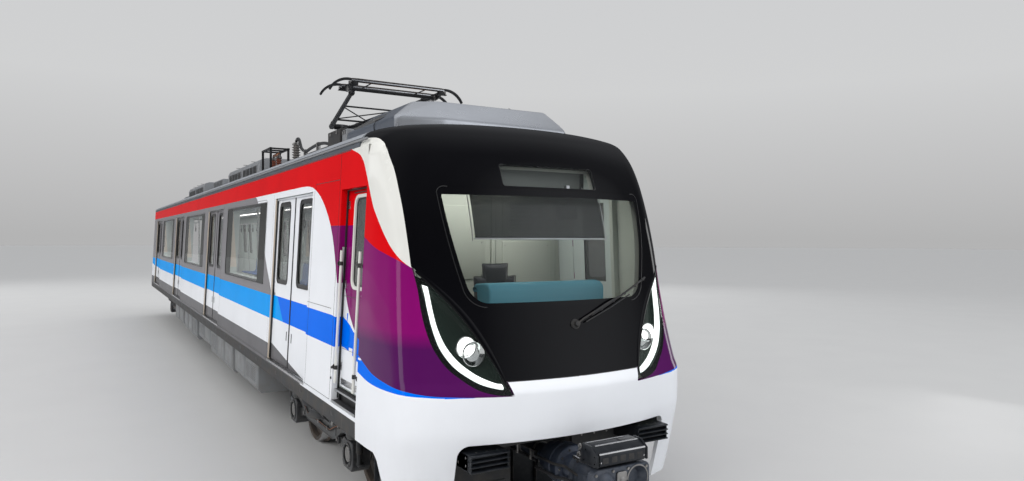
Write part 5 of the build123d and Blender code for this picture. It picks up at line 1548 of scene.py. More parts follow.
# sun visor with its bottom bar, and the lamp box that hangs beside it
b = Build(["visor", "alu", "dark", "console", "gasket"])
xs = np.linspace(-0.74, 0.56, 27)
rows = np.linspace(2.66, 3.035, 9)
verts, nx_ = [], len(xs)
for th in (0.0, 0.003):
    for h in rows:
        for x in xs:
            verts.append(front_point(x, h, -0.085 - th)[0][:])
m = len(rows) * nx_
faces = []
for j in range(len(rows) - 1):
    for i in range(nx_ - 1):
        a = j * nx_ + i
        faces.append((a, a + 1, a + nx_ + 1, a + nx_))
        faces.append((m + a, m + a + nx_, m + a + nx_ + 1, m + a + 1))
rim = [i for i in range(nx_)] + [j * nx_ + nx_ - 1 for j in range(1, len(rows))] + [(len(rows) - 1) * nx_ + i for i in range(nx_ - 2, -1, -1)] + [j * nx_ for j in range(len(rows) - 2, 0, -1)]
faces += [(rim[k], rim[(k + 1) % len(rim)], m + rim[(k + 1) % len(rim)], m + rim[k]) for k in range(len(rim))]
b.add(verts, faces, "visor")
b.tube([front_point(x, 2.657, -0.086)[0] for x in np.linspace(-0.745, 0.565, 24)], 0.007, "alu", 8)
b.tube([front_point(x, 3.045, -0.095)[0] for x in np.linspace(-0.80, 0.80, 30)], 0.016, "alu", 10)
for x in (-0.76, 0.58):
    b.tube([front_point(x, h, -0.088)[0] for h in np.linspace(2.64, 3.04, 8)], 0.004, "alu", 6)
q, qn = front_point(0.22, 2.955, -0.13)
b.box(q.x - 0.085, q.x + 0.085, q.y - 0.035, q.y + 0.075, q.z - 0.110, q.z + 0.012, "console", 0.022, 3)
b.box(q.x - 0.055, q.x + 0.055, q.y - 0.040, q.y - 0.030, q.z - 0.085, q.z - 0.020, "gasket", 0.008, 2)
b.box(q.x - 0.020, q.x + 0.020, q.y, q.y + 0.04, q.z, RAIL + 3.10, "alu", 0.006)
b.done("sun_visor", "car_body", "screen_glass")

# blank destination display
b = Build(["dark", "screen_dark", "blank_sign", "alu", "gasket"])
b.box(-0.495, 0.495, TIP + 0.682, TIP + 0.818, RAIL + 3.055, RAIL + 3.268, "dark", 0.010, 2)
b.box(-0.445, 0.445, TIP + 0.6805, TIP + 0.686, RAIL + 3.085, RAIL + 3.238, "blank_sign", 0.002)
for k in range(8):
    z = RAIL + 3.092 + k * 0.0182
    b.box(-0.435, 0.435, TIP + 0.680, TIP + 0.6825, z, z + 0.015, "blank_sign", 0.0008, 1)
for x in (-0.47, 0.47):
    b.bolts([(x, TIP + 0.682, RAIL + 3.09), (x, TIP + 0.682, RAIL + 3.23)], (0, -1, 0), 0.008, 0.004, "alu")
for k in range(10):
    b.box(-0.40 + k * 0.085, -0.36 + k * 0.085, TIP + 0.72, TIP + 0.79, RAIL + 3.266, RAIL + 3.270, "gasket", 0.001, 1)
o = b.done("display_box", "car_body", "black_gloss")
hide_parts("destination_display")


# ---------------------------------------------------------------- cab seat
def inflate(o, cap, voxel=0.0065, frames=14):
    """Fill a finished cushion with pressure as cloth, then keep each point within cap of where it was cut."""
    def settled():
        dg = bpy.context.evaluated_depsgraph_get()
        return bpy.data.meshes.new_from_object(o.evaluated_get(dg), depsgraph=dg)

    mats = list(o.data.materials)
    m = o.modifiers.new("voxels", "REMESH")
    m.mode, m.voxel_size = "VOXEL", voxel
    bpy.context.view_layer.update()
    me = settled()
    o.modifiers.clear()
    o.data = me
    me.materials.clear()
    for mat in mats:
        me.materials.append(mat)
    start_ = np.empty(len(me.vertices) * 3)
    me.vertices.foreach_get("co", start_)
    c = o.modifiers.new("cloth", "CLOTH")
    st = c.settings
    st.quality, st.mass, st.use_pressure, st.uniform_pressure_force = 4, 0.3, True, 4.0
    st.tension_stiffness = st.compression_stiffness = 18.0
    st.effector_weights.gravity = 0.0
    c.point_cache.frame_start, c.point_cache.frame_end = 1, frames
    for f in range(1, frames + 1):
        bpy.context.scene.frame_set(f)
    moved = settled()
    end_ = np.empty(len(moved.vertices) * 3)
    moved.vertices.foreach_get("co", end_)
    o.modifiers.clear()
    step = (end_ - start_).reshape(-1, 3)
    step = np.nan_to_num(step)
    long_ = np.linalg.norm(step, axis=1, keepdims=True)
    step *= np.minimum(1.0, cap / np.maximum(long_, 1e-9))
    me.vertices.foreach_set("co", (start_.reshape(-1, 3) + step).ravel())
    me.polygons.foreach_set("use_smooth", [True] * len(me.polygons))
    me.update()
    bpy.context.scene.frame_set(1)


def pad(name, size, centre, rot, mat, crown=0.030, channel=None, power=4.5, n=30):
    """A crowned cushion: a rounded box shape that swells between its edges, with a piped seam and sewn channels."""
    w, l, t = size
    us = np.linspace(-1, 1, n + 1)
    c_, s_ = math.cos(rot), math.sin(rot)
    verts, index = [], {}
    quads = []

    def key(i, j, k):
        return (i, j, k)

    def put(i, j, k):
        if (i, j, k) not in index:
            u, v, t_ = us[i], us[j], (-1, 1)[k]
            # pull the outline in between the corners
            fall = (1 - abs(u) ** power) ** (1 / power) * (1 - abs(v) ** power) ** (1 / power)
            sx = 1 - 0.035 * (1 - v * v) * abs(u) ** 3
            sy = 1 - 0.035 * (1 - u * u) * abs(v) ** 3
            x, y = u * w / 2 * sx, v * l / 2 * sy
            z = t_ * (t / 2 * 0.42 + (t / 2 * 0.58) * fall ** 0.55)
            if k == 1:
                z += crown * fall
                for cv, axis_ in channel or ():
                    q_ = (v if axis_ == "v" else u) - cv
                    z -= 0.012 * math.exp(-(q_ / 0.035) ** 2) * fall
                # fine wrinkles toward the seams
                z += 0.0012 * math.sin(u * 31 + v * 7) * (1 - fall) * fall * 4
            index[(i, j, k)] = len(verts)
            verts.append((x, y, z))
        return index[(i, j, k)]

    for i in range(n):
        for j in range(n):
            quads.append((put(i, j, 1), put(i + 1, j, 1), put(i + 1, j + 1, 1), put(i, j + 1, 1)))
            quads.append((put(i, j, 0), put(i, j + 1, 0), put(i + 1, j + 1, 0), put(i + 1, j, 0)))
    edge = [(i, 0) for i in range(n)] + [(n, j) for j in range(n)] + [(i, n) for i in range(n, 0, -1)] + [(0, j) for j in range(n, 0, -1)]
    for a, c in zip(edge, edge[1:] + edge[:1]):
        quads.append((put(a[0], a[1], 0), put(c[0], c[1], 0), put(c[0], c[1], 1), put(a[0], a[1], 1)))

    def place(p):
        x, y, z = p
        return (centre[0] + x, centre[1] + y * c_ - z * s_, centre[2] + y * s_ + z * c_)

    b = Build([mat])
    b.add([place(p) for p in verts], quads, mat)
    line = [verts[put(a[0], a[1], 1)] for a in edge]
    o = b.done(name, "car_body", "fabric", 60)
    inflate(o, 0.006)
    b = Build([mat])
    b.tube([place((x * 1.010, y * 1.010, z)) for x, y, z in line[::2]], 0.0045, mat, 6, closed=True)
    b.done(name + "_piping", "car_body", "fabric", 60)
    return o


SEAT_Y, SEAT_X = TIP + 1.60, 0.20
pad("seat_cushion", (0.50, 0.46, 0.085), (SEAT_X, SEAT_Y - 0.01, FLOOR + 0.462), 0.0, "seat_fabric", 0.012, [(0.0, "u"), (-0.62, "u"), (0.62, "u")])
pad("seat_back", (0.48, 0.56, 0.070), (SEAT_X, TIP + 1.808, FLOOR + 0.84), math.radians(90), "seat_fabric", 0.006, [(-0.35, "v"), (0.05, "v"), (0.45, "v")], n=30)
pad("seat_headrest", (0.29, 0.225, 0.080), (SEAT_X, TIP + 1.806, FLOOR + 1.135), math.radians(90), "seat_fabric", 0.010, None, 2.4, 28)
b = Build(["dark", "steel", "rubber", "chrome"])
b.box(-0.25, 0.25, TIP + 1.37, TIP + 1.81, FLOOR + 0.402, FLOOR + 0.422, "dark", 0.008, 2)
b.lathe((0, SEAT_Y, FLOOR), (0, SEAT_Y, FLOOR + 0.41), [(0, 0.17), (0.012, 0.17), (0.020, 0.16), (0.026, 0.062), (0.20, 0.058), (0.205, 0.045), (0.36, 0.043), (0.372, 0.11), (0.40, 0.12)], "dark", 32)
for z in np.linspace(0.06, 0.19, 7):
    b.lathe((0, SEAT_Y, FLOOR + z), (0, SEAT_Y, FLOOR + z + 0.012), [(0, 0.060), (0.006, 0.068), (0.012, 0.060)], "rubber", 28, False)
b.bolts([(0.14 * math.cos(a), SEAT_Y + 0.14 * math.sin(a), FLOOR + 0.014) for a in np.linspace(0, 2 * math.pi, 8, endpoint=False)], (0, 0, 1), 0.010, 0.008)
for x in (-0.045, 0.045):
    b.rod((x, TIP + 1.822, FLOOR + 1.06), (x, TIP + 1.822, FLOOR + 1.13), 0.007, "chrome", 10)
for s in (-1, 1):
    b.box(s * 0.235, s * 0.262, TIP + 1.45, TIP + 1.80, FLOOR + 0.655, FLOOR + 0.690, "rubber", 0.012, 2)
    b.box(s * 0.238, s * 0.256, TIP + 1.76, TIP + 1.80, FLOOR + 0.42, FLOOR + 0.66, "dark", 0.006)
b.box(-0.20, 0.20, TIP + 1.836, TIP + 1.856, FLOOR + 0.55, FLOOR + 1.06, "dark", 0.010, 2)
b.map(lambda x, y, z: (x + SEAT_X, y, z))
o = b.done("driver_seat_base", "car_body", "frame_black")
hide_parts("driver_seat")

# ================================================================ saloon inside
b = Build(["bench", "alu", "dark", "steel"])
for s, side in SIDES:
    x1 = float(side_x(FLOOR + 0.9)) - 0.115 - 0.012
    for y in BAYS:
        # a row of moulded seats: pan and back swept as one curved section
        sec = [(-0.465, 0.400), (-0.470, 0.418), (-0.455, 0.436), (-0.40, 0.434), (-0.30, 0.422), (-0.16, 0.414), (-0.085, 0.424), (-0.060, 0.455), (-0.052, 0.52),
               (-0.042, 0.66), (-0.026, 0.80), (-0.014, 0.842), (-0.004, 0.850), (0.0, 0.840), (-0.004, 0.50), (-0.02, 0.385), (-0.05, 0.381), (-0.44, 0.384)]
        for k in range(5):
            y0, y1 = y - 1.15 + 0.46 * k + 0.005, y - 1.15 + 0.46 * (k + 1) - 0.005
            b.prism([(s * (x1 + q[0]), FLOOR + q[1]) for q in sec], "y", y0, y1, "bench", 0.006, 2)
        for f in (-1.0, 0.0, 1.0):
            b.prism([(s * (x1 - 0.42), FLOOR + 0.382), (s * (x1 - 0.012), FLOOR + 0.382), (s * (x1 - 0.012), FLOOR + 0.004), (s * (x1 - 0.05), FLOOR + 0.004), (s * (x1 - 0.10), FLOOR + 0.30)],
                    "y", y + f - 0.022, y + f + 0.022, "alu", 0.004)
        b.tube([(s * (x1 - 0.40), y - 1.13, FLOOR + 0.385), (s * (x1 - 0.40), y + 1.13, FLOOR + 0.385)], 0.011, "alu", 8)
o = b.done("bench_seats", "car_body", "seat")
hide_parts("passenger_seats")

b = Build(["stainless", "alu", "ceiling", "diffuser", "floor_covering", "rubber", "gasket"])
for y in DOOR_Y:
    for s in (-1, 1):
        for e in (-1, 1):
            p0, p1 = (s * 0.80, y + e * 0.93, FLOOR), (s * 0.80, y + e * 0.93, RAIL + 3.25)
            b.lathe(p0, p1, [(0, 0.030), (0.006, 0.030), (0.010, 0.017), (RAIL + 3.25 - FLOOR - 0.010, 0.017), (RAIL + 3.25 - FLOOR - 0.006, 0.030), (RAIL + 3.25 - FLOOR, 0.030)], "stainless", 16)
for y in BAYS:
    for s in (-1, 1):
        b.tube([(s * 0.80, y - 1.86, RAIL + 3.02), (s * 0.80, y - 1.5, RAIL + 3.00), (s * 0.80, y + 1.5, RAIL + 3.00), (s * 0.80, y + 1.86, RAIL + 3.02)], 0.016, "stainless", 10)
        for k in range(5):
            yy = y - 1.2 + 0.6 * k
            b.tube([(s * 0.80, yy, RAIL + 3.0), (s * 0.80, yy, RAIL + 2.88)], 0.006, "rubber", 6)
            b.tube([(s * 0.80 + 0.0, yy + 0.055 * math.sin(a), RAIL + 2.82 + 0.06 * math.cos(a)) for a in np.linspace(0, 2 * math.pi, 12, endpoint=False)], 0.008, "gasket", 6, closed=True)
o = b.done("saloon_poles", "car_body", "stainless")
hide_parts("grab_poles")
b = Build(["ceiling", "diffuser", "floor_covering", "alu"])
b.box(-1.185, 1.185, TIP + 2.265, END - 0.095, RAIL + 3.2505, RAIL + 3.2745, "ceiling", 0.004)
for s in (-1, 1):
    for k in range(12):
        y0 = TIP + 2.6 + k * 1.60
        b.box(s * 0.44, s * 0.60, y0, y0 + 1.50, RAIL + 3.236, RAIL + 3.252, "diffuser", 0.006)
    b.box(s * 0.40, s * 0.43, TIP + 2.3, END - 0.12, RAIL + 3.238, RAIL + 3.252, "alu", 0.003)
    b.box(s * 0.61, s * 0.64, TIP + 2.3, END - 0.12, RAIL + 3.238, RAIL + 3.252, "alu", 0.003)
b.box(-0.18, 0.18, TIP + 2.3, END - 0.12, RAIL + 3.232, RAIL + 3.252, "ceiling", 0.008)
o = b.done("saloon_ceiling", "car_body", "interior")
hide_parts("ceiling")
b = Build(["floor_covering", "alu"])
b.box(-1.325, 1.325, TIP + 2.26, END - 0.09, FLOOR + 0.0005, FLOOR + 0.0055, "floor_covering", 0.001)
for y in DOOR_Y:
    b.box(-1.32, -1.26, y - 0.84, y + 0.84, FLOOR + 0.004, FLOOR + 0.0075, "alu", 0.001)
    b.box(1.26, 1.32, y - 0.84, y + 0.84, FLOOR + 0.004, FLOOR + 0.0075, "alu", 0.001)
b.done("saloon_floor", "car_body", "interior")


# ================================================================ roof
def roof_line(n_side=10, off=0.0, x_max=None):
    """Points (x, z) over the roof arch from left to right."""
    pts = np.array(roof_outline()[12:])
    pts = np.vstack([pts, (pts * [-1, 1])[::-1][1:]])
    if x_max is not None:
        pts = pts[np.abs(pts[:, 0]) <= x_max]
    out = []
    for i, p in enumerate(pts):
        a, c = pts[max(i - 1, 0)], pts[min(i + 1, len(pts) - 1)]
        t = (c - a) / np.linalg.norm(c - a)
        n = np.array([-t[1], t[0]])
        if n[1] < 0:
            n = -n
        out.append(tuple(p + n * off))
    return out


skin = cad_skin("roof")
for h in (3.462, 3.515):
    skin.cut(level_fn(h))
c, n = skin.centres(), face_normals(skin)
z = np.full(len(c), "roof", dtype=object)
z[c[:, 2] < 3.515] = "roof_dark"
skin_piece("roof_skin", skin, z, "car_body", angle=30)
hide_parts("roof")

b = Build(["roof", "roof_dark", "unit", "steel", "gasket", "alu", "dark"])
Y_A, Y_B = TIP + 1.52, END - 0.03
arch = roof_line(off=0.002)


def along_roof(h_a, h_b, off_a, off_b, y0, y1, mat):
    """A strip along the roof corner between two heights, standing off the surface."""
    half = [p for p in roof_outline()[12:] if p[0] > 0.9]
    P = np.array(half)
    for s in (-1, 1):
        def at(h, off):
            x = float(np.interp(h, P[:, 1], P[:, 0]))
            x2 = float(np.interp(h + 0.004, P[:, 1], P[:, 0]))
            t = np.array([x2 - x, 0.004])
            t /= np.linalg.norm(t)
            return (s * (x + t[1] * off), h - t[0] * off)
        hs = np.linspace(h_a, h_b, 4)
        pro = [at(h_a, -0.004)] + [at(h, off_a + (off_b - off_a) * k / 3) for k, h in enumerate(hs)] + [at(h_b, -0.004)]
        b.prism([(x, h + RAIL) for x, h in pro], "y", y0, y1, mat, 0.0015, 2)


# drip rail: a light lip over the red, with a dark channel above it
along_roof(3.476, 3.494, 0.013, 0.013, TIP + 1.30, Y_B, "unit")
along_roof(3.500, 3.508, 0.005, 0.005, Y_A, Y_B, "dark")
# welded seams across the roof, each a low flat bead
for y in np.arange(TIP + 3.15, END - 0.3, 1.405):
    for dy in (-0.012, 0.012):
        b.tube([(x, y + dy, zz + RAIL) for x, zz in roof_line(off=0.001, x_max=1.235)], 0.003, "roof", 5)
    b.tube([(x, y, zz + RAIL) for x, zz in roof_line(off=0.000, x_max=1.24)], 0.006, "roof_dark", 6)
# long stiffening swages
for x0 in (-1.02, -0.97, 0.97, 1.02):
    zz = float(np.interp(abs(x0), *np.array(sorted(roof_outline()[26:])).T))
    b.tube([(x0, y, zz + RAIL - 0.001) for y in np.linspace(TIP + 3.05, Y_B, 30)], 0.004, "roof", 6)
# anti-slip walkway strips between the units
for y0, y1 in ((-3.95, -3.45), (-0.35, 0.55), (1.95, 2.95), (6.05, 6.95), (8.85, 10.9)):
    for x0 in (-0.62, 0.62):
        pts = [p for p in roof_line(off=0.006) if abs(p[0] - x0) < 0.18]
        lo, hi = min(q[0] for q in pts), max(q[0] for q in pts)
        zt = float(np.interp(x0, [p[0] for p in sorted(roof_line())], [p[1] for p in sorted(roof_line())]))
        slope = -x0 / 6.06
        n = len(b.v)
        b.box(x0 - 0.15, x0 + 0.15, y0, y1, -0.002, 0.006, "dark", 0.002)
        for k in range(int((y1 - y0) / 0.05)):
            b.box(x0 - 0.14, x0 + 0.14, y0 + 0.02 + k * 0.05, y0 + 0.035 + k * 0.05, 0.005, 0.009, "steel", 0.001, 1)
        b.map(lambda X, Y, Z, zt=zt, x0=x0, slope=slope: (X, Y, RAIL + zt + (X - x0) * slope + Z), n)
# small aerials: three low domes
for y, x0 in ((TIP + 3.35, 0.35), (2.45, 0.0), (9.6, 0.0)):
    zt = RAIL + 3.70 - x0 * x0 / 12.1
    b.lathe((x0, y, zt - 0.004), (x0, y, zt + 0.09), [(0, 0.085), (0.016, 0.085), (0.022, 0.075), (0.060, 0.060), (0.085, 0.030), (0.092, 0.004)], "unit", 28)
    b.bolts([(x0 + 0.074 * math.cos(a), y + 0.074 * math.sin(a), zt + 0.012) for a in np.linspace(0.3, 6.58, 6, endpoint=False)], (0, 0, 1), 0.006, 0.005)
b.done("roof_fittings", "car_body", "roof_grey")

# ---------------------------------------------------------------- fairing over the cab
b = Build(["silver", "gasket", "steel", "grille", "dark", "fair_side"])
F0, F1, F2 = TIP + 1.46, TIP + 1.83, TIP + 2.95
ZL, ZS, ZT = RAIL + 3.56, RAIL + 3.745, RAIL + 3.965
bm = bmesh.new()
# plan of the foot and of the top: the front corners are cut off, the left one more than the right
FOOT = [(-0.985, F0 + 0.075), (-0.52, F0 + 0.005), (0.845, F0 + 0.010), (0.985, F0 + 0.34), (0.985, F2), (-0.985, F2)]
TOP = [(-0.66, F1 + 0.08), (-0.44, F1 - 0.06), (0.775, F1 - 0.06), (0.82, F1 + 0.14), (0.72, F2), (-0.66, F2)]
V = [bm.verts.new((x, y, ZL)) for x, y in FOOT] + [bm.verts.new((x, y, ZS)) for x, y in FOOT] + [bm.verts.new((x, y, ZT)) for x, y in TOP]
bm.faces.new(V[0:6][::-1])
bm.faces.new(V[12:18])
for r in (0, 6):
    for k in range(6):
        q = (k + 1) % 6
        if r == 6:
            bm.faces.new((V[r + k], V[r + q], V[r + 6 + q]))
            bm.faces.new((V[r + k], V[r + 6 + q], V[r + 6 + k]))
        else:
            bm.faces.new((V[r + k], V[r + q], V[r + 6 + q], V[r + 6 + k]))
bmesh.ops.recalc_face_normals(bm, faces=bm.faces)
edges = [e for e in bm.edges if len(e.link_faces) == 2 and e.calc_face_angle(0) > 0.15 and max(v.co.z for v in e.verts) > ZL + 0.01]
bmesh.ops.bevel(bm, geom=edges, offset=0.030, segments=5, profile=0.5, affect="EDGES")
bmesh.ops.triangulate(bm, faces=[f for f in bm.faces if len(f.verts) > 4])
bm.verts.index_update()
bm.normal_update()
sides = [f for f in bm.faces if abs(f.normal.x) > 0.45 and abs(f.normal.y) < 0.12 and f.calc_center_median().y > F0 + 0.36]
co = [v.co[:] for v in bm.verts]
b.add(co, [[v.index for v in f.verts] for f in bm.faces if f not in sides], "silver")
b.add(co, [[v.index for v in f.verts] for f in sides], "fair_side")
bm.free()
# panel joints, fixings along the foot, and louvres in the sides
b.tube([(-0.985, F0 + 0.62, ZL + 0.04), (-0.992, F0 + 0.62, ZS - 0.02), (-0.975, F0 + 0.62, ZS + 0.018), (-0.635, F0 + 0.62, ZT - 0.016), (-0.60, F0 + 0.62, ZT + 0.000), (0.60, F0 + 0.62, ZT + 0.000), (0.635, F0 + 0.62, ZT - 0.016), (0.975, F0 + 0.62, ZS + 0.018), (0.992, F0 + 0.62, ZS - 0.02), (0.985, F0 + 0.62, ZL + 0.04)], 0.0035, "gasket", 5)
b.bolts([(x, F0, ZS - 0.10) for x in np.linspace(-0.45, 0.78, 9)], (0, -1, 0), 0.006, 0.003)
for s in (-1, 1):
    b.bolts([(s * 0.985, F0 + 0.42 + 0.15 * k, ZS - 0.09) for k in range(7)], (s, 0, 0), 0.006, 0.003)
    for k in range(6):
        n = len(b.v)
        b.box(-0.012, 0.004, F0 + 0.72, F0 + 1.36, -0.008, 0.008, "grille", 0.003, 2)
        t = 0.14 + k * 0.12
        x, zz = 0.99 - 0.37 * t, ZS + 0.22 * t
        b.map(lambda X, Y, Z, s=s, x=x, zz=zz: (s * (x + X * 0.51 + Z * 0.2 + 0.004), Y, zz + Z + X * 0.5 + 0.006), n)
for x in (-0.45, 0.45):
    for y in (F1 + 0.12, F2 - 0.12):
        b.tube([(x - 0.03, y, ZT - 0.003), (x - 0.03, y, ZT + 0.024), (x, y, ZT + 0.034), (x + 0.03, y, ZT + 0.024), (x + 0.03, y, ZT - 0.003)], 0.006, "steel", 8)
o = b.done("fairing", "car_body", "silver")
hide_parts("roof_fairing")

# ---------------------------------------------------------------- air-conditioning units
b = Build(["unit", "grille", "dark", "steel", "gasket", "alu", "roof_dark"])
for y0, y1, hw, top in ((-3.4, -0.4, 0.90, 3.96), (3.0, 6.0, 0.90, 3.96)):
    zt = RAIL + top
    sec = [(-hw, RAIL + 3.57), (-hw, zt - 0.10), (-hw + 0.03, zt - 0.035), (-hw + 0.12, zt - 0.006), (hw - 0.12, zt - 0.006), (hw - 0.03, zt - 0.035), (hw, zt - 0.10), (hw, RAIL + 3.57)]
    b.prism(sec, "y", y0, y1, "unit", 0.012, 3)
    ym = (y0 + y1) / 2
    for cy_ in (y0 + 0.55, y1 - 0.55):
        for x in (-0.40, 0.40):
            # fan: raised ring, guard rings and spokes, blades below
            b.lathe((x, cy_, zt - 0.012), (x, cy_, zt), [(0.0, 0.30), (0.010, 0.30), (0.012, 0.285), (0.006, 0.275), (0.004, 0.262)], "alu", 40, False)
            b.lathe((x, cy_, zt - 0.030), (x, cy_, zt), [(0.0, 0.262), (0.0245, 0.262)], "dark", 40)
            for r_ in (0.07, 0.125, 0.18, 0.235):
                b.tube([(x + r_ * math.cos(a), cy_ + r_ * math.sin(a), zt - 0.0035) for a in np.linspace(0, 2 * math.pi, 32, endpoint=False)], 0.003, "steel", 5, closed=True)
            for a in np.linspace(0, math.pi, 4, endpoint=False):
                b.tube([(x - 0.262 * math.cos(a), cy_ - 0.262 * math.sin(a), zt - 0.004), (x + 0.262 * math.cos(a), cy_ + 0.262 * math.sin(a), zt - 0.004)], 0.003, "steel", 5)
            b.lathe((x, cy_, zt - 0.010), (x, cy_, zt - 0.002), [(0, 0.05), (0.006, 0.05), (0.0082, 0.03)], "dark", 20)
    # louvred intakes along both sides
    for s in (-1, 1):
        for ya, yb in ((y0 + 0.18, ym - 0.10), (ym + 0.10, y1 - 0.18)):
            b.box(s * (hw - 0.012), s * (hw + 0.003), ya, yb, RAIL + 3.66, zt - 0.12, "dark", 0.002)
            zs = np.arange(RAIL + 3.675, zt - 0.13, 0.022)
            for zz in zs:
                n = len(b.v)
                b.box(-0.010, 0.010, ya + 0.01, yb - 0.01, -0.0015, 0.0015, "grille", 0.001, 1)
                b.map(lambda X, Y, Z, s=s, zz=zz: (s * (hw + X), Y, zz - X * 0.7 + Z), n)
            for yy in np.linspace(ya, yb, 5):
                b.box(s * (hw + 0.002), s * (hw + 0.012), yy - 0.008, yy + 0.008, RAIL + 3.655, zt - 0.115, "unit", 0.002)
        b.box(s * (hw - 0.005), s * (hw + 0.020), y0 + 0.02, y1 - 0.02, RAIL + 3.615, RAIL + 3.635, "steel", 0.004)
        for yy in np.linspace(y0 + 0.15, y1 - 0.15, 6):
            b.box(s * (hw - 0.02), s * (hw + 0.045), yy - 0.04, yy + 0.04, RAIL + 3.575, RAIL + 3.60, "steel", 0.004)
    # lid joints, latches and lifting eyes
    for yy in (ym - 0.72, ym, ym + 0.72):
        b.box(-hw + 0.02, hw - 0.02, yy - 0.003, yy + 0.003, zt - 0.012, zt - 0.0045, "gasket", 0.001, 1)
    for x in (-0.78, 0.78):
        for yy in (y0 + 0.08, y1 - 0.08):
            b.tube([(x, yy - 0.03, zt - 0.03), (x, yy - 0.03, zt - 0.010), (x, yy, zt - 0.002), (x, yy + 0.03, zt - 0.010), (x, yy + 0.03, zt - 0.03)], 0.005, "steel", 8)
    for e, yy in ((-1, y0), (1, y1)):
        b.box(-0.70, 0.70, yy - 0.004, yy + 0.004, RAIL + 3.72, zt - 0.07, "unit", 0.003)
        for k in range(8):
            b.box(-0.60, 0.60, yy + e * 0.003 - 0.003, yy + e * 0.003 + 0.003, RAIL + 3.735 + k * 0.017, RAIL + 3.742 + k * 0.017, "grille", 0.001, 1)
o = b.done("air_conditioners", "car_body", "frame_grey")
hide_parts("air_conditioning")

# ---------------------------------------------------------------- roof boxes: two resistor cases and an equipment case
b = Build(["unit", "grille", "dark", "steel", "gasket", "insulator", "alu"])
for s in (-1, 1):
    x0, x1, y0, y1, zt = s * 0.35, s * 0.85, 0.6, 1.9, RAIL + 3.88
    b.box(x0, x1, y0, y1, RAIL + 3.60, zt - 0.006, "unit", 0.014, 3)
    for k in range(14):
        y = y0 + 0.07 + k * 0.087
        b.box(x0 + s * 0.03, x1 - s * 0.03, y, y + 0.045, zt - 0.010, zt - 0.001, "grille", 0.003, 2)
    for side_ in (x0, x1):
        e = 1 if side_ > (x0 + x1) / 2 else -1
        for k in range(6):
            b.box(side_ - 0.004, side_ + 0.004 + e * 0.004, y0 + 0.06, y1 - 0.06, RAIL + 3.70 + k * 0.026, RAIL + 3.714 + k * 0.026, "dark", 0.002)
    for y in (y0 - 0.02, y1 + 0.02):
        for x in (x0 + s * 0.08, x1 - s * 0.08):
            b.lathe((x, y, RAIL + 3.62), (x, y, RAIL + 3.76), [(0, 0.022), (0.02, 0.022), (0.025, 0.034), (0.032, 0.022), (0.05, 0.022), (0.055, 0.034), (0.062, 0.022), (0.08, 0.022), (0.085, 0.034), (0.092, 0.022), (0.13, 0.020)], "insulator", 16)
b.box(-0.70, 0.70, 7.0, 8.8, RAIL + 3.60, RAIL + 3.844, "unit", 0.016, 3)
for k in range(4):
    y0 = 7.06 + k * 0.435
    b.box(-0.64, 0.64, y0, y0 + 0.40, RAIL + 3.836, RAIL + 3.849, "unit", 0.008, 2)
    for x in (-0.55, 0.0, 0.55):
        b.tube([(x - 0.05, y0 + 0.2, RAIL + 3.846), (x - 0.045, y0 + 0.2, RAIL + 3.8485), (x + 0.045, y0 + 0.2, RAIL + 3.8485), (x + 0.05, y0 + 0.2, RAIL + 3.846)], 0.0015, "dark", 5)
for s in (-1, 1):
    for k in range(3):
        y0 = 7.10 + k * 0.58
        b.box(s * 0.695, s * 0.708, y0, y0 + 0.50, RAIL + 3.68, RAIL + 3.80, "unit", 0.005)
        for q in (0.06, 0.44):
            b.box(s * 0.705, s * 0.718, y0 + q - 0.02, y0 + q + 0.02, RAIL + 3.785, RAIL + 3.815, "steel", 0.004)
o = b.done("roof_cases", "car_body", "frame_grey")
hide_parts("roof_boxes")


# ================================================================ pantograph
def insulator(b, x, y, z0, z1, r, mat="insulator", sheds=5):
    """A ribbed post between two metal caps."""
    L = z1 - z0
    b.lathe((x, y, z0), (x, y, z1), [(0, r * 0.95), (0.018, r * 0.95), (0.022, r * 0.72)], "steel", 24)
    prof = [(0.020, r * 0.60)]
    a, c = 0.030, L - 0.030
    st = (c - a) / sheds
    for k in range(sheds):
        p = a + k * st
        prof += [(p, r * 0.62), (p + st * 0.25, r * 0.98), (p + st * 0.45, r * 1.0), (p + st * 0.60, r * 0.66)]
    prof.append((L - 0.020, r * 0.60))
    b.lathe((x, y, z0), (x, y, z1), prof, mat, 24)
    b.lathe((x, y, z1 - 0.024), (x, y, z1), [(0, r * 0.72), (0.004, r * 0.95), (0.024, r * 0.95)], "steel", 24)


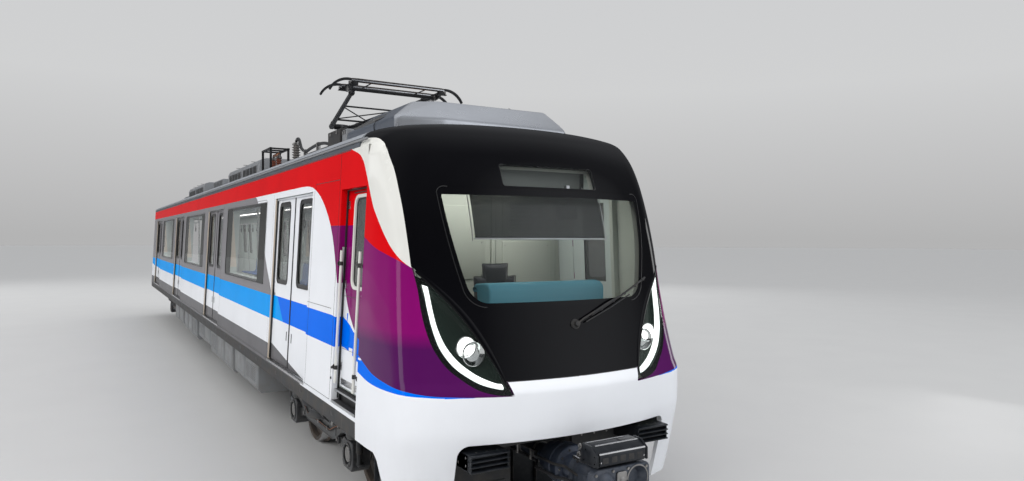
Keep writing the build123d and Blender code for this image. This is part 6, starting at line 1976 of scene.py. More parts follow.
PB_Y, PB_Z = -6.2, RAIL + 3.95
KNEE, HEAD = (-4.95, RAIL + 4.33), (-7.13, RAIL + 4.48)
b = Build(["panto", "steel", "insulator", "insulator_red", "dark", "copper", "hv_cable", "unit", "alu"])
rz = PB_Z - 0.09
for s in (-1, 1):
    for y in (PB_Y - 0.45, PB_Y + 1.10):
        b.box(s * 0.43, s * 0.57, y - 0.07, y + 0.07, RAIL + 3.655, RAIL + 3.675, "steel", 0.004)
        insulator(b, s * 0.5, y, RAIL + 3.672, PB_Z - 0.118, 0.052)
        b.box(s * 0.455, s * 0.545, y - 0.045, y + 0.045, PB_Z - 0.124, PB_Z - 0.112, "panto", 0.003)
    # side rails as channels with stiffened ends
    b.box(s * 0.470, s * 0.530, PB_Y - 0.50, PB_Y + 1.15, rz - 0.030, rz + 0.030, "panto", 0.010, 3)
    b.box(s * 0.474, s * 0.526, PB_Y - 0.498, PB_Y + 1.148, rz - 0.020, rz + 0.020, "dark", 0.004)
    b.prism([(PB_Y - 0.06, rz - 0.01), (PB_Y + 0.06, rz - 0.01), (PB_Y + 0.045, PB_Z + 0.03), (PB_Y + 0.02, PB_Z + 0.055), (PB_Y - 0.02, PB_Z + 0.055), (PB_Y - 0.045, PB_Z + 0.03)], "x", s * 0.402, s * 0.438, "panto", 0.004, 2)
    b.lathe((s * 0.436, PB_Y, PB_Z), (s * 0.462, PB_Y, PB_Z), [(0, 0.034), (0.008, 0.034), (0.012, 0.022), (0.024, 0.020), (0.026, 0.012)], "steel", 20)
    b.lathe((s * 0.404, PB_Y, PB_Z), (s * 0.365, PB_Y, PB_Z), [(0, 0.0185), (0.036, 0.0185)], "steel", 16)
for y in (PB_Y - 0.45, PB_Y, PB_Y + 1.10):
    b.tube([(-0.49, y, rz), (0.49, y, rz)], 0.026, "panto", 14)
    for s in (-1, 1):
        b.lathe((s * 0.475, y, rz), (s * 0.44, y, rz), [(0, 0.042), (0.010, 0.042), (0.014, 0.030), (0.034, 0.028)], "panto", 16)
# lifting springs beside the arm, damper, air bellows and a down stop
for s in (-1, 1):
    x = s * 0.17
    y0, y1 = PB_Y + 0.12, PB_Y + 0.80
    coil = [(x + 0.026 * math.cos(a), y0 + (y1 - y0) * a / (2 * math.pi * 22), rz + 0.01 + 0.026 * math.sin(a)) for a in np.linspace(0, 2 * math.pi * 22, 22 * 10)]
    b.tube(coil, 0.0048, "steel", 5)
    b.tube([(x, y1, rz + 0.01), (x, PB_Y + 1.09, rz + 0.005)], 0.008, "steel", 8)
    b.box(x - 0.03, x + 0.03, PB_Y + 1.06, PB_Y + 1.12, rz - 0.03, rz + 0.04, "panto", 0.006)
    b.box(x - 0.022, x + 0.022, y0 - 0.05, y0 + 0.01, rz - 0.012, rz + 0.034, "panto", 0.006)
b.lathe((0.32, PB_Y + 0.15, rz + 0.005), (0.32, PB_Y + 0.75, rz + 0.005), [(0, 0.012), (0.02, 0.024), (0.33, 0.024), (0.335, 0.012), (0.58, 0.012), (0.60, 0.020)], "alu", 16)
b.box(-0.36, -0.24, PB_Y + 0.30, PB_Y + 0.62, rz - 0.05, rz + 0.035, "panto", 0.012, 3)
for k in range(4):
    b.lathe((-0.30, PB_Y + 0.34 + k * 0.07, rz + 0.03), (-0.30, PB_Y + 0.34 + k * 0.07, rz + 0.05), [(0, 0.012), (0.014, 0.012), (0.018, 0.006)], "steel", 10)
for s in (-1, 1):
    b.box(s * 0.30 - 0.02, s * 0.30 + 0.02, PB_Y - 0.46, PB_Y - 0.40, rz, rz + 0.07, "dark", 0.006)
# power lead from the frame down to a roof bushing, and the arrester row beside the frame
b.tube([(0.40, PB_Y + 1.10, rz), (0.40, PB_Y + 1.26, rz - 0.01), (0.40, PB_Y + 1.42, rz - 0.06), (0.40, PB_Y + 1.46, RAIL + 3.80)], 0.013, "copper", 10)
insulator(b, 0.40, PB_Y + 1.46, RAIL + 3.665, RAIL + 3.80, 0.05, "insulator", 3)
ZR = RAIL + 3.636
insulator(b, -0.86, TIP + 5.58, ZR, ZR + 0.30, 0.058, "insulator", 7)
b.lathe((-0.86, TIP + 5.58, ZR + 0.30), (-0.86, TIP + 5.58, ZR + 0.345), [(0, 0.040), (0.014, 0.040), (0.018, 0.016), (0.045, 0.014)], "steel", 16)
for dy in (0.0, 0.34):
    insulator(b, -0.84, TIP + 6.72 + dy, ZR + 0.02, ZR + 0.22, 0.050, "insulator_red", 4)
    b.lathe((-0.84, TIP + 6.72 + dy, ZR + 0.22), (-0.84, TIP + 6.72 + dy, ZR + 0.26), [(0, 0.045), (0.012, 0.045), (0.016, 0.022), (0.040, 0.020)], "steel", 16)
# isolator frame on posts
for x in (-0.98, -0.72):
    for dy in (-0.10, 0.46):
        b.box(x - 0.016, x + 0.016, TIP + 6.72 + dy - 0.016, TIP + 6.72 + dy + 0.016, ZR - 0.06, ZR + 0.34, "panto", 0.004)
    b.box(x - 0.018, x + 0.018, TIP + 6.60, TIP + 7.20, ZR + 0.325, ZR + 0.355, "panto", 0.005)
for dy in (-0.10, 0.18, 0.46):
    b.box(-0.985, -0.715, TIP + 6.72 + dy - 0.014, TIP + 6.72 + dy + 0.014, ZR + 0.328, ZR + 0.352, "panto", 0.004)
b.prism([(TIP + 6.70, ZR + 0.25), (TIP + 7.10, ZR + 0.25), (TIP + 7.08, ZR + 0.29), (TIP + 6.72, ZR + 0.29)], "x", -0.850, -0.830, "copper", 0.003)
# rigid conduit from the arrester forward, on saddles
path = [(-0.86, TIP + 5.58, ZR + 0.335), (-0.86, TIP + 5.50, ZR + 0.36), (-0.87, TIP + 5.38, ZR + 0.33), (-0.88, TIP + 5.22, ZR + 0.20), (-0.88, TIP + 5.0, ZR + 0.135), (-0.88, TIP + 4.75, ZR + 0.15), (-0.88, TIP + 4.4, ZR + 0.165), (-0.88, TIP + 4.1, ZR + 0.145), (-0.88, TIP + 3.86, ZR + 0.10), (-0.88, TIP + 3.66, ZR + 0.09)]
sm = smooth_line([(p[1], p[2]) for p in path], 6)
xs_p = np.interp([q[0] for q in sm][::-1], [p[1] for p in path][::-1], [p[0] for p in path][::-1])[::-1]
b.tube([(float(x), q[0], q[1]) for x, q in zip(xs_p, sm)], 0.020, "hv_cable", 12)
for dy, zc_ in ((5.0, 0.135), (4.4, 0.165), (3.86, 0.10)):
    b.box(-0.905, -0.855, TIP + dy - 0.020, TIP + dy + 0.020, ZR - 0.04, ZR + zc_ - 0.012, "steel", 0.004)
    b.lathe((-0.88, TIP + dy - 0.018, ZR + zc_), (-0.88, TIP + dy + 0.018, ZR + zc_), [(0, 0.021), (0.003, 0.028), (0.033, 0.028), (0.036, 0.021)], "steel", 16)
# two cases and a step between the fairing and the pantograph
for x0, x1, y0, y1, z1, mat in ((-0.99, -0.66, TIP + 3.16, TIP + 3.62, 0.20, "dark"), (-0.98, -0.70, TIP + 2.97, TIP + 3.12, 0.17, "unit"), (0.66, 0.99, TIP + 3.05, TIP + 3.60, 0.18, "unit")):
    b.box(x0, x1, y0, y1, ZR - 0.06, ZR + z1, mat, 0.012, 3)
    b.box(x0 + 0.02, x1 - 0.02, y0 + 0.02, y1 - 0.02, ZR + z1 - 0.004, ZR + z1 + 0.008, mat, 0.006, 2)
    for x in (x0, x1):
        for k in range(2):
            yy = y0 + (y1 - y0) * (0.25 + 0.5 * k)
            b.box(x - 0.008, x + 0.008, yy - 0.020, yy + 0.020, ZR + z1 - 0.05, ZR + z1 - 0.01, "steel", 0.003)
o = b.done("pantograph_frame", "car_body", "frame_black")
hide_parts("pantograph_base")

# lower arm: tapered tube with gussets, torsion tube, cam plates, control rod
b = Build(["panto", "steel", "dark", "copper", "alu"])
pb, kn = Vector((0, PB_Y, PB_Z)), Vector((0, *KNEE))
arm = kn - pb
up = Vector((0, -arm.z, arm.y)).normalized()
b.lathe((-0.345, PB_Y, PB_Z), (0.345, PB_Y, PB_Z), [(0, 0.030), (0.002, 0.045), (0.03, 0.045), (0.034, 0.040), (0.656, 0.040), (0.66, 0.045), (0.688, 0.045), (0.690, 0.030)], "panto", 28)
L = arm.length
b.lathe(pb, kn, [(0.03, 0.050), (0.10, 0.0465), (L * 0.5, 0.040), (L - 0.09, 0.036), (L - 0.04, 0.040)], "panto", 24)
for s in (-1, 1):
    b.add([(s * 0.010 + q, *(pb + arm * t + up * w)[1:]) for q in (-0.004, 0.004) for t, w in ((0.03, 0.043), (0.22, 0.043), (0.03, 0.095), (0.0, 0.085))],
          [(0, 1, 2, 3), (4, 7, 6, 5), (0, 4, 5, 1), (1, 5, 6, 2), (2, 6, 7, 3), (3, 7, 4, 0)], "panto")
    b.lathe((s * 0.055, *KNEE), (s * 0.108, *KNEE), [(0, 0.036), (0.006, 0.042), (0.046, 0.042), (0.052, 0.034)], "panto", 24)
    cam_pts = [(PB_Y + 0.052 * math.cos(a) * (1.35 if 0.3 < a < 2.2 else 1), PB_Z + 0.052 * math.sin(a) * (1.25 if 0.3 < a < 2.2 else 1)) for a in np.linspace(0, 2 * math.pi, 24, endpoint=False)]
    b.prism(cam_pts, "x", s * 0.160, s * 0.182, "panto", 0.003)
b.lathe((-0.06, *KNEE), (0.06, *KNEE), [(0, 0.045), (0.12, 0.045)], "panto", 24)
for t in (0.25, 0.55, 0.85):
    p = pb + arm * t
    d_ = arm.normalized()
    b.lathe(p - d_ * 0.015, p + d_ * 0.015, [(0, 0.050), (0.004, 0.053), (0.026, 0.053), (0.030, 0.050)], "dark", 20)
b.tube([(0.052, *(pb + arm * t + up * (-0.008))[1:]) for t in np.linspace(0.08, 0.95, 10)], 0.009, "copper", 8)
o = b.done("pantograph_lower", "pantograph_lower", "frame_black")
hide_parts("pantograph_lower_arm")

# upper arm: two converging tubes with a cross brace
b = Build(["panto", "steel", "dark", "copper"])
hd = Vector((0, *HEAD))
for s in (-1, 1):
    a, c = Vector((s * 0.15, *KNEE)), Vector((s * 0.52, *HEAD))
    d_ = (c - a).normalized()
    b.lathe((s * 0.119, *KNEE), (s * 0.174, *KNEE), [(0, 0.032), (0.004, 0.042), (0.050, 0.042), (0.054, 0.034)], "panto", 24)
    b.lathe((s * 0.172, *KNEE), (s * 0.186, *KNEE), [(0, 0.024), (0.010, 0.024), (0.013, 0.016)], "steel", 6)
    L = (c - a).length
    b.lathe(a, c, [(0.0, 0.038), (0.06, 0.038), (0.14, 0.034), (L - 0.10, 0.026), (L - 0.02, 0.028), (L + 0.008, 0.020)], "panto", 20)
    for t in (0.10, 0.92):
        p = a + d_ * L * t
        b.lathe(p - d_ * 0.014, p + d_ * 0.014, [(0, 0.034), (0.004, 0.040), (0.024, 0.040), (0.028, 0.034)], "dark", 16)
p0, p1 = Vector((-0.15, *KNEE)), Vector((-0.52, *HEAD))
q0, q1 = Vector((0.15, *KNEE)), Vector((0.52, *HEAD))
b.tube([p0.lerp(p1, 0.22), q0.lerp(q1, 0.22)], 0.014, "panto", 10)
b.tube([p0.lerp(p1, 0.60), q0.lerp(q1, 0.60)], 0.012, "panto", 10)
b.tube([p0.lerp(p1, 0.24), q0.lerp(q1, 0.58)], 0.009, "panto", 8)
b.tube([q0.lerp(q1, 0.24), p0.lerp(p1, 0.58)], 0.009, "panto", 8)
b.lathe((-0.558, *HEAD), (0.558, *HEAD), [(0, 0.012), (0.006, 0.020), (1.110, 0.020), (1.116, 0.012)], "panto", 20)
o = b.done("pantograph_upper", "pantograph_upper", "frame_black")
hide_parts("pantograph_upper_arm")

# head: two carbon strips on curved carriers, spring boxes and horns
b = Build(["panto", "carbon", "steel", "dark", "copper", "alu"])
HY, HZ = HEAD
for s in (-1, 1):
    b.prism([(HY - 0.22, HZ + 0.02), (HY - 0.22, HZ + 0.058), (HY + 0.22, HZ + 0.058), (HY + 0.22, HZ + 0.02), (HY + 0.07, HZ - 0.028), (HY - 0.07, HZ - 0.028)], "x", s * 0.572, s * 0.598, "panto", 0.004, 2)
    for e in (-1, 1):
        y = HY + e * 0.195
        b.box(s * 0.535, s * 0.612, y - 0.032, y + 0.032, HZ + 0.006, HZ + 0.052, "panto", 0.008, 3)
        coil = [(s * 0.633 + 0.015 * math.cos(a), y + 0.015 * math.sin(a), HZ + 0.016 + 0.040 * a / (2 * math.pi * 5)) for a in np.linspace(0, 2 * math.pi * 5, 60)]
        b.tube(coil, 0.0035, "steel", 5)
        b.box(s * 0.600, s * 0.655, y - 0.024, y + 0.024, HZ + 0.006, HZ + 0.017, "panto", 0.003)
    b.lathe((s * 0.568, HY, HZ), (s * 0.604, HY, HZ), [(0, 0.030), (0.004, 0.034), (0.032, 0.034), (0.036, 0.026)], "steel", 18)
for e in (-1, 1):
    y = HY + e * 0.195
    # carrier channel and carbon in seven butted lengths
    b.box(-0.618, 0.618, y - 0.024, y + 0.024, HZ + 0.060, HZ + 0.074, "alu", 0.003)
    b.box(-0.610, 0.610, y - 0.012, y + 0.012, HZ + 0.048, HZ + 0.062, "panto", 0.003)
    for k in range(5):
        x0 = -0.56 + k * 0.224
        b.box(x0 + 0.002, x0 + 0.222, y - 0.020, y + 0.020, HZ + 0.073, HZ + 0.0945, "carbon", 0.005, 3)
    for s in (-1, 1):
        b.prism([(s * 0.562, HZ + 0.073), (s * 0.618, HZ + 0.073), (s * 0.618, HZ + 0.090), (s * 0.562, HZ + 0.0945)], "y", y - 0.020, y + 0.020, "carbon", 0.003)
        top = arc((0.618, HZ + 0.091), (0.790, HZ + 0.053), (0.893, HZ - 0.066), 16) + [(0.893, HZ - 0.066)]
        low = arc((0.618, HZ + 0.064), (0.768, HZ + 0.030), (0.872, HZ - 0.080), 16) + [(0.872, HZ - 0.080)]
        poly = [(s * u, v) for u, v in top + low[::-1]]
        b.prism(poly, "y", y - 0.018, y + 0.018, "panto", 0.005, 3)
    b.tube([(x, y + e * 0.0, HZ + 0.052) for x in (-0.45, 0.45)], 0.006, "copper", 6)
for x in (-0.36, 0.36):
    b.tube([(x, HY - 0.17, HZ + 0.054), (x, HY + 0.17, HZ + 0.054)], 0.008, "panto", 8)
o = b.done("pantograph_top", "pantograph_top", "frame_black")
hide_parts("pantograph_head")


# ================================================================ wheelsets
def wheel_profile(r_tread, x_back, s):
    """Section of a wheel rim, web and hub as (distance along the axle from the wheel's back, radius)."""
    return [(0.0, 0.090), (-0.010, 0.130), (0.018, 0.160), (0.036, 0.34), (0.002, 0.375), (0.000, 0.440), (0.006, 0.452), (0.014, 0.4575), (0.022, 0.455), (0.029, 0.443),
            (0.036, 0.432), (0.050, 0.4300), (0.110, 0.4285), (0.128, 0.4270), (0.134, 0.421), (0.134, 0.385), (0.125, 0.372), (0.072, 0.35), (0.060, 0.19), (0.090, 0.150),
            (0.155, 0.132), (0.158, 0.100)]


for n, (cy, e) in enumerate(((-BOGIE_Y, -1), (-BOGIE_Y, 1), (BOGIE_Y, -1), (BOGIE_Y, 1)), 1):
    ay = cy + e * WHEEL_BASE / 2
    b = Build(["wheel", "tread", "disc", "steel", "dark", "cast"])
    for s in (-1, 1):
        prof = wheel_profile(0.43, 0.68, s)
        parts = (prof[:11], prof[10:15], prof[14:])
        for k, (pr, mat) in enumerate(zip(parts, ("wheel", "tread", "wheel"))):
            b.lathe((s * 0.68, ay, AXLE_Z), (s * 0.9, ay, AXLE_Z), pr, mat, 72, False)
        b.lathe((s * 0.68, ay, AXLE_Z), (s * 0.9, ay, AXLE_Z), [(0.0, 0.090), (0.158, 0.100)], "wheel", 36, False)
        # balance lightening holes drawn as bosses on the web
        for a in np.linspace(0, 2 * math.pi, 6, endpoint=False):
            p = Vector((s * (0.68 + 0.066), ay + 0.265 * math.cos(a), AXLE_Z + 0.265 * math.sin(a)))
            b.lathe(p - Vector((s * 0.004, 0, 0)), p + Vector((s * 0.012, 0, 0)), [(0, 0.030), (0.012, 0.030), (0.014, 0.020), (0.004, 0.018)], "wheel", 14)
        # axle end with its cap plate, inside the box bore
        b.lathe((s * 0.835, ay, AXLE_Z), (s * 1.093, ay, AXLE_Z), [(0, 0.098), (0.030, 0.098), (0.036, 0.083), (0.22, 0.083), (0.224, 0.078), (0.258, 0.078)], "steel", 32)
        b.bolts([(s * 1.090, ay + 0.045 * math.cos(a), AXLE_Z + 0.045 * math.sin(a)) for a in (0.5, 2.6, 4.7)], (s, 0, 0), 0.011, 0.004)
    b.lathe((-0.69, ay, AXLE_Z), (0.69, ay, AXLE_Z), [(0, 0.088), (0.10, 0.086), (0.16, 0.072), (0.69, 0.070), (1.22, 0.072), (1.28, 0.086), (1.38, 0.088)], "steel", 36)
    # gear wheel case seat and a pair of axle discs
    for x in (-0.42, 0.42):
        b.lathe((x - 0.045, ay, AXLE_Z), (x + 0.045, ay, AXLE_Z), [(0, 0.080), (0.0, 0.255), (0.004, 0.262), (0.030, 0.262), (0.034, 0.255), (0.036, 0.12), (0.054, 0.12), (0.056, 0.255), (0.060, 0.262), (0.086, 0.262), (0.090, 0.255), (0.090, 0.080)], "disc", 48, False)
        for a in np.linspace(0, 2 * math.pi, 20, endpoint=False):
            p = (x, ay + 0.205 * math.cos(a), AXLE_Z + 0.205 * math.sin(a))
            b.box(p[0] - 0.012, p[0] + 0.012, p[1] - 0.010, p[1] + 0.010, p[2] - 0.010, p[2] + 0.010, "dark", 0.002, 1)
    o = b.done(f"wheels_{n}", f"axle_{n}", "steel", 30)
    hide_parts(f"wheelset_{n}")


# ================================================================ bogies
def coil_spring(b, x, y, z0, z1, r, wire, turns, mat="spring", seg=10):
    path = [(x + r * math.cos(a), y + r * math.sin(a), z0 + (z1 - z0) * a / (2 * math.pi * turns)) for a in np.linspace(0, 2 * math.pi * turns, int(turns * 20))]
    b.tube(path, wire, mat, seg)


FRAME_SIDE = [(-1.45, 0.640), (-1.45, 0.700), (-1.38, 0.716), (-0.86, 0.724), (-0.74, 0.705), (-0.52, 0.608), (-0.42, 0.592), (0.42, 0.592), (0.52, 0.608), (0.74, 0.705), (0.86, 0.724), (1.38, 0.716),
              (1.45, 0.700), (1.45, 0.640), (1.38, 0.632), (0.90, 0.596), (0.80, 0.570), (0.60, 0.462), (0.50, 0.434), (-0.50, 0.434), (-0.60, 0.462), (-0.80, 0.570), (-0.90, 0.596), (-1.38, 0.632)]
for n, (cy, name) in enumerate(((-BOGIE_Y, "front"), (BOGIE_Y, "rear"))):
    b = Build(["frame", "spring", "steel", "dark", "air_rubber", "case", "under", "hv_cable", "copper", "rubber", "cast"])
    for s in (-1, 1):
        # box-section side frame with flange strips
        b.prism([(cy + y, RAIL + z) for y, z in FRAME_SIDE], "x", s * 0.935, s * 1.065, "frame", 0.008, 2)
        for side_x_ in (0.932, 1.062):
            top = [(y, z) for y, z in FRAME_SIDE[1:13]]
            for pts, dz in ((FRAME_SIDE[1:13], -0.010), (FRAME_SIDE[13:] + [], 0.010)):
                strip = [(cy + y, RAIL + z + (0.0 if dz < 0 else 0.0)) for y, z in pts] + [(cy + y, RAIL + z + dz) for y, z in pts[::-1]]
                b.prism(strip, "x", s * (side_x_ - 0.008), s * (side_x_ + 0.008), "frame", 0.002, 1)
        # pressed stiffeners on the outer face
        for y in (-1.16, -0.62, 0.62, 1.16):
            b.box(s * 1.060, s * 1.072, cy + y - 0.012, cy + y + 0.012, RAIL + (0.60 if abs(y) > 1 else 0.50), RAIL + (0.70 if abs(y) > 1 else 0.60), "frame", 0.003)
        for e in (-1, 1):
            ay = cy + e * WHEEL_BASE / 2
            # axle box: cast body with a round bore end, cover plate with bolts, arm to the frame
            body = [(-0.165, -0.10), (-0.165, 0.12), (-0.13, 0.15), (0.13, 0.15), (0.165, 0.12), (0.165, -0.10), (0.12, -0.15), (-0.12, -0.15)]
            o_ = len(b.v)
            outer_ring = [(ay + 0.0 + q[0], AXLE_Z + q[1]) for q in body]
            seg = 48
            ring_out, ring_in = [], []
            P = np.array(outer_ring)
            for k in range(seg):
                a = 2 * math.pi * k / seg
                d_ = np.array([math.cos(a), math.sin(a)])
                best = 9
                for i in range(len(P)):
                    p0, p1 = P[i] - [ay, AXLE_Z], P[(i + 1) % len(P)] - [ay, AXLE_Z]
                    e_ = p1 - p0
                    det = d_[0] * -e_[1] + d_[1] * e_[0]
                    if abs(det) < 1e-9:
                        continue
                    t = (p0[0] * -e_[1] + p0[1] * e_[0]) / det
                    u = (d_[0] * p0[1] - d_[1] * p0[0]) / det
                    if t > 0 and -1e-6 <= u <= 1 + 1e-6:
                        best = min(best, t)
                ring_out.append((ay + d_[0] * best, AXLE_Z + d_[1] * best))
                ring_in.append((ay + d_[0] * 0.0955, AXLE_Z + d_[1] * 0.0955))
            xs_ = [(0.908, ring_in), (0.908, ring_out), (1.085, ring_out), (1.092, [(ay + (p[0] - ay) * 0.965, AXLE_Z + (p[1] - AXLE_Z) * 0.965) for p in ring_out]), (1.092, ring_in), (0.908, ring_in)]
            verts = [(s * x, p[0], p[1]) for x, rg in xs_ for p in rg]
            faces = [(q * seg + k, q * seg + (k + 1) % seg, (q + 1) * seg + (k + 1) % seg, (q + 1) * seg + k) for q in range(len(xs_) - 1) for k in range(seg)]
            b.add(verts, faces, "cast")
            b.lathe((s * 1.088, ay, AXLE_Z), (s * 1.104, ay, AXLE_Z), [(0, 0.098), (0.0, 0.128), (0.010, 0.128), (0.013, 0.120), (0.013, 0.0975)], "cast", 40, False)
            b.bolts([(s * 1.100, ay + 0.113 * math.cos(a), AXLE_Z + 0.113 * math.sin(a)) for a in np.linspace(0.26, 6.54, 8, endpoint=False)], (s, 0, 0), 0.011, 0.007)
            # rubber-steel primary spring in its pots
            b.lathe((s * 1.0, ay, AXLE_Z + 0.135), (s * 1.0, ay, RAIL + 0.655), [(0, 0.105), (0.012, 0.105), (0.018, 0.070), (0.150, 0.070), (0.0, 0.070)][:4], "frame", 28)
            coil_spring(b, s * 1.0, ay, AXLE_Z + 0.150, RAIL + 0.612, 0.080, 0.0115, 2.2)
            b.lathe((s * 1.0, ay, RAIL + 0.600), (s * 1.0, ay, RAIL + 0.735), [(0, 0.100), (0.010, 0.104), (0.125, 0.098), (0.133, 0.06)], "frame", 28)
            # link from the axle box to the side frame
            b.prism([(ay - e * 0.15, AXLE_Z - 0.055), (ay - e * 0.15, AXLE_Z + 0.055), (ay - e * 0.40, AXLE_Z + 0.085), (ay - e * 0.46, AXLE_Z + 0.045), (ay - e * 0.42, AXLE_Z + 0.005)], "x", s * 0.955, s * 1.045, "cast", 0.012, 2)
            b.lathe((s * 0.940, ay - e * 0.425, AXLE_Z + 0.045), (s * 1.068, ay - e * 0.425, AXLE_Z + 0.045), [(0, 0.030), (0.008, 0.048), (0.120, 0.048), (0.128, 0.030)], "rubber", 20)
            b.bolts([(s * 1.066, ay - e * 0.425, AXLE_Z + 0.045)], (s, 0, 0), 0.022, 0.012)
            # vertical damper outside the frame
            yd = ay + e * 0.235
            b.lathe((s * 1.045, yd, RAIL + 0.360), (s * 1.045, yd, RAIL + 0.650), [(0, 0.015), (0.01, 0.026), (0.13, 0.026), (0.135, 0.034), (0.262, 0.034), (0.270, 0.018), (0.29, 0.016)], "dark", 18)
            b.box(s * 0.99, s * 1.06, ay + e * 0.15, yd + e * 0.03, AXLE_Z - 0.075, AXLE_Z - 0.045, "cast", 0.008)
            # brake calliper reaching to the wheel tread: hanger, block and cylinder
            yb = ay - e * 0.475
            b.box(s * 0.70, s * 0.86, yb - 0.055 + e * 0.0, yb + 0.040, RAIL + 0.455, RAIL + 0.60, "dark", 0.016, 3)
            b.lathe((s * 0.78, yb - e * 0.13, RAIL + 0.53), (s * 0.78, yb - e * 0.02, RAIL + 0.53), [(0, 0.050), (0.012, 0.072), (0.080, 0.074), (0.095, 0.050), (0.11, 0.03)], "dark", 22)
            block_ = arc((ay - e * 0.434 * math.cos(0.42), AXLE_Z - 0.434 * math.sin(0.42)), (ay - e * 0.434, AXLE_Z), (ay - e * 0.434 * math.cos(0.42), AXLE_Z + 0.434 * math.sin(0.42)), 12)
            far = [(ay - e * 0.475 * math.cos(0.36), AXLE_Z + 0.475 * math.sin(0.36)), (ay - e * 0.482, AXLE_Z), (ay - e * 0.475 * math.cos(0.36), AXLE_Z - 0.475 * math.sin(0.36))]
            b.prism([(y + -e * 0.006, z) for y, z in block_ + [(ay - e * 0.434 * math.cos(0.42), AXLE_Z + 0.434 * math.sin(0.42))] + far], "x", s * 0.722, s * 0.808, "cast", 0.004)
        # air spring: base dish, rubber bellows, top plate
        z0 = RAIL
        b.lathe((s * 1.0, cy, z0 + 0.582), (s * 1.0, cy, z0 + 0.95), [(0.0, 0.198), (0.012, 0.205), (0.020, 0.200), (0.070, 0.150), (0.120, 0.140)], "frame", 44)
        b.lathe((s * 1.0, cy, z0 + 0.582), (s * 1.0, cy, z0 + 0.95), [(0.100, 0.150), (0.118, 0.200), (0.140, 0.238), (0.170, 0.262), (0.205, 0.270), (0.240, 0.264), (0.268, 0.246), (0.286, 0.250), (0.300, 0.262), (0.306, 0.276)], "air_rubber", 48, False)
        b.lathe((s * 1.0, cy, z0 + 0.582), (s * 1.0, cy, z0 + 0.95), [(0.304, 0.20), (0.306, 0.292), (0.312, 0.298), (0.352, 0.298), (0.3575, 0.292), (0.3575, 0.20)], "frame", 48)
        # lateral and yaw dampers
        b.lathe((s * 1.105, cy - 0.66, RAIL + 0.66), (s * 1.105, cy + 0.02, RAIL + 0.70), [(0, 0.014), (0.02, 0.030), (0.06, 0.030), (0.065, 0.018), (0.26, 0.018), (0.265, 0.036), (0.60, 0.036), (0.62, 0.020), (0.68, 0.018)], "dark", 20)
        for yy, zz in ((-0.66, 0.66), (0.02, 0.70)):
            b.lathe((s * 1.060, cy + yy, RAIL + zz), (s * 1.128, cy + yy, RAIL + zz), [(0, 0.030), (0.006, 0.034), (0.062, 0.034), (0.068, 0.026)], "steel", 18)
        # pipes and cable run along the frame
        for k, (dx, dz) in enumerate(((0.0, 0.0), (0.014, 0.0), (0.0, 0.016))):
            b.tube([(s * (1.076 + dx * 0), cy - 1.32, RAIL + 0.655 + dz + dx), (s * 1.078, cy - 0.86, RAIL + 0.665 + dz + dx), (s * 1.078, cy - 0.60, RAIL + 0.575 + dz + dx), (s * 1.078, cy - 0.45, RAIL + 0.515 + dz + dx), (s * 1.078, cy + 0.45, RAIL + 0.515 + dz + dx),
                    (s * 1.078, cy + 0.60, RAIL + 0.575 + dz + dx), (s * 1.078, cy + 0.86, RAIL + 0.665 + dz + dx), (s * 1.076, cy + 1.32, RAIL + 0.655 + dz + dx)], 0.0065, ("dark", "copper", "hv_cable")[k], 6)
        for y in (-1.1, -0.75, -0.35, 0.0, 0.35, 0.75, 1.1):
            zz = np.interp(abs(y), [0, 0.45, 0.6, 0.86, 1.32], [0.515, 0.515, 0.575, 0.665, 0.655])
            b.box(s * 1.064, s * 1.088, cy + y - 0.014, cy + y + 0.014, RAIL + zz - 0.014, RAIL + zz + 0.032, "steel", 0.003)
        # lifting lugs
        for e in (-1, 1):
            b.prism([(cy + e * 1.30, RAIL + 0.700), (cy + e * 1.42, RAIL + 0.696), (cy + e * 1.40, RAIL + 0.745), (cy + e * 1.32, RAIL + 0.750)], "x", s * 0.985, s * 1.015, "frame", 0.004)
    # crossbeam with rounded edges, pin housing, motors and brackets
    b.prism([(cy - 0.23, RAIL + 0.445), (cy - 0.23, RAIL + 0.555), (cy - 0.20, RAIL + 0.572), (cy + 0.20, RAIL + 0.572), (cy + 0.23, RAIL + 0.555), (cy + 0.23, RAIL + 0.445), (cy + 0.20, RAIL + 0.432), (cy - 0.20, RAIL + 0.432)], "x", -1.0, 1.0, "frame", 0.008, 2)
    b.lathe((0, cy, RAIL + 0.50), (0, cy, UNDER - 0.008), [(0, 0.20), (0.09, 0.20), (0.10, 0.15), (0.22, 0.148), (0.225, 0.17), (0.27, 0.17), (0.275, 0.15), (0.442, 0.15)], "frame", 40)
    for e in (-1, 1):
        my = cy + e * 0.56
        prof = [(0.0, 0.12), (0.006, 0.195), (0.020, 0.208)]
        for k in range(11):
            p = 0.035 + k * 0.055
            prof += [(p, 0.208), (p + 0.006, 0.196), (p + 0.030, 0.196), (p + 0.036, 0.208)]
        prof += [(0.645, 0.208), (0.655, 0.195), (0.66, 0.12)]
        b.lathe((-0.33, my, AXLE_Z), (0.33, my, AXLE_Z), prof, "case", 40)
        b.prism([(cy + e * 0.20, AXLE_Z - 0.095), (cy + e * 0.47, AXLE_Z - 0.095), (cy + e * 0.47, RAIL + 0.555), (cy + e * 0.20, RAIL + 0.555)], "x", -0.325, 0.325, "frame", 0.014, 2)
        b.box(-0.16, 0.16, my - 0.10, my + 0.10, AXLE_Z + 0.185, AXLE_Z + 0.245, "case", 0.014, 3)
        b.tube([(0.12, my, AXLE_Z + 0.24), (0.14, my - e * 0.10, AXLE_Z + 0.31), (0.20, my - e * 0.25, AXLE_Z + 0.33), (0.30, cy + e * 0.12, AXLE_Z + 0.30)], 0.020, "hv_cable", 10)
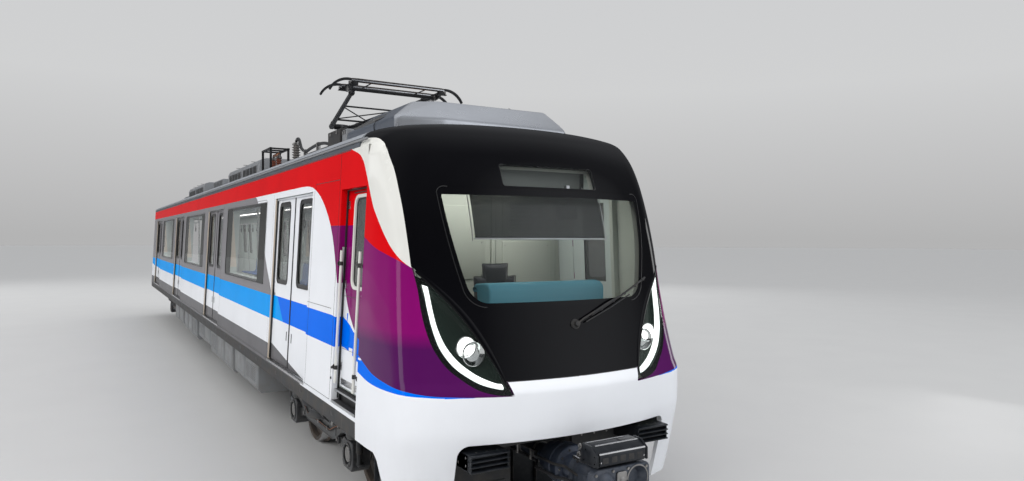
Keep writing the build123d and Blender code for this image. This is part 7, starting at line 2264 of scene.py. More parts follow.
        b.tube([(-0.12, my, AXLE_Z + 0.24), (-0.14, my - e * 0.10, AXLE_Z + 0.31), (-0.20, my - e * 0.25, AXLE_Z + 0.33), (-0.30, cy + e * 0.12, AXLE_Z + 0.30)], 0.020, "hv_cable", 10)
    o = b.done(f"bogie_{name}_body", f"bogie_{name}", "frame_grey", 30)
    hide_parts(f"bogie_frame_{name}")


# ================================================================ underframe and what hangs from it
skin_keys = {"underframe": "under"}
b = Build(["under", "steel", "case", "dark", "sill_grey", "rubber", "hv_cable", "copper", "frame", "alu"])
b.box(-1.45, 1.45, TIP + 1.24, END, UNDER + 0.004, FLOOR - 0.001, "under", 0.006, 2)
b.box(-1.15, 1.15, TIP + 0.42, TIP + 1.24, UNDER + 0.004, FLOOR - 0.001, "under", 0.006, 2)
for s in (-1, 1):
    # sole bar: lower flange, ribs and tie-down slots
    b.box(s * 1.40, s * 1.449, TIP + 1.26, END - 0.01, UNDER, UNDER + 0.014, "under", 0.004)
    b.box(s * 1.443, s * 1.4515, TIP + 1.98, END - 0.01, FLOOR - 0.028, FLOOR - 0.008, "sill_grey", 0.003)
    for y in np.arange(TIP + 1.6, END - 0.2, 0.562):
        b.box(s * 1.436, s * 1.4505, y - 0.010, y + 0.010, UNDER + 0.012, FLOOR - 0.030, "under", 0.003)
    for y in np.arange(TIP + 1.88, END - 0.2, 1.124):
        n = len(b.v)
        b.prism(rounded(y - 0.055, y + 0.055, UNDER + 0.060, UNDER + 0.105, 0.021, 5), "x", s * 1.4475, s * 1.4508, "dark", 0.0008)
    # jacking pads
    for y in (-5.75, 5.75):
        b.box(s * 1.292, s * 1.428, y - 0.068, y + 0.068, UNDER - 0.025, UNDER + 0.004, "steel", 0.005)
        b.box(s * 1.31, s * 1.41, y - 0.05, y + 0.05, UNDER - 0.0252, UNDER - 0.018, "steel", 0.002)
    # pipe and cable ducts under the floor edge
    for k, (x, dz, r, mat) in enumerate(((1.375, -0.028, 0.014, "hv_cable"), (1.340, -0.028, 0.014, "steel"))):
        for ya, yb in ((TIP + 1.30, -8.95), (-6.25, -5.95), (-5.45, 5.45), (5.95, 6.25), (8.95, END - 0.05)):
            b.tube([(s * x, ya, UNDER + dz), (s * x, yb, UNDER + dz)], r, mat, 8)
            for y in np.arange(ya + 0.15, yb - 0.05, 0.9):
                b.box(s * (x - 0.020), s * (x + 0.020), y - 0.012, y + 0.012, UNDER + dz - 0.018, UNDER + 0.006, "steel", 0.003)
# floor underside beams, shallower near the bogies
for y in np.arange(TIP + 1.6, END - 0.3, 0.9):
    if min(abs(y + BOGIE_Y), abs(y - BOGIE_Y)) > 0.5:
        b.box(-1.30, 1.30, y - 0.018, y + 0.018, UNDER - 0.006 if min(abs(y + BOGIE_Y), abs(y - BOGIE_Y)) < 1.7 else UNDER - 0.018, UNDER + 0.008, "under", 0.004)
o = b.done("underframe_body", "car_body", "frame_black")
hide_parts("underframe")

b = Build(["case", "steel", "dark", "grille", "rubber", "under", "alu", "gasket", "hv_cable"])
BOXES = [(-5.3, -3.5, 0.25, 1.30, 0.420), (-3.3, -0.9, 0.25, 1.30, 0.380), (-0.7, 0.9, 0.20, 1.28, 0.450), (1.1, 3.3, 0.25, 1.30, 0.380), (3.5, 5.3, 0.25, 1.30, 0.430)]
for i, (y0, y1, xi, xo, low) in enumerate(BOXES):
    zb = RAIL + low
    for s in (-1, 1):
        ch_ = 0.06
        sec = [(s * xi, UNDER - 0.001), (s * xi, zb + 0.004), (s * (xo - ch_), zb + 0.004), (s * (xo - 0.008), zb + ch_ + 0.004), (s * (xo - 0.008), UNDER - 0.001)]
        b.prism(sec, "y", y0, y1, "case", 0.010, 3)
        # hanger flange to the floor
        b.box(s * (xo - 0.05), s * (xo - 0.002), y0 - 0.03, y1 + 0.03, UNDER - 0.030, UNDER - 0.001, "steel", 0.004)
        b.bolts([(s * (xo - 0.004), y, UNDER - 0.015) for y in np.arange(y0 + 0.1, y1, 0.28)], (s, 0, 0), 0.010, 0.006)
        doors = 3 if y1 - y0 > 2.0 else 2
        w = (y1 - y0) / doors
        for k in range(doors):
            a, c = y0 + k * w + 0.035, y0 + (k + 1) * w - 0.035
            zt = UNDER - 0.055
            b.box(s * (xo - 0.012), s * (xo - 0.0005), a, c, zb + 0.085, zt, "case", 0.006, 2)
            # pressed field in the door
            ring_ = rounded(a + 0.05, c - 0.05, zb + 0.125, zt - 0.04, 0.03, 5)
            b.tube([(s * (xo - 0.001), u, v) for u, v in ring_], 0.0035, "case", 6, closed=True)
            kind = (i + k) % 3
            if kind == 0:
                for q in range(int((zt - zb - 0.24) / 0.024)):
                    zz = zb + 0.155 + q * 0.024
                    n = len(b.v)
                    b.box(-0.008, 0.003, a + 0.09, c - 0.09, -0.0015, 0.0015, "grille", 0.0008, 1)
                    b.map(lambda X, Y, Z, s=s, zz=zz, xo=xo: (s * (xo + X), Y, zz - X * 0.9 + Z), n)
            elif kind == 1:
                for q in range(3):
                    b.box(s * (xo - 0.003), s * (xo + 0.0), a + 0.10, c - 0.10, zb + 0.19 + q * 0.09, zb + 0.20 + q * 0.09, "case", 0.002)
            # latches below, hinges above
            for y in (a + 0.10, c - 0.10):
                b.box(s * (xo - 0.006), s * (xo + 0.0), y - 0.030, y + 0.030, zb + 0.095, zb + 0.125, "steel", 0.003)
                b.lathe((s * (xo - 0.004), y, zb + 0.110), (s * (xo + 0.0), y, zb + 0.110), [(0, 0.012), (0.003, 0.012), (0.004, 0.008)], "dark", 12)
                b.tube([(s * (xo - 0.006), y - 0.035, zt + 0.004), (s * (xo - 0.006), y + 0.035, zt + 0.004)], 0.006, "steel", 8)
        # bottom drain plugs
        for y in (y0 + 0.25, y1 - 0.25):
            b.lathe((s * (xi + xo) / 2, y, zb + 0.006), (s * (xi + xo) / 2, y, zb), [(0, 0.030), (0.004, 0.028), (0.006, 0.018)], "steel", 16)
    # conduits between the two rows
    for k, x in enumerate((-0.10, -0.03, 0.05, 0.12)):
        b.tube([(x, y0 - 0.10, UNDER - 0.04 - 0.02 * (k % 2)), (x, y1 + 0.10, UNDER - 0.04 - 0.02 * (k % 2))], 0.018 if k % 2 else 0.012, ("hv_cable", "steel")[k % 2], 8)
# cable looms in the gaps between cases
for (ya, yb) in ((-3.5, -3.3), (-0.9, -0.7), (0.9, 1.1), (3.3, 3.5)):
    for s in (-1, 1):
        for q in range(4):
            z = RAIL + 0.60 + q * 0.07
            b.tube([(s * (1.02 + 0.03 * q), ya - 0.01, z), (s * (1.04 + 0.03 * q), (ya + yb) / 2, z - 0.03), (s * (1.02 + 0.03 * q), yb + 0.01, z)], 0.013, "hv_cable", 8)
            for y in (ya + 0.012, yb - 0.012):
                g = -1 if y > (ya + yb) / 2 else 1
                b.lathe((s * (1.02 + 0.03 * q), y - g * 0.018, z), (s * (1.02 + 0.03 * q), y + g * 0.020, z), [(0, 0.019), (0.030, 0.019), (0.036, 0.014)], "steel", 8)
o = b.done("underfloor_cases", "car_body", "frame_grey")
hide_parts("underfloor_equipment")


# ================================================================ couplers
def radial(poly, c, seg):
    """Points where rays from c meet a closed convex outline."""
    P = np.array(poly, float) - np.array(c)
    out = []
    for k in range(seg):
        a = 2 * math.pi * k / seg
        dx_, dy_ = math.cos(a), math.sin(a)
        best = 9.0
        for i in range(len(P)):
            p0, p1 = P[i], P[(i + 1) % len(P)]
            ex, ey = p1 - p0
            det = dx_ * -ey + dy_ * ex
            if abs(det) < 1e-12:
                continue
            t = (p0[0] * -ey + p0[1] * ex) / det
            u = (dx_ * p0[1] - dy_ * p0[0]) / det
            if t > 1e-9 and -1e-6 <= u <= 1 + 1e-6:
                best = min(best, t)
        out.append((c[0] + dx_ * best, c[1] + dy_ * best))
    return out


CY, CZ = -COUPLER_Y, COUPLER_Z
M["head_cast"] = grimy("coupler_head_grey", (0.055, 0.066, 0.088), 0.42, (0.20, 0.20, 0.21), 0.28, 0.5, 16.0)
M["eh_black"] = grimy("electric_head_black", (0.009, 0.011, 0.015), 0.38, (0.08, 0.085, 0.09), 0.20, 0.35, 14.0)
M["gear_navy"] = grimy("draft_gear_navy", (0.018, 0.026, 0.045), 0.35, (0.12, 0.12, 0.12), 0.25, 0.3, 10.0)
b = Build(["head_cast", "gear_navy", "dark", "steel", "rubber", "alu", "copper", "cast", "gasket", "sill_grey", "tread", "eh_black"])
# face plate with a cone and a cup
face = rounded(-0.27, 0.27, CZ - 0.175, CZ + 0.170, 0.045, 6)
hole = (0.150, CZ + 0.060)
seg = 64
far = radial(face, hole, seg)
near = [(hole[0] + 0.090 * math.cos(2 * math.pi * k / seg), hole[1] + 0.090 * math.sin(2 * math.pi * k / seg)) for k in range(seg)]


def grow(pts, f, c=(0.0, CZ)):
    return [(c[0] + (x - c[0]) * f, c[1] + (z - c[1]) * f) for x, z in pts]


rings = [(CY + 0.095, [(hole[0] + 0.045 * math.cos(2 * math.pi * k / seg), hole[1] + 0.045 * math.sin(2 * math.pi * k / seg)) for k in range(seg)]),
         (CY + 0.032, near), (CY + 0.028, grow(near, 1.03, hole)), (CY + 0.028, grow(far, 0.975)), (CY + 0.034, far), (CY + 0.088, far), (CY + 0.094, grow(far, 0.97)), (CY + 0.094, grow(near, 0.6, hole))]
verts = [(x, y, z) for y, pts in rings for x, z in pts]
faces = [(q * seg + k, q * seg + (k + 1) % seg, (q + 1) * seg + (k + 1) % seg, (q + 1) * seg + k) for q in range(len(rings) - 1) for k in range(seg)]
b.add(verts, faces, "head_cast")
b.add([(x, y - 0.001, z) for y, pts in rings[:1] for x, z in pts], [tuple(range(seg))], "dark")
b.lathe((hole[0], CY + 0.030, hole[1]), (hole[0], CY, hole[1]), [(0, 0.102), (0.006, 0.102), (0.008, 0.092)], "steel", 40, False)
b.lathe((-0.150, CY + 0.028, CZ + 0.060), (-0.150, CY, CZ + 0.060), [(0, 0.086), (0.005, 0.083), (0.020, 0.060), (0.0265, 0.040), (0.028, 0.015)], "head_cast", 40)
# hook plate in its slot between cone and cup, pivot and air connections
b.prism(rounded(-0.052, 0.040, CZ - 0.02, CZ + 0.135, 0.018, 5), "y", CY + 0.014, CY + 0.040, "steel", 0.004)
b.lathe((0.0, CY + 0.030, CZ + 0.060), (0.0, CY + 0.006, CZ + 0.060), [(0, 0.034), (0.016, 0.034), (0.020, 0.026), (0.024, 0.012)], "steel", 26)
for x, z, r in ((0.120, -0.090, 0.024), (-0.120, -0.095, 0.034), (0.0, -0.110, 0.028), (0.045, 0.045, 0.016)):
    b.lathe((x, CY + 0.030, CZ + z), (x, CY + 0.004, CZ + z), [(0, r * 1.25), (0.006, r * 1.25), (0.008, r), (0.022, r), (0.026, r * 0.82)], "cast", 24, False)
    b.lathe((x, CY + 0.030, CZ + z), (x, CY + 0.010, CZ + z), [(0, r * 0.8), (0.010, r * 0.8), (0.008, r * 0.5), (0.0, r * 0.4)], "rubber", 24)
b.bolts([(x, CY + 0.030, CZ + z) for x in (-0.235, 0.235) for z in (-0.135, 0.0, 0.135)] + [(x, CY + 0.030, CZ + 0.145) for x in (-0.08, 0.06)], (0, -1, 0), 0.013, 0.010)
# head casting behind the plate: tapered body with ribs
sec = [(CY + 0.085, 0.235, 0.155), (CY + 0.12, 0.205, 0.150), (CY + 0.30, 0.185, 0.146), (CY + 0.40, 0.150, 0.135), (CY + 0.46, 0.125, 0.122)]
k = 40
verts = []
for y, hw, hh in sec:
    verts += [(x, y, CZ + z) for x, z in radial(rounded(-hw, hw, -hh, hh, min(hw, hh) * 0.45, 6), (0, 0), k)]
faces = [(q * k + i, q * k + (i + 1) % k, (q + 1) * k + (i + 1) % k, (q + 1) * k + i) for q in range(len(sec) - 1) for i in range(k)]
faces += [tuple(range(k))[::-1], tuple((len(sec) - 1) * k + i for i in range(k))]
b.add(verts, faces, "head_cast")
for x in (-0.205, 0.205):
    b.prism([(CY + 0.09, CZ - 0.12), (CY + 0.09, CZ + 0.12), (CY + 0.22, CZ + 0.08), (CY + 0.22, CZ - 0.08)], "x", x - 0.008, x + 0.008, "head_cast", 0.003)
for z in (-0.150, 0.138):
    b.prism([(-0.17, CY + 0.10), (0.17, CY + 0.10), (0.10, CY + 0.34), (-0.10, CY + 0.34)], "z", CZ + z, CZ + z + 0.012, "head_cast", 0.003)
# uncoupling cylinder and cam on the head's side
b.lathe((-0.215, CY + 0.14, CZ - 0.03), (-0.215, CY + 0.36, CZ - 0.03), [(0, 0.018), (0.02, 0.032), (0.15, 0.032), (0.155, 0.014), (0.21, 0.013)], "dark", 20)
b.lathe((0.19, CY + 0.22, CZ + 0.05), (0.225, CY + 0.22, CZ + 0.05), [(0, 0.040), (0.010, 0.040), (0.014, 0.026), (0.030, 0.024)], "steel", 20)
# shank: collar, draft gear drum with ribs, tube and pivot eye
b.lathe((0, CY + 0.40, CZ), (0, -COUPLER_PIVOT_Y, CZ),
        [(0.0, 0.105), (0.020, 0.120), (0.060, 0.120), (0.064, 0.132), (0.090, 0.132), (0.094, 0.112), (0.130, 0.112), (0.150, 0.118)], "head_cast", 40)
drum = [(0.145, 0.09), (0.150, 0.118), (0.160, 0.125), (0.215, 0.128), (0.225, 0.150), (0.232, 0.168), (0.240, 0.174), (0.262, 0.174), (0.270, 0.164), (0.335, 0.164), (0.342, 0.172), (0.362, 0.172), (0.370, 0.164),
        (0.420, 0.164), (0.430, 0.150), (0.500, 0.146), (0.524, 0.140), (0.530, 0.095)]
b.lathe((0, CY + 0.40, CZ), (0, -COUPLER_PIVOT_Y, CZ), drum, "gear_navy", 48)
b.bolts([(0.142 * math.cos(a), CY + 0.630, CZ + 0.142 * math.sin(a)) for a in np.linspace(0, 2 * math.pi, 10, endpoint=False)], (0, -1, 0), 0.012, 0.012)
Ls = -COUPLER_PIVOT_Y - (CY + 0.92)
b.lathe((0, CY + 0.92, CZ), (0, -COUPLER_PIVOT_Y, CZ), [(0, 0.095), (0.02, 0.095), (0.03, 0.082), (Ls - 0.22, 0.080), (Ls - 0.20, 0.082), (Ls - 0.06, 0.082), (Ls - 0.02, 0.06)], "gear_navy", 36)
b.lathe((0, -COUPLER_PIVOT_Y, CZ - 0.12), (0, -COUPLER_PIVOT_Y, CZ + 0.12), [(0, 0.060), (0.006, 0.080), (0.234, 0.080), (0.24, 0.060)], "gear_navy", 36)
b.lathe((0, -COUPLER_PIVOT_Y, CZ - 0.128), (0, -COUPLER_PIVOT_Y, CZ + 0.128), [(0, 0.030), (0.006, 0.036), (0.250, 0.036), (0.256, 0.030)], "steel", 24)
# pipes clipped along the shank
for x, z, r, mat in ((-0.128, 0.035, 0.011, "dark"), (-0.120, -0.045, 0.014, "rubber"), (0.130, 0.020, 0.014, "rubber"), (0.118, -0.055, 0.010, "steel")):
    b.tube([(x * 1.35, CY + 0.22, CZ + z), (x * 1.20, CY + 0.42, CZ + z), (x * 1.10, CY + 0.56, CZ + z * 1.3), (x * 1.42, CY + 0.64, CZ + z * 1.3), (x * 1.42, CY + 0.93, CZ + z * 1.3), (x * 0.80, CY + 1.02, CZ + z), (x * 0.75, -COUPLER_PIVOT_Y - 0.25, CZ + z)], r, mat, 8)
for y in (CY + 1.10, CY + 1.32, CY + 1.52):
    b.lathe((0, y, CZ), (0, y + 0.03, CZ), [(0, 0.086), (0.004, 0.090), (0.026, 0.090), (0.030, 0.086)], "steel", 28)
    for x in (-0.098, 0.098):
        b.box(x - 0.016, x + 0.016, y, y + 0.03, CZ - 0.055, CZ + 0.045, "steel", 0.005)
# electric head: case with sloping lid, end cheeks, cover flap, guide pins and hoses
ez0, ez1 = CZ + 0.186, CZ + 0.336
b.prism([(CY + 0.032, ez0), (CY + 0.032, ez1 - 0.048), (CY + 0.090, ez1 - 0.010), (CY + 0.215, ez1 - 0.008), (CY + 0.236, ez1 - 0.030), (CY + 0.236, ez0)], "x", -0.222, 0.222, "eh_black", 0.007, 3)
for s in (-1, 1):
    b.prism([(CY + 0.012, ez0 + 0.006), (CY + 0.012, ez1 - 0.056), (CY + 0.080, ez1 - 0.004), (CY + 0.17, ez1 - 0.002), (CY + 0.205, ez1 - 0.04), (CY + 0.205, ez0 + 0.006)], "x", s * 0.222, s * 0.2395, "eh_black", 0.004, 2)
    b.bolts([(s * 0.2385, CY + y, ez0 + q) for y, q in ((0.04, 0.03), (0.04, 0.08), (0.17, 0.03), (0.15, 0.11))], (s, 0, 0), 0.008, 0.001, "tread")
    b.box(s * 0.062, s * 0.128, CY + 0.085, CY + 0.228, CZ + 0.138, CZ + 0.190, "cast", 0.006)
    b.lathe((s * 0.200, CY + 0.034, ez0 + 0.040), (s * 0.200, CY + 0.001, ez0 + 0.040), [(0, 0.015), (0.016, 0.015), (0.020, 0.012), (0.023, 0.004)], "tread", 18)
    b.lathe((s * 0.150, CY + 0.10, CZ + 0.160), (s * 0.150, CY + 0.42, CZ + 0.160), [(0, 0.014), (0.004, 0.017), (0.316, 0.017), (0.32, 0.014)], "tread", 16)
b.prism([(CY + 0.018, ez0 + 0.010), (CY + 0.0115, ez0 + 0.018), (CY + 0.0115, ez1 - 0.066), (CY + 0.020, ez1 - 0.054), (CY + 0.034, ez1 - 0.050), (CY + 0.034, ez0 + 0.010)], "x", -0.214, 0.214, "eh_black", 0.003, 2)
b.tube([(-0.214, CY + 0.0225, ez1 - 0.052), (0.214, CY + 0.0225, ez1 - 0.052)], 0.0085, "tread", 12)
b.tube([(-0.200, CY + 0.092, ez1 - 0.008), (0.200, CY + 0.092, ez1 - 0.008)], 0.0065, "tread", 10)
b.tube([(-0.210, CY + 0.185, ez1 - 0.006), (0.150, CY + 0.185, ez1 - 0.006)], 0.0055, "tread", 10)
b.box(0.060, 0.205, CY + 0.100, CY + 0.165, ez1 - 0.012, ez1 - 0.0015, "cast", 0.004)
for k_ in range(5):
    b.box(-0.185 + 0.080 * k_, -0.135 + 0.080 * k_, CY + 0.0105, CY + 0.014, ez0 + 0.028, ez1 - 0.078, "dark", 0.002)
# cluster of connectors and hoses at the near end, kept against the case
for k_, (y_, z_) in enumerate(((0.235, 0.115), (0.205, 0.060), (0.250, 0.050), (0.225, 0.010))):
    b.lathe((-0.222, CY + y_, ez0 + z_), (-0.2395, CY + y_, ez0 + z_), [(0, 0.019), (0.006, 0.019), (0.008, 0.014), (0.017, 0.012)], ("steel", "cast", "steel", "cast")[k_], 14)
for x, r_, m_ in ((-0.150, 0.016, "rubber"), (-0.060, 0.018, "rubber"), (0.060, 0.018, "rubber"), (0.150, 0.016, "rubber")):
    b.lathe((x, CY + 0.225, ez0 + 0.06), (x, CY + 0.275, ez0 + 0.06), [(0, 0.026), (0.010, 0.026), (0.012, 0.020), (0.042, 0.018), (0.050, 0.014)], "alu", 16)
    b.tube([(x, CY + 0.262, ez0 + 0.06), (x, CY + 0.330, ez0 + 0.045), (x * 0.9, CY + 0.385, ez0 - 0.020), (x * 0.8, CY + 0.40, CZ + 0.112)], r_, m_, 10)
b.box(-0.03, 0.03, CY + 0.08, CY + 0.228, CZ + 0.148, ez0 + 0.004, "cast", 0.006)
o = b.done("coupler_head", "coupler", "frame_black", 32)
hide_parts("front_coupler")

# ---------------------------------------------------------------- anticlimbers
b = Build(["dark", "steel", "cast", "under", "eh_black"])
for s in (-1, 1):
    b.box(s * 0.632, s * 0.958, TIP + 0.125, TIP + 0.42, RAIL + 0.902, RAIL + 1.038, "eh_black", 0.010, 3)
    for k in range(4):
        z0 = RAIL + 0.903 + 0.038 * k
        sec = [(TIP + 0.130, z0 - 0.0), (TIP + 0.080, z0 + 0.001), (TIP + 0.0705, z0 + 0.006), (TIP + 0.0705, z0 + 0.012), (TIP + 0.080, z0 + 0.017), (TIP + 0.130, z0 + 0.018)]
        b.prism(sec, "x", s * 0.631, s * 0.959, "eh_black", 0.0015, 2)
    for x in (0.633, 0.946):
        b.prism([(TIP + 0.085, RAIL + 0.905), (TIP + 0.30, RAIL + 0.901), (TIP + 0.41, RAIL + 0.93), (TIP + 0.41, RAIL + 1.035), (TIP + 0.085, RAIL + 1.035)], "x", s * x, s * (x + 0.012), "eh_black", 0.003)
    b.bolts([(s * 0.960, TIP + d, RAIL + z) for d in (0.17, 0.29, 0.38) for z in (0.945, 1.005)], (s, 0, 0), 0.011, 0.0, "steel")
    b.bolts([(s * (0.70 + 0.09 * k), TIP + 0.15 + 0.0, RAIL + 1.037) for k in range(3)], (0, 0, 1), 0.011, 0.003, "steel")
    for x in (0.70, 0.89):
        b.prism([(TIP + 0.40, RAIL + 0.92), (TIP + 0.40, RAIL + 1.035), (TIP + 0.62, UNDER - 0.002), (TIP + 0.74, UNDER - 0.002)], "x", s * (x - 0.008), s * (x + 0.008), "under", 0.003)
# deflector plates under the front, left and right of the coupler, joined below it
for s in (-1, 1):
    plate = [(s * 0.315, RAIL + 0.93), (s * 1.10, RAIL + 0.93), (s * 1.10, RAIL + 0.40), (s * 1.02, RAIL + 0.20), (s * 0.44, RAIL + 0.16), (s * 0.315, RAIL + 0.20)]
    b.prism(plate, "y", TIP + 0.60, TIP + 0.612, "dark", 0.003)
    for x in (0.42, 0.70, 0.98):
        b.prism([(TIP + 0.612, RAIL + 0.93), (TIP + 0.80, UNDER - 0.001), (TIP + 0.84, UNDER - 0.001), (TIP + 0.70, RAIL + 0.60), (TIP + 0.612, RAIL + 0.32)], "x", s * (x - 0.006), s * (x + 0.006), "dark", 0.002)
    b.box(s * 0.37, s * 1.09, TIP + 0.594, TIP + 0.604, RAIL + 0.60, RAIL + 0.63, "dark", 0.003)
    b.box(s * 0.37, s * 1.02, TIP + 0.594, TIP + 0.604, RAIL + 0.24, RAIL + 0.27, "dark", 0.003)
    b.bolts([(s * (0.42 + 0.14 * k), TIP + 0.600, RAIL + 0.89) for k in range(5)], (0, -1, 0), 0.010, 0.007, "steel")
    b.box(s * 0.36, s * 1.10, TIP + 0.60, TIP + 0.66, RAIL + 0.925, RAIL + 0.94, "under", 0.003)
# equipment tray and cases behind the draft gear, ahead of the bogie
b.box(-1.16, 1.16, TIP + 1.560, TIP + 1.575, RAIL + 0.13, RAIL + 0.955, "eh_black", 0.006)
for k in range(9):
    b.box(-1.08 + 0.27 * k - 0.006, -1.08 + 0.27 * k + 0.006, TIP + 1.530, TIP + 1.565, RAIL + 0.15, RAIL + 0.95, "dark", 0.002)
for x0, x1, y0, y1, z0 in ((-1.14, -0.62, 1.12, 1.50, 0.46), (0.62, 1.14, 1.12, 1.50, 0.46), (-0.58, -0.34, 1.22, 1.50, 0.58), (0.34, 0.58, 1.22, 1.50, 0.58)):
    b.box(x0, x1, TIP + y0, TIP + y1, RAIL + z0, RAIL + 0.955, "under", 0.018, 3)
    b.box(x0 + 0.03, x1 - 0.03, TIP + y0 - 0.010, TIP + y0 + 0.004, RAIL + z0 + 0.04, RAIL + 0.90, "under", 0.006, 2)
    b.bolts([(x, TIP + y0 - 0.010, RAIL + z) for x in (x0 + 0.05, x1 - 0.05) for z in (z0 + 0.06, 0.88)], (0, -1, 0), 0.009, 0.006, "steel")
b.box(-0.45, 0.45, TIP + 0.598, TIP + 0.614, RAIL + 0.17, RAIL + 0.42, "dark", 0.004)
# head stock across the front of the underframe
b.box(-1.12, 1.12, TIP + 0.405, TIP + 0.43, RAIL + 0.985, FLOOR - 0.02, "under", 0.006)
for x in np.arange(-1.0, 1.01, 0.25):
    b.box(x - 0.006, x + 0.006, TIP + 0.395, TIP + 0.41, RAIL + 0.99, FLOOR - 0.03, "under", 0.002)
o = b.done("anticlimber_pair", "car_body", "frame_black")
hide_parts("anticlimbers")

# ---------------------------------------------------------------- draft gear brackets
b = Build(["under", "steel", "frame"])
for e in (-1, 1):
    y0, y1 = e * (COUPLER_PIVOT_Y - 0.33), e * (COUPLER_PIVOT_Y - 0.11)
    for s in (-1, 1):
        b.prism([(y0, UNDER - 0.001), (y1, UNDER - 0.001), (y1, RAIL + 0.64), ((y0 + y1) / 2, RAIL + 0.622), (y0, RAIL + 0.66)], "x", s * 0.120, s * 0.168, "under", 0.006, 2)
    b.box(-0.165, 0.165, y0 + e * 0.01, y0 + e * 0.06, RAIL + 0.63, UNDER - 0.001, "under", 0.006)
    b.box(-0.165, 0.165, y1 - e * 0.05, y1, RAIL + 0.66, UNDER - 0.001, "under", 0.008)
    for z in (0.70, 0.78, 0.86):
        for s in (-1, 1):
            b.bolts([(s * 0.166, (y0 + y1) / 2 + q, RAIL + z) for q in (-0.06, 0.06)], (s, 0, 0), 0.013, 0.004)
    b.box(-0.169, 0.169, min(y0, y1) + 0.005, max(y0, y1) - 0.005, UNDER - 0.016, UNDER - 0.001, "steel", 0.003)
o = b.done("draft_gear_mounts", "car_body", "frame_black")
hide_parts("draft_gear_brackets")

# ---------------------------------------------------------------- rear drawbar
b = Build(["gear_navy", "steel", "rubber", "head_cast"])
py = COUPLER_PIVOT_Y
b.lathe((0, py - 0.07, CZ), (0, COUPLER_Y, CZ), [(0.0, 0.05), (0.02, 0.075), (0.30, 0.075), (0.32, 0.090), (0.36, 0.090), (0.38, 0.072), (1.20, 0.072), (1.24, 0.095), (1.70, 0.095), (1.74, 0.078), (1.80, 0.080),
                                                (1.83, 0.148), (1.835, 0.150), (1.866, 0.150), (1.870, 0.146)], "gear_navy", 44)
b.lathe((0, py, CZ - 0.11), (0, py, CZ + 0.11), [(0, 0.060), (0.006, 0.080), (0.214, 0.080), (0.22, 0.060)], "gear_navy", 36)
b.lathe((0, py, CZ - 0.118), (0, py, CZ + 0.118), [(0, 0.030), (0.006, 0.034), (0.230, 0.034), (0.236, 0.030)], "steel", 20)
for a in np.linspace(0, 2 * math.pi, 8, endpoint=False):
    p = (0.12 * math.cos(a), COUPLER_Y - 0.04, CZ + 0.12 * math.sin(a))
    b.bolts([p], (0, -1, 0), 0.017, 0.014)
for y in (py + 0.62, py + 0.85):
    b.lathe((0, y, CZ), (0, y + 0.05, CZ), [(0, 0.076), (0.006, 0.084), (0.044, 0.084), (0.05, 0.076)], "rubber", 32)
o = b.done("drawbar_rear", "drawbar", "frame_black")
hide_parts("rear_drawbar")


# ================================================================ rear end
skin = cad_skin("rear_end_wall")
c, n = skin.centres(), face_normals(skin)
z = np.where(n[:, 1] > 0.5, "white", "interior").astype(object)
skin_piece("end_wall_skin", skin, z, "car_body", angle=30)
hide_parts("rear_end_wall")
b = Build(["white", "stainless", "gasket", "steel", "dark", "alu", "frame", "rubber", "ivory", "roof_dark"])
ye = END
for s in (-1, 1):
    # corner post, grab rails, socket boxes, vertical panel swages
    b.box(s * 0.90, s * 0.925, ye - 0.003, ye + 0.018, FLOOR + 0.02, RAIL + 3.36, "white", 0.005)
    b.box(s * 1.16, s * 1.175, ye - 0.003, ye + 0.010, FLOOR + 0.06, RAIL + 3.30, "white", 0.004)
    b.tube([(s * 1.25, ye + 0.002, RAIL + 1.45), (s * 1.25, ye + 0.055, RAIL + 1.48), (s * 1.25, ye + 0.055, RAIL + 2.55), (s * 1.25, ye + 0.002, RAIL + 2.58)], 0.014, "ivory", 12)
    for z_ in (1.45, 2.58):
        b.lathe((s * 1.25, ye, RAIL + z_), (s * 1.25, ye + 0.010, RAIL + z_), [(0, 0.028), (0.007, 0.028), (0.010, 0.018)], "ivory", 16)
    b.box(s * 0.97, s * 1.12, ye - 0.002, ye + 0.085, RAIL + 1.30, RAIL + 1.52, "frame", 0.012, 3)
    for q in range(2):
        z_ = RAIL + 1.36 + q * 0.10
        b.lathe((s * 1.045, ye + 0.080, z_), (s * 1.045, ye + 0.115, z_), [(0, 0.038), (0.010, 0.038), (0.012, 0.030), (0.028, 0.030), (0.034, 0.024)], "steel", 22)
        b.lathe((s * 1.045, ye + 0.112, z_), (s * 1.045, ye + 0.118, z_), [(0, 0.024), (0.005, 0.020)], "rubber", 18)
    # rung steps up the end
    for k in range(6):
        z_ = RAIL + 1.75 + 0.26 * k
        if z_ > RAIL + 3.2:
            break
        b.tube([(s * 0.96, ye + 0.0, z_), (s * 0.96, ye + 0.045, z_), (s * 1.13, ye + 0.045, z_), (s * 1.13, ye + 0.0, z_)], 0.009, "stainless", 8)
    # blank tail marker lamps
    b.lathe((s * 1.20, ye - 0.001, RAIL + 2.95), (s * 1.20, ye + 0.024, RAIL + 2.95), [(0, 0.050), (0.014, 0.050), (0.018, 0.042), (0.024, 0.030)], "dark", 26)
# head panel with a louvre
b.box(-0.62, 0.62, ye - 0.002, ye + 0.012, FLOOR + 2.235, RAIL + 3.55, "white", 0.006)
for k in range(5):
    b.box(-0.40, 0.40, ye + 0.010, ye + 0.016, FLOOR + 2.27 - 0.0 + k * 0.012, FLOOR + 2.275 + k * 0.012, "dark", 0.001, 1)
b.box(-1.42, 1.42, ye - 0.004, ye + 0.010, FLOOR - 0.060, FLOOR - 0.004, "frame", 0.004)
b.done("end_wall_fittings", "car_body", "body_paint")

# bellows: a double wall with rounded folds
b = Build(["bellows", "alu", "steel", "rubber", "dark", "floor_covering"])
steps = 28
zc = FLOOR + 1.07


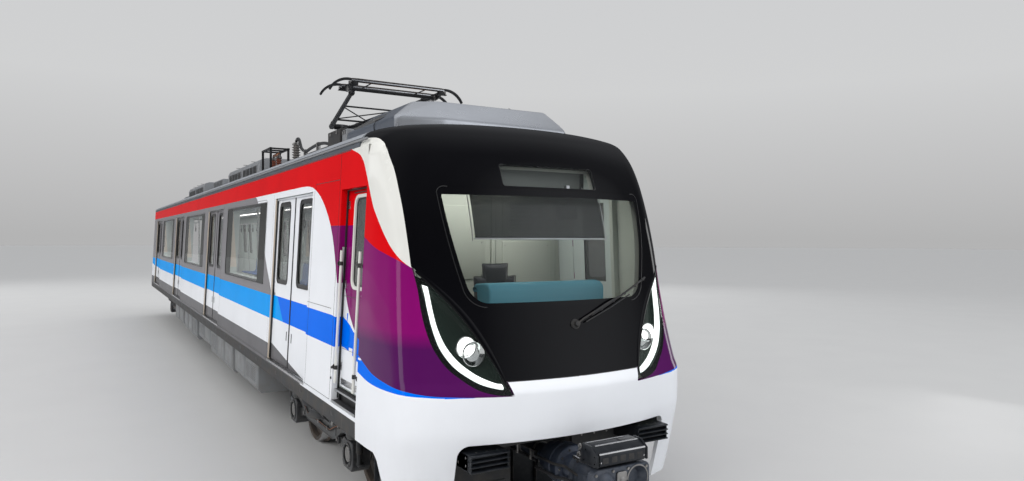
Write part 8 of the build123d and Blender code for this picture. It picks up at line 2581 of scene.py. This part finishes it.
def loop(hw, z0, z1, r, n_=7):
    return rounded(-hw, hw, z0, z1, r, n_)


for inner in (False, True):
    verts = []
    for k in range(steps + 1):
        t = k / steps
        wave = 0.5 - 0.5 * math.cos(2 * math.pi * t * 7)
        if inner:
            hw, z0, z1 = 0.705 + 0.035 * (1 - wave), FLOOR + 0.006, FLOOR + 2.095 + 0.03 * (1 - wave)
        else:
            hw, z0, z1 = 0.858 - 0.055 * (1 - wave), FLOOR - 0.058 + 0.0 * wave, FLOOR + 2.198 - 0.055 * (1 - wave)
        verts += [(x, ye + 0.004 + 0.393 * t, z) for x, z in loop(hw, z0, z1, 0.12)]
    k_ = len(loop(1, 0, 1, 0.1))
    b.add(verts, [(q * k_ + i, q * k_ + (i + 1) % k_, (q + 1) * k_ + (i + 1) % k_, (q + 1) * k_ + i) for q in range(steps) for i in range(k_)], "bellows")
# edge beads on each fold
for k in range(7):
    y = ye + 0.004 + 0.393 * (k + 0.5) / 7
    b.tube([(x, y, z) for x, z in loop(0.852, FLOOR - 0.052, FLOOR + 2.192, 0.12, 7)], 0.006, "rubber", 6, closed=True)
for y in (ye + 0.006, ye + 0.394):
    a_, c_ = loop(0.858, FLOOR - 0.058, FLOOR + 2.198, 0.12), loop(0.702, FLOOR + 0.004, FLOOR + 2.092, 0.12)
    b.add([(x, y, z) for x, z in a_ + c_], [(i, (i + 1) % k_, k_ + (i + 1) % k_, k_ + i) for i in range(k_)], "bellows")
b.box(-0.66, 0.66, ye - 0.02, ye + 0.42, FLOOR - 0.004, FLOOR + 0.006, "steel", 0.003)
for k in range(9):
    b.box(-0.62, 0.62, ye + 0.01 + k * 0.044, ye + 0.025 + k * 0.044, FLOOR + 0.005, FLOOR + 0.009, "steel", 0.001, 1)
o = b.done("bellows", "car_body", "rubber", 50)
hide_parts("gangway_bellows")

b = Build(["alu", "steel", "rubber", "dark"])
a_, c_ = rounded(-0.878, 0.878, FLOOR - 0.078, FLOOR + 2.218, 0.10, 8), rounded(-0.692, 0.692, FLOOR + 0.002, FLOOR + 2.088, 0.10, 8)
k_ = len(a_)
g = 0.010
rings = [(ye + 0.402, c_), (ye + 0.402, a_), (ye + 0.440, a_), (ye + 0.4485, [(x * (1 - g), FLOOR + 1.07 + (z - FLOOR - 1.07) * (1 - g)) for x, z in a_]), (ye + 0.4485, [(x * (1 + g), FLOOR + 1.07 + (z - FLOOR - 1.07) * (1 + g)) for x, z in c_]), (ye + 0.440, c_), (ye + 0.402, c_)]
b.add([(x, y, z) for y, pts in rings for x, z in pts], [(q * k_ + i, q * k_ + (i + 1) % k_, (q + 1) * k_ + (i + 1) % k_, (q + 1) * k_ + i) for q in range(len(rings) - 1) for i in range(k_)], "alu")
mid = [((p[0] + q[0]) / 2, (p[1] + q[1]) / 2) for p, q in zip(a_, c_)]
b.tube([(x, ye + 0.4475, z) for x, z in mid], 0.0025, "rubber", 8, closed=True)
for s in (-1, 1):
    for z in np.arange(FLOOR + 0.10, FLOOR + 2.1, 0.25):
        b.lathe((s * 0.835, ye + 0.440, z), (s * 0.835, ye + 0.4495, z), [(0, 0.014), (0.006, 0.014), (0.0095, 0.010)], "steel", 6)
        b.lathe((s * 0.735, ye + 0.440, z + 0.06), (s * 0.735, ye + 0.4495, z + 0.06), [(0, 0.011), (0.006, 0.011), (0.0095, 0.008)], "steel", 6)
    for z in (FLOOR + 0.45, FLOOR + 1.65):
        b.box(s * 0.770, s * 0.800, ye + 0.436, ye + 0.4497, z - 0.09, z + 0.09, "dark", 0.005)
o = b.done("gangway_end_frame", "car_body", "silver")
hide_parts("gangway_frame")
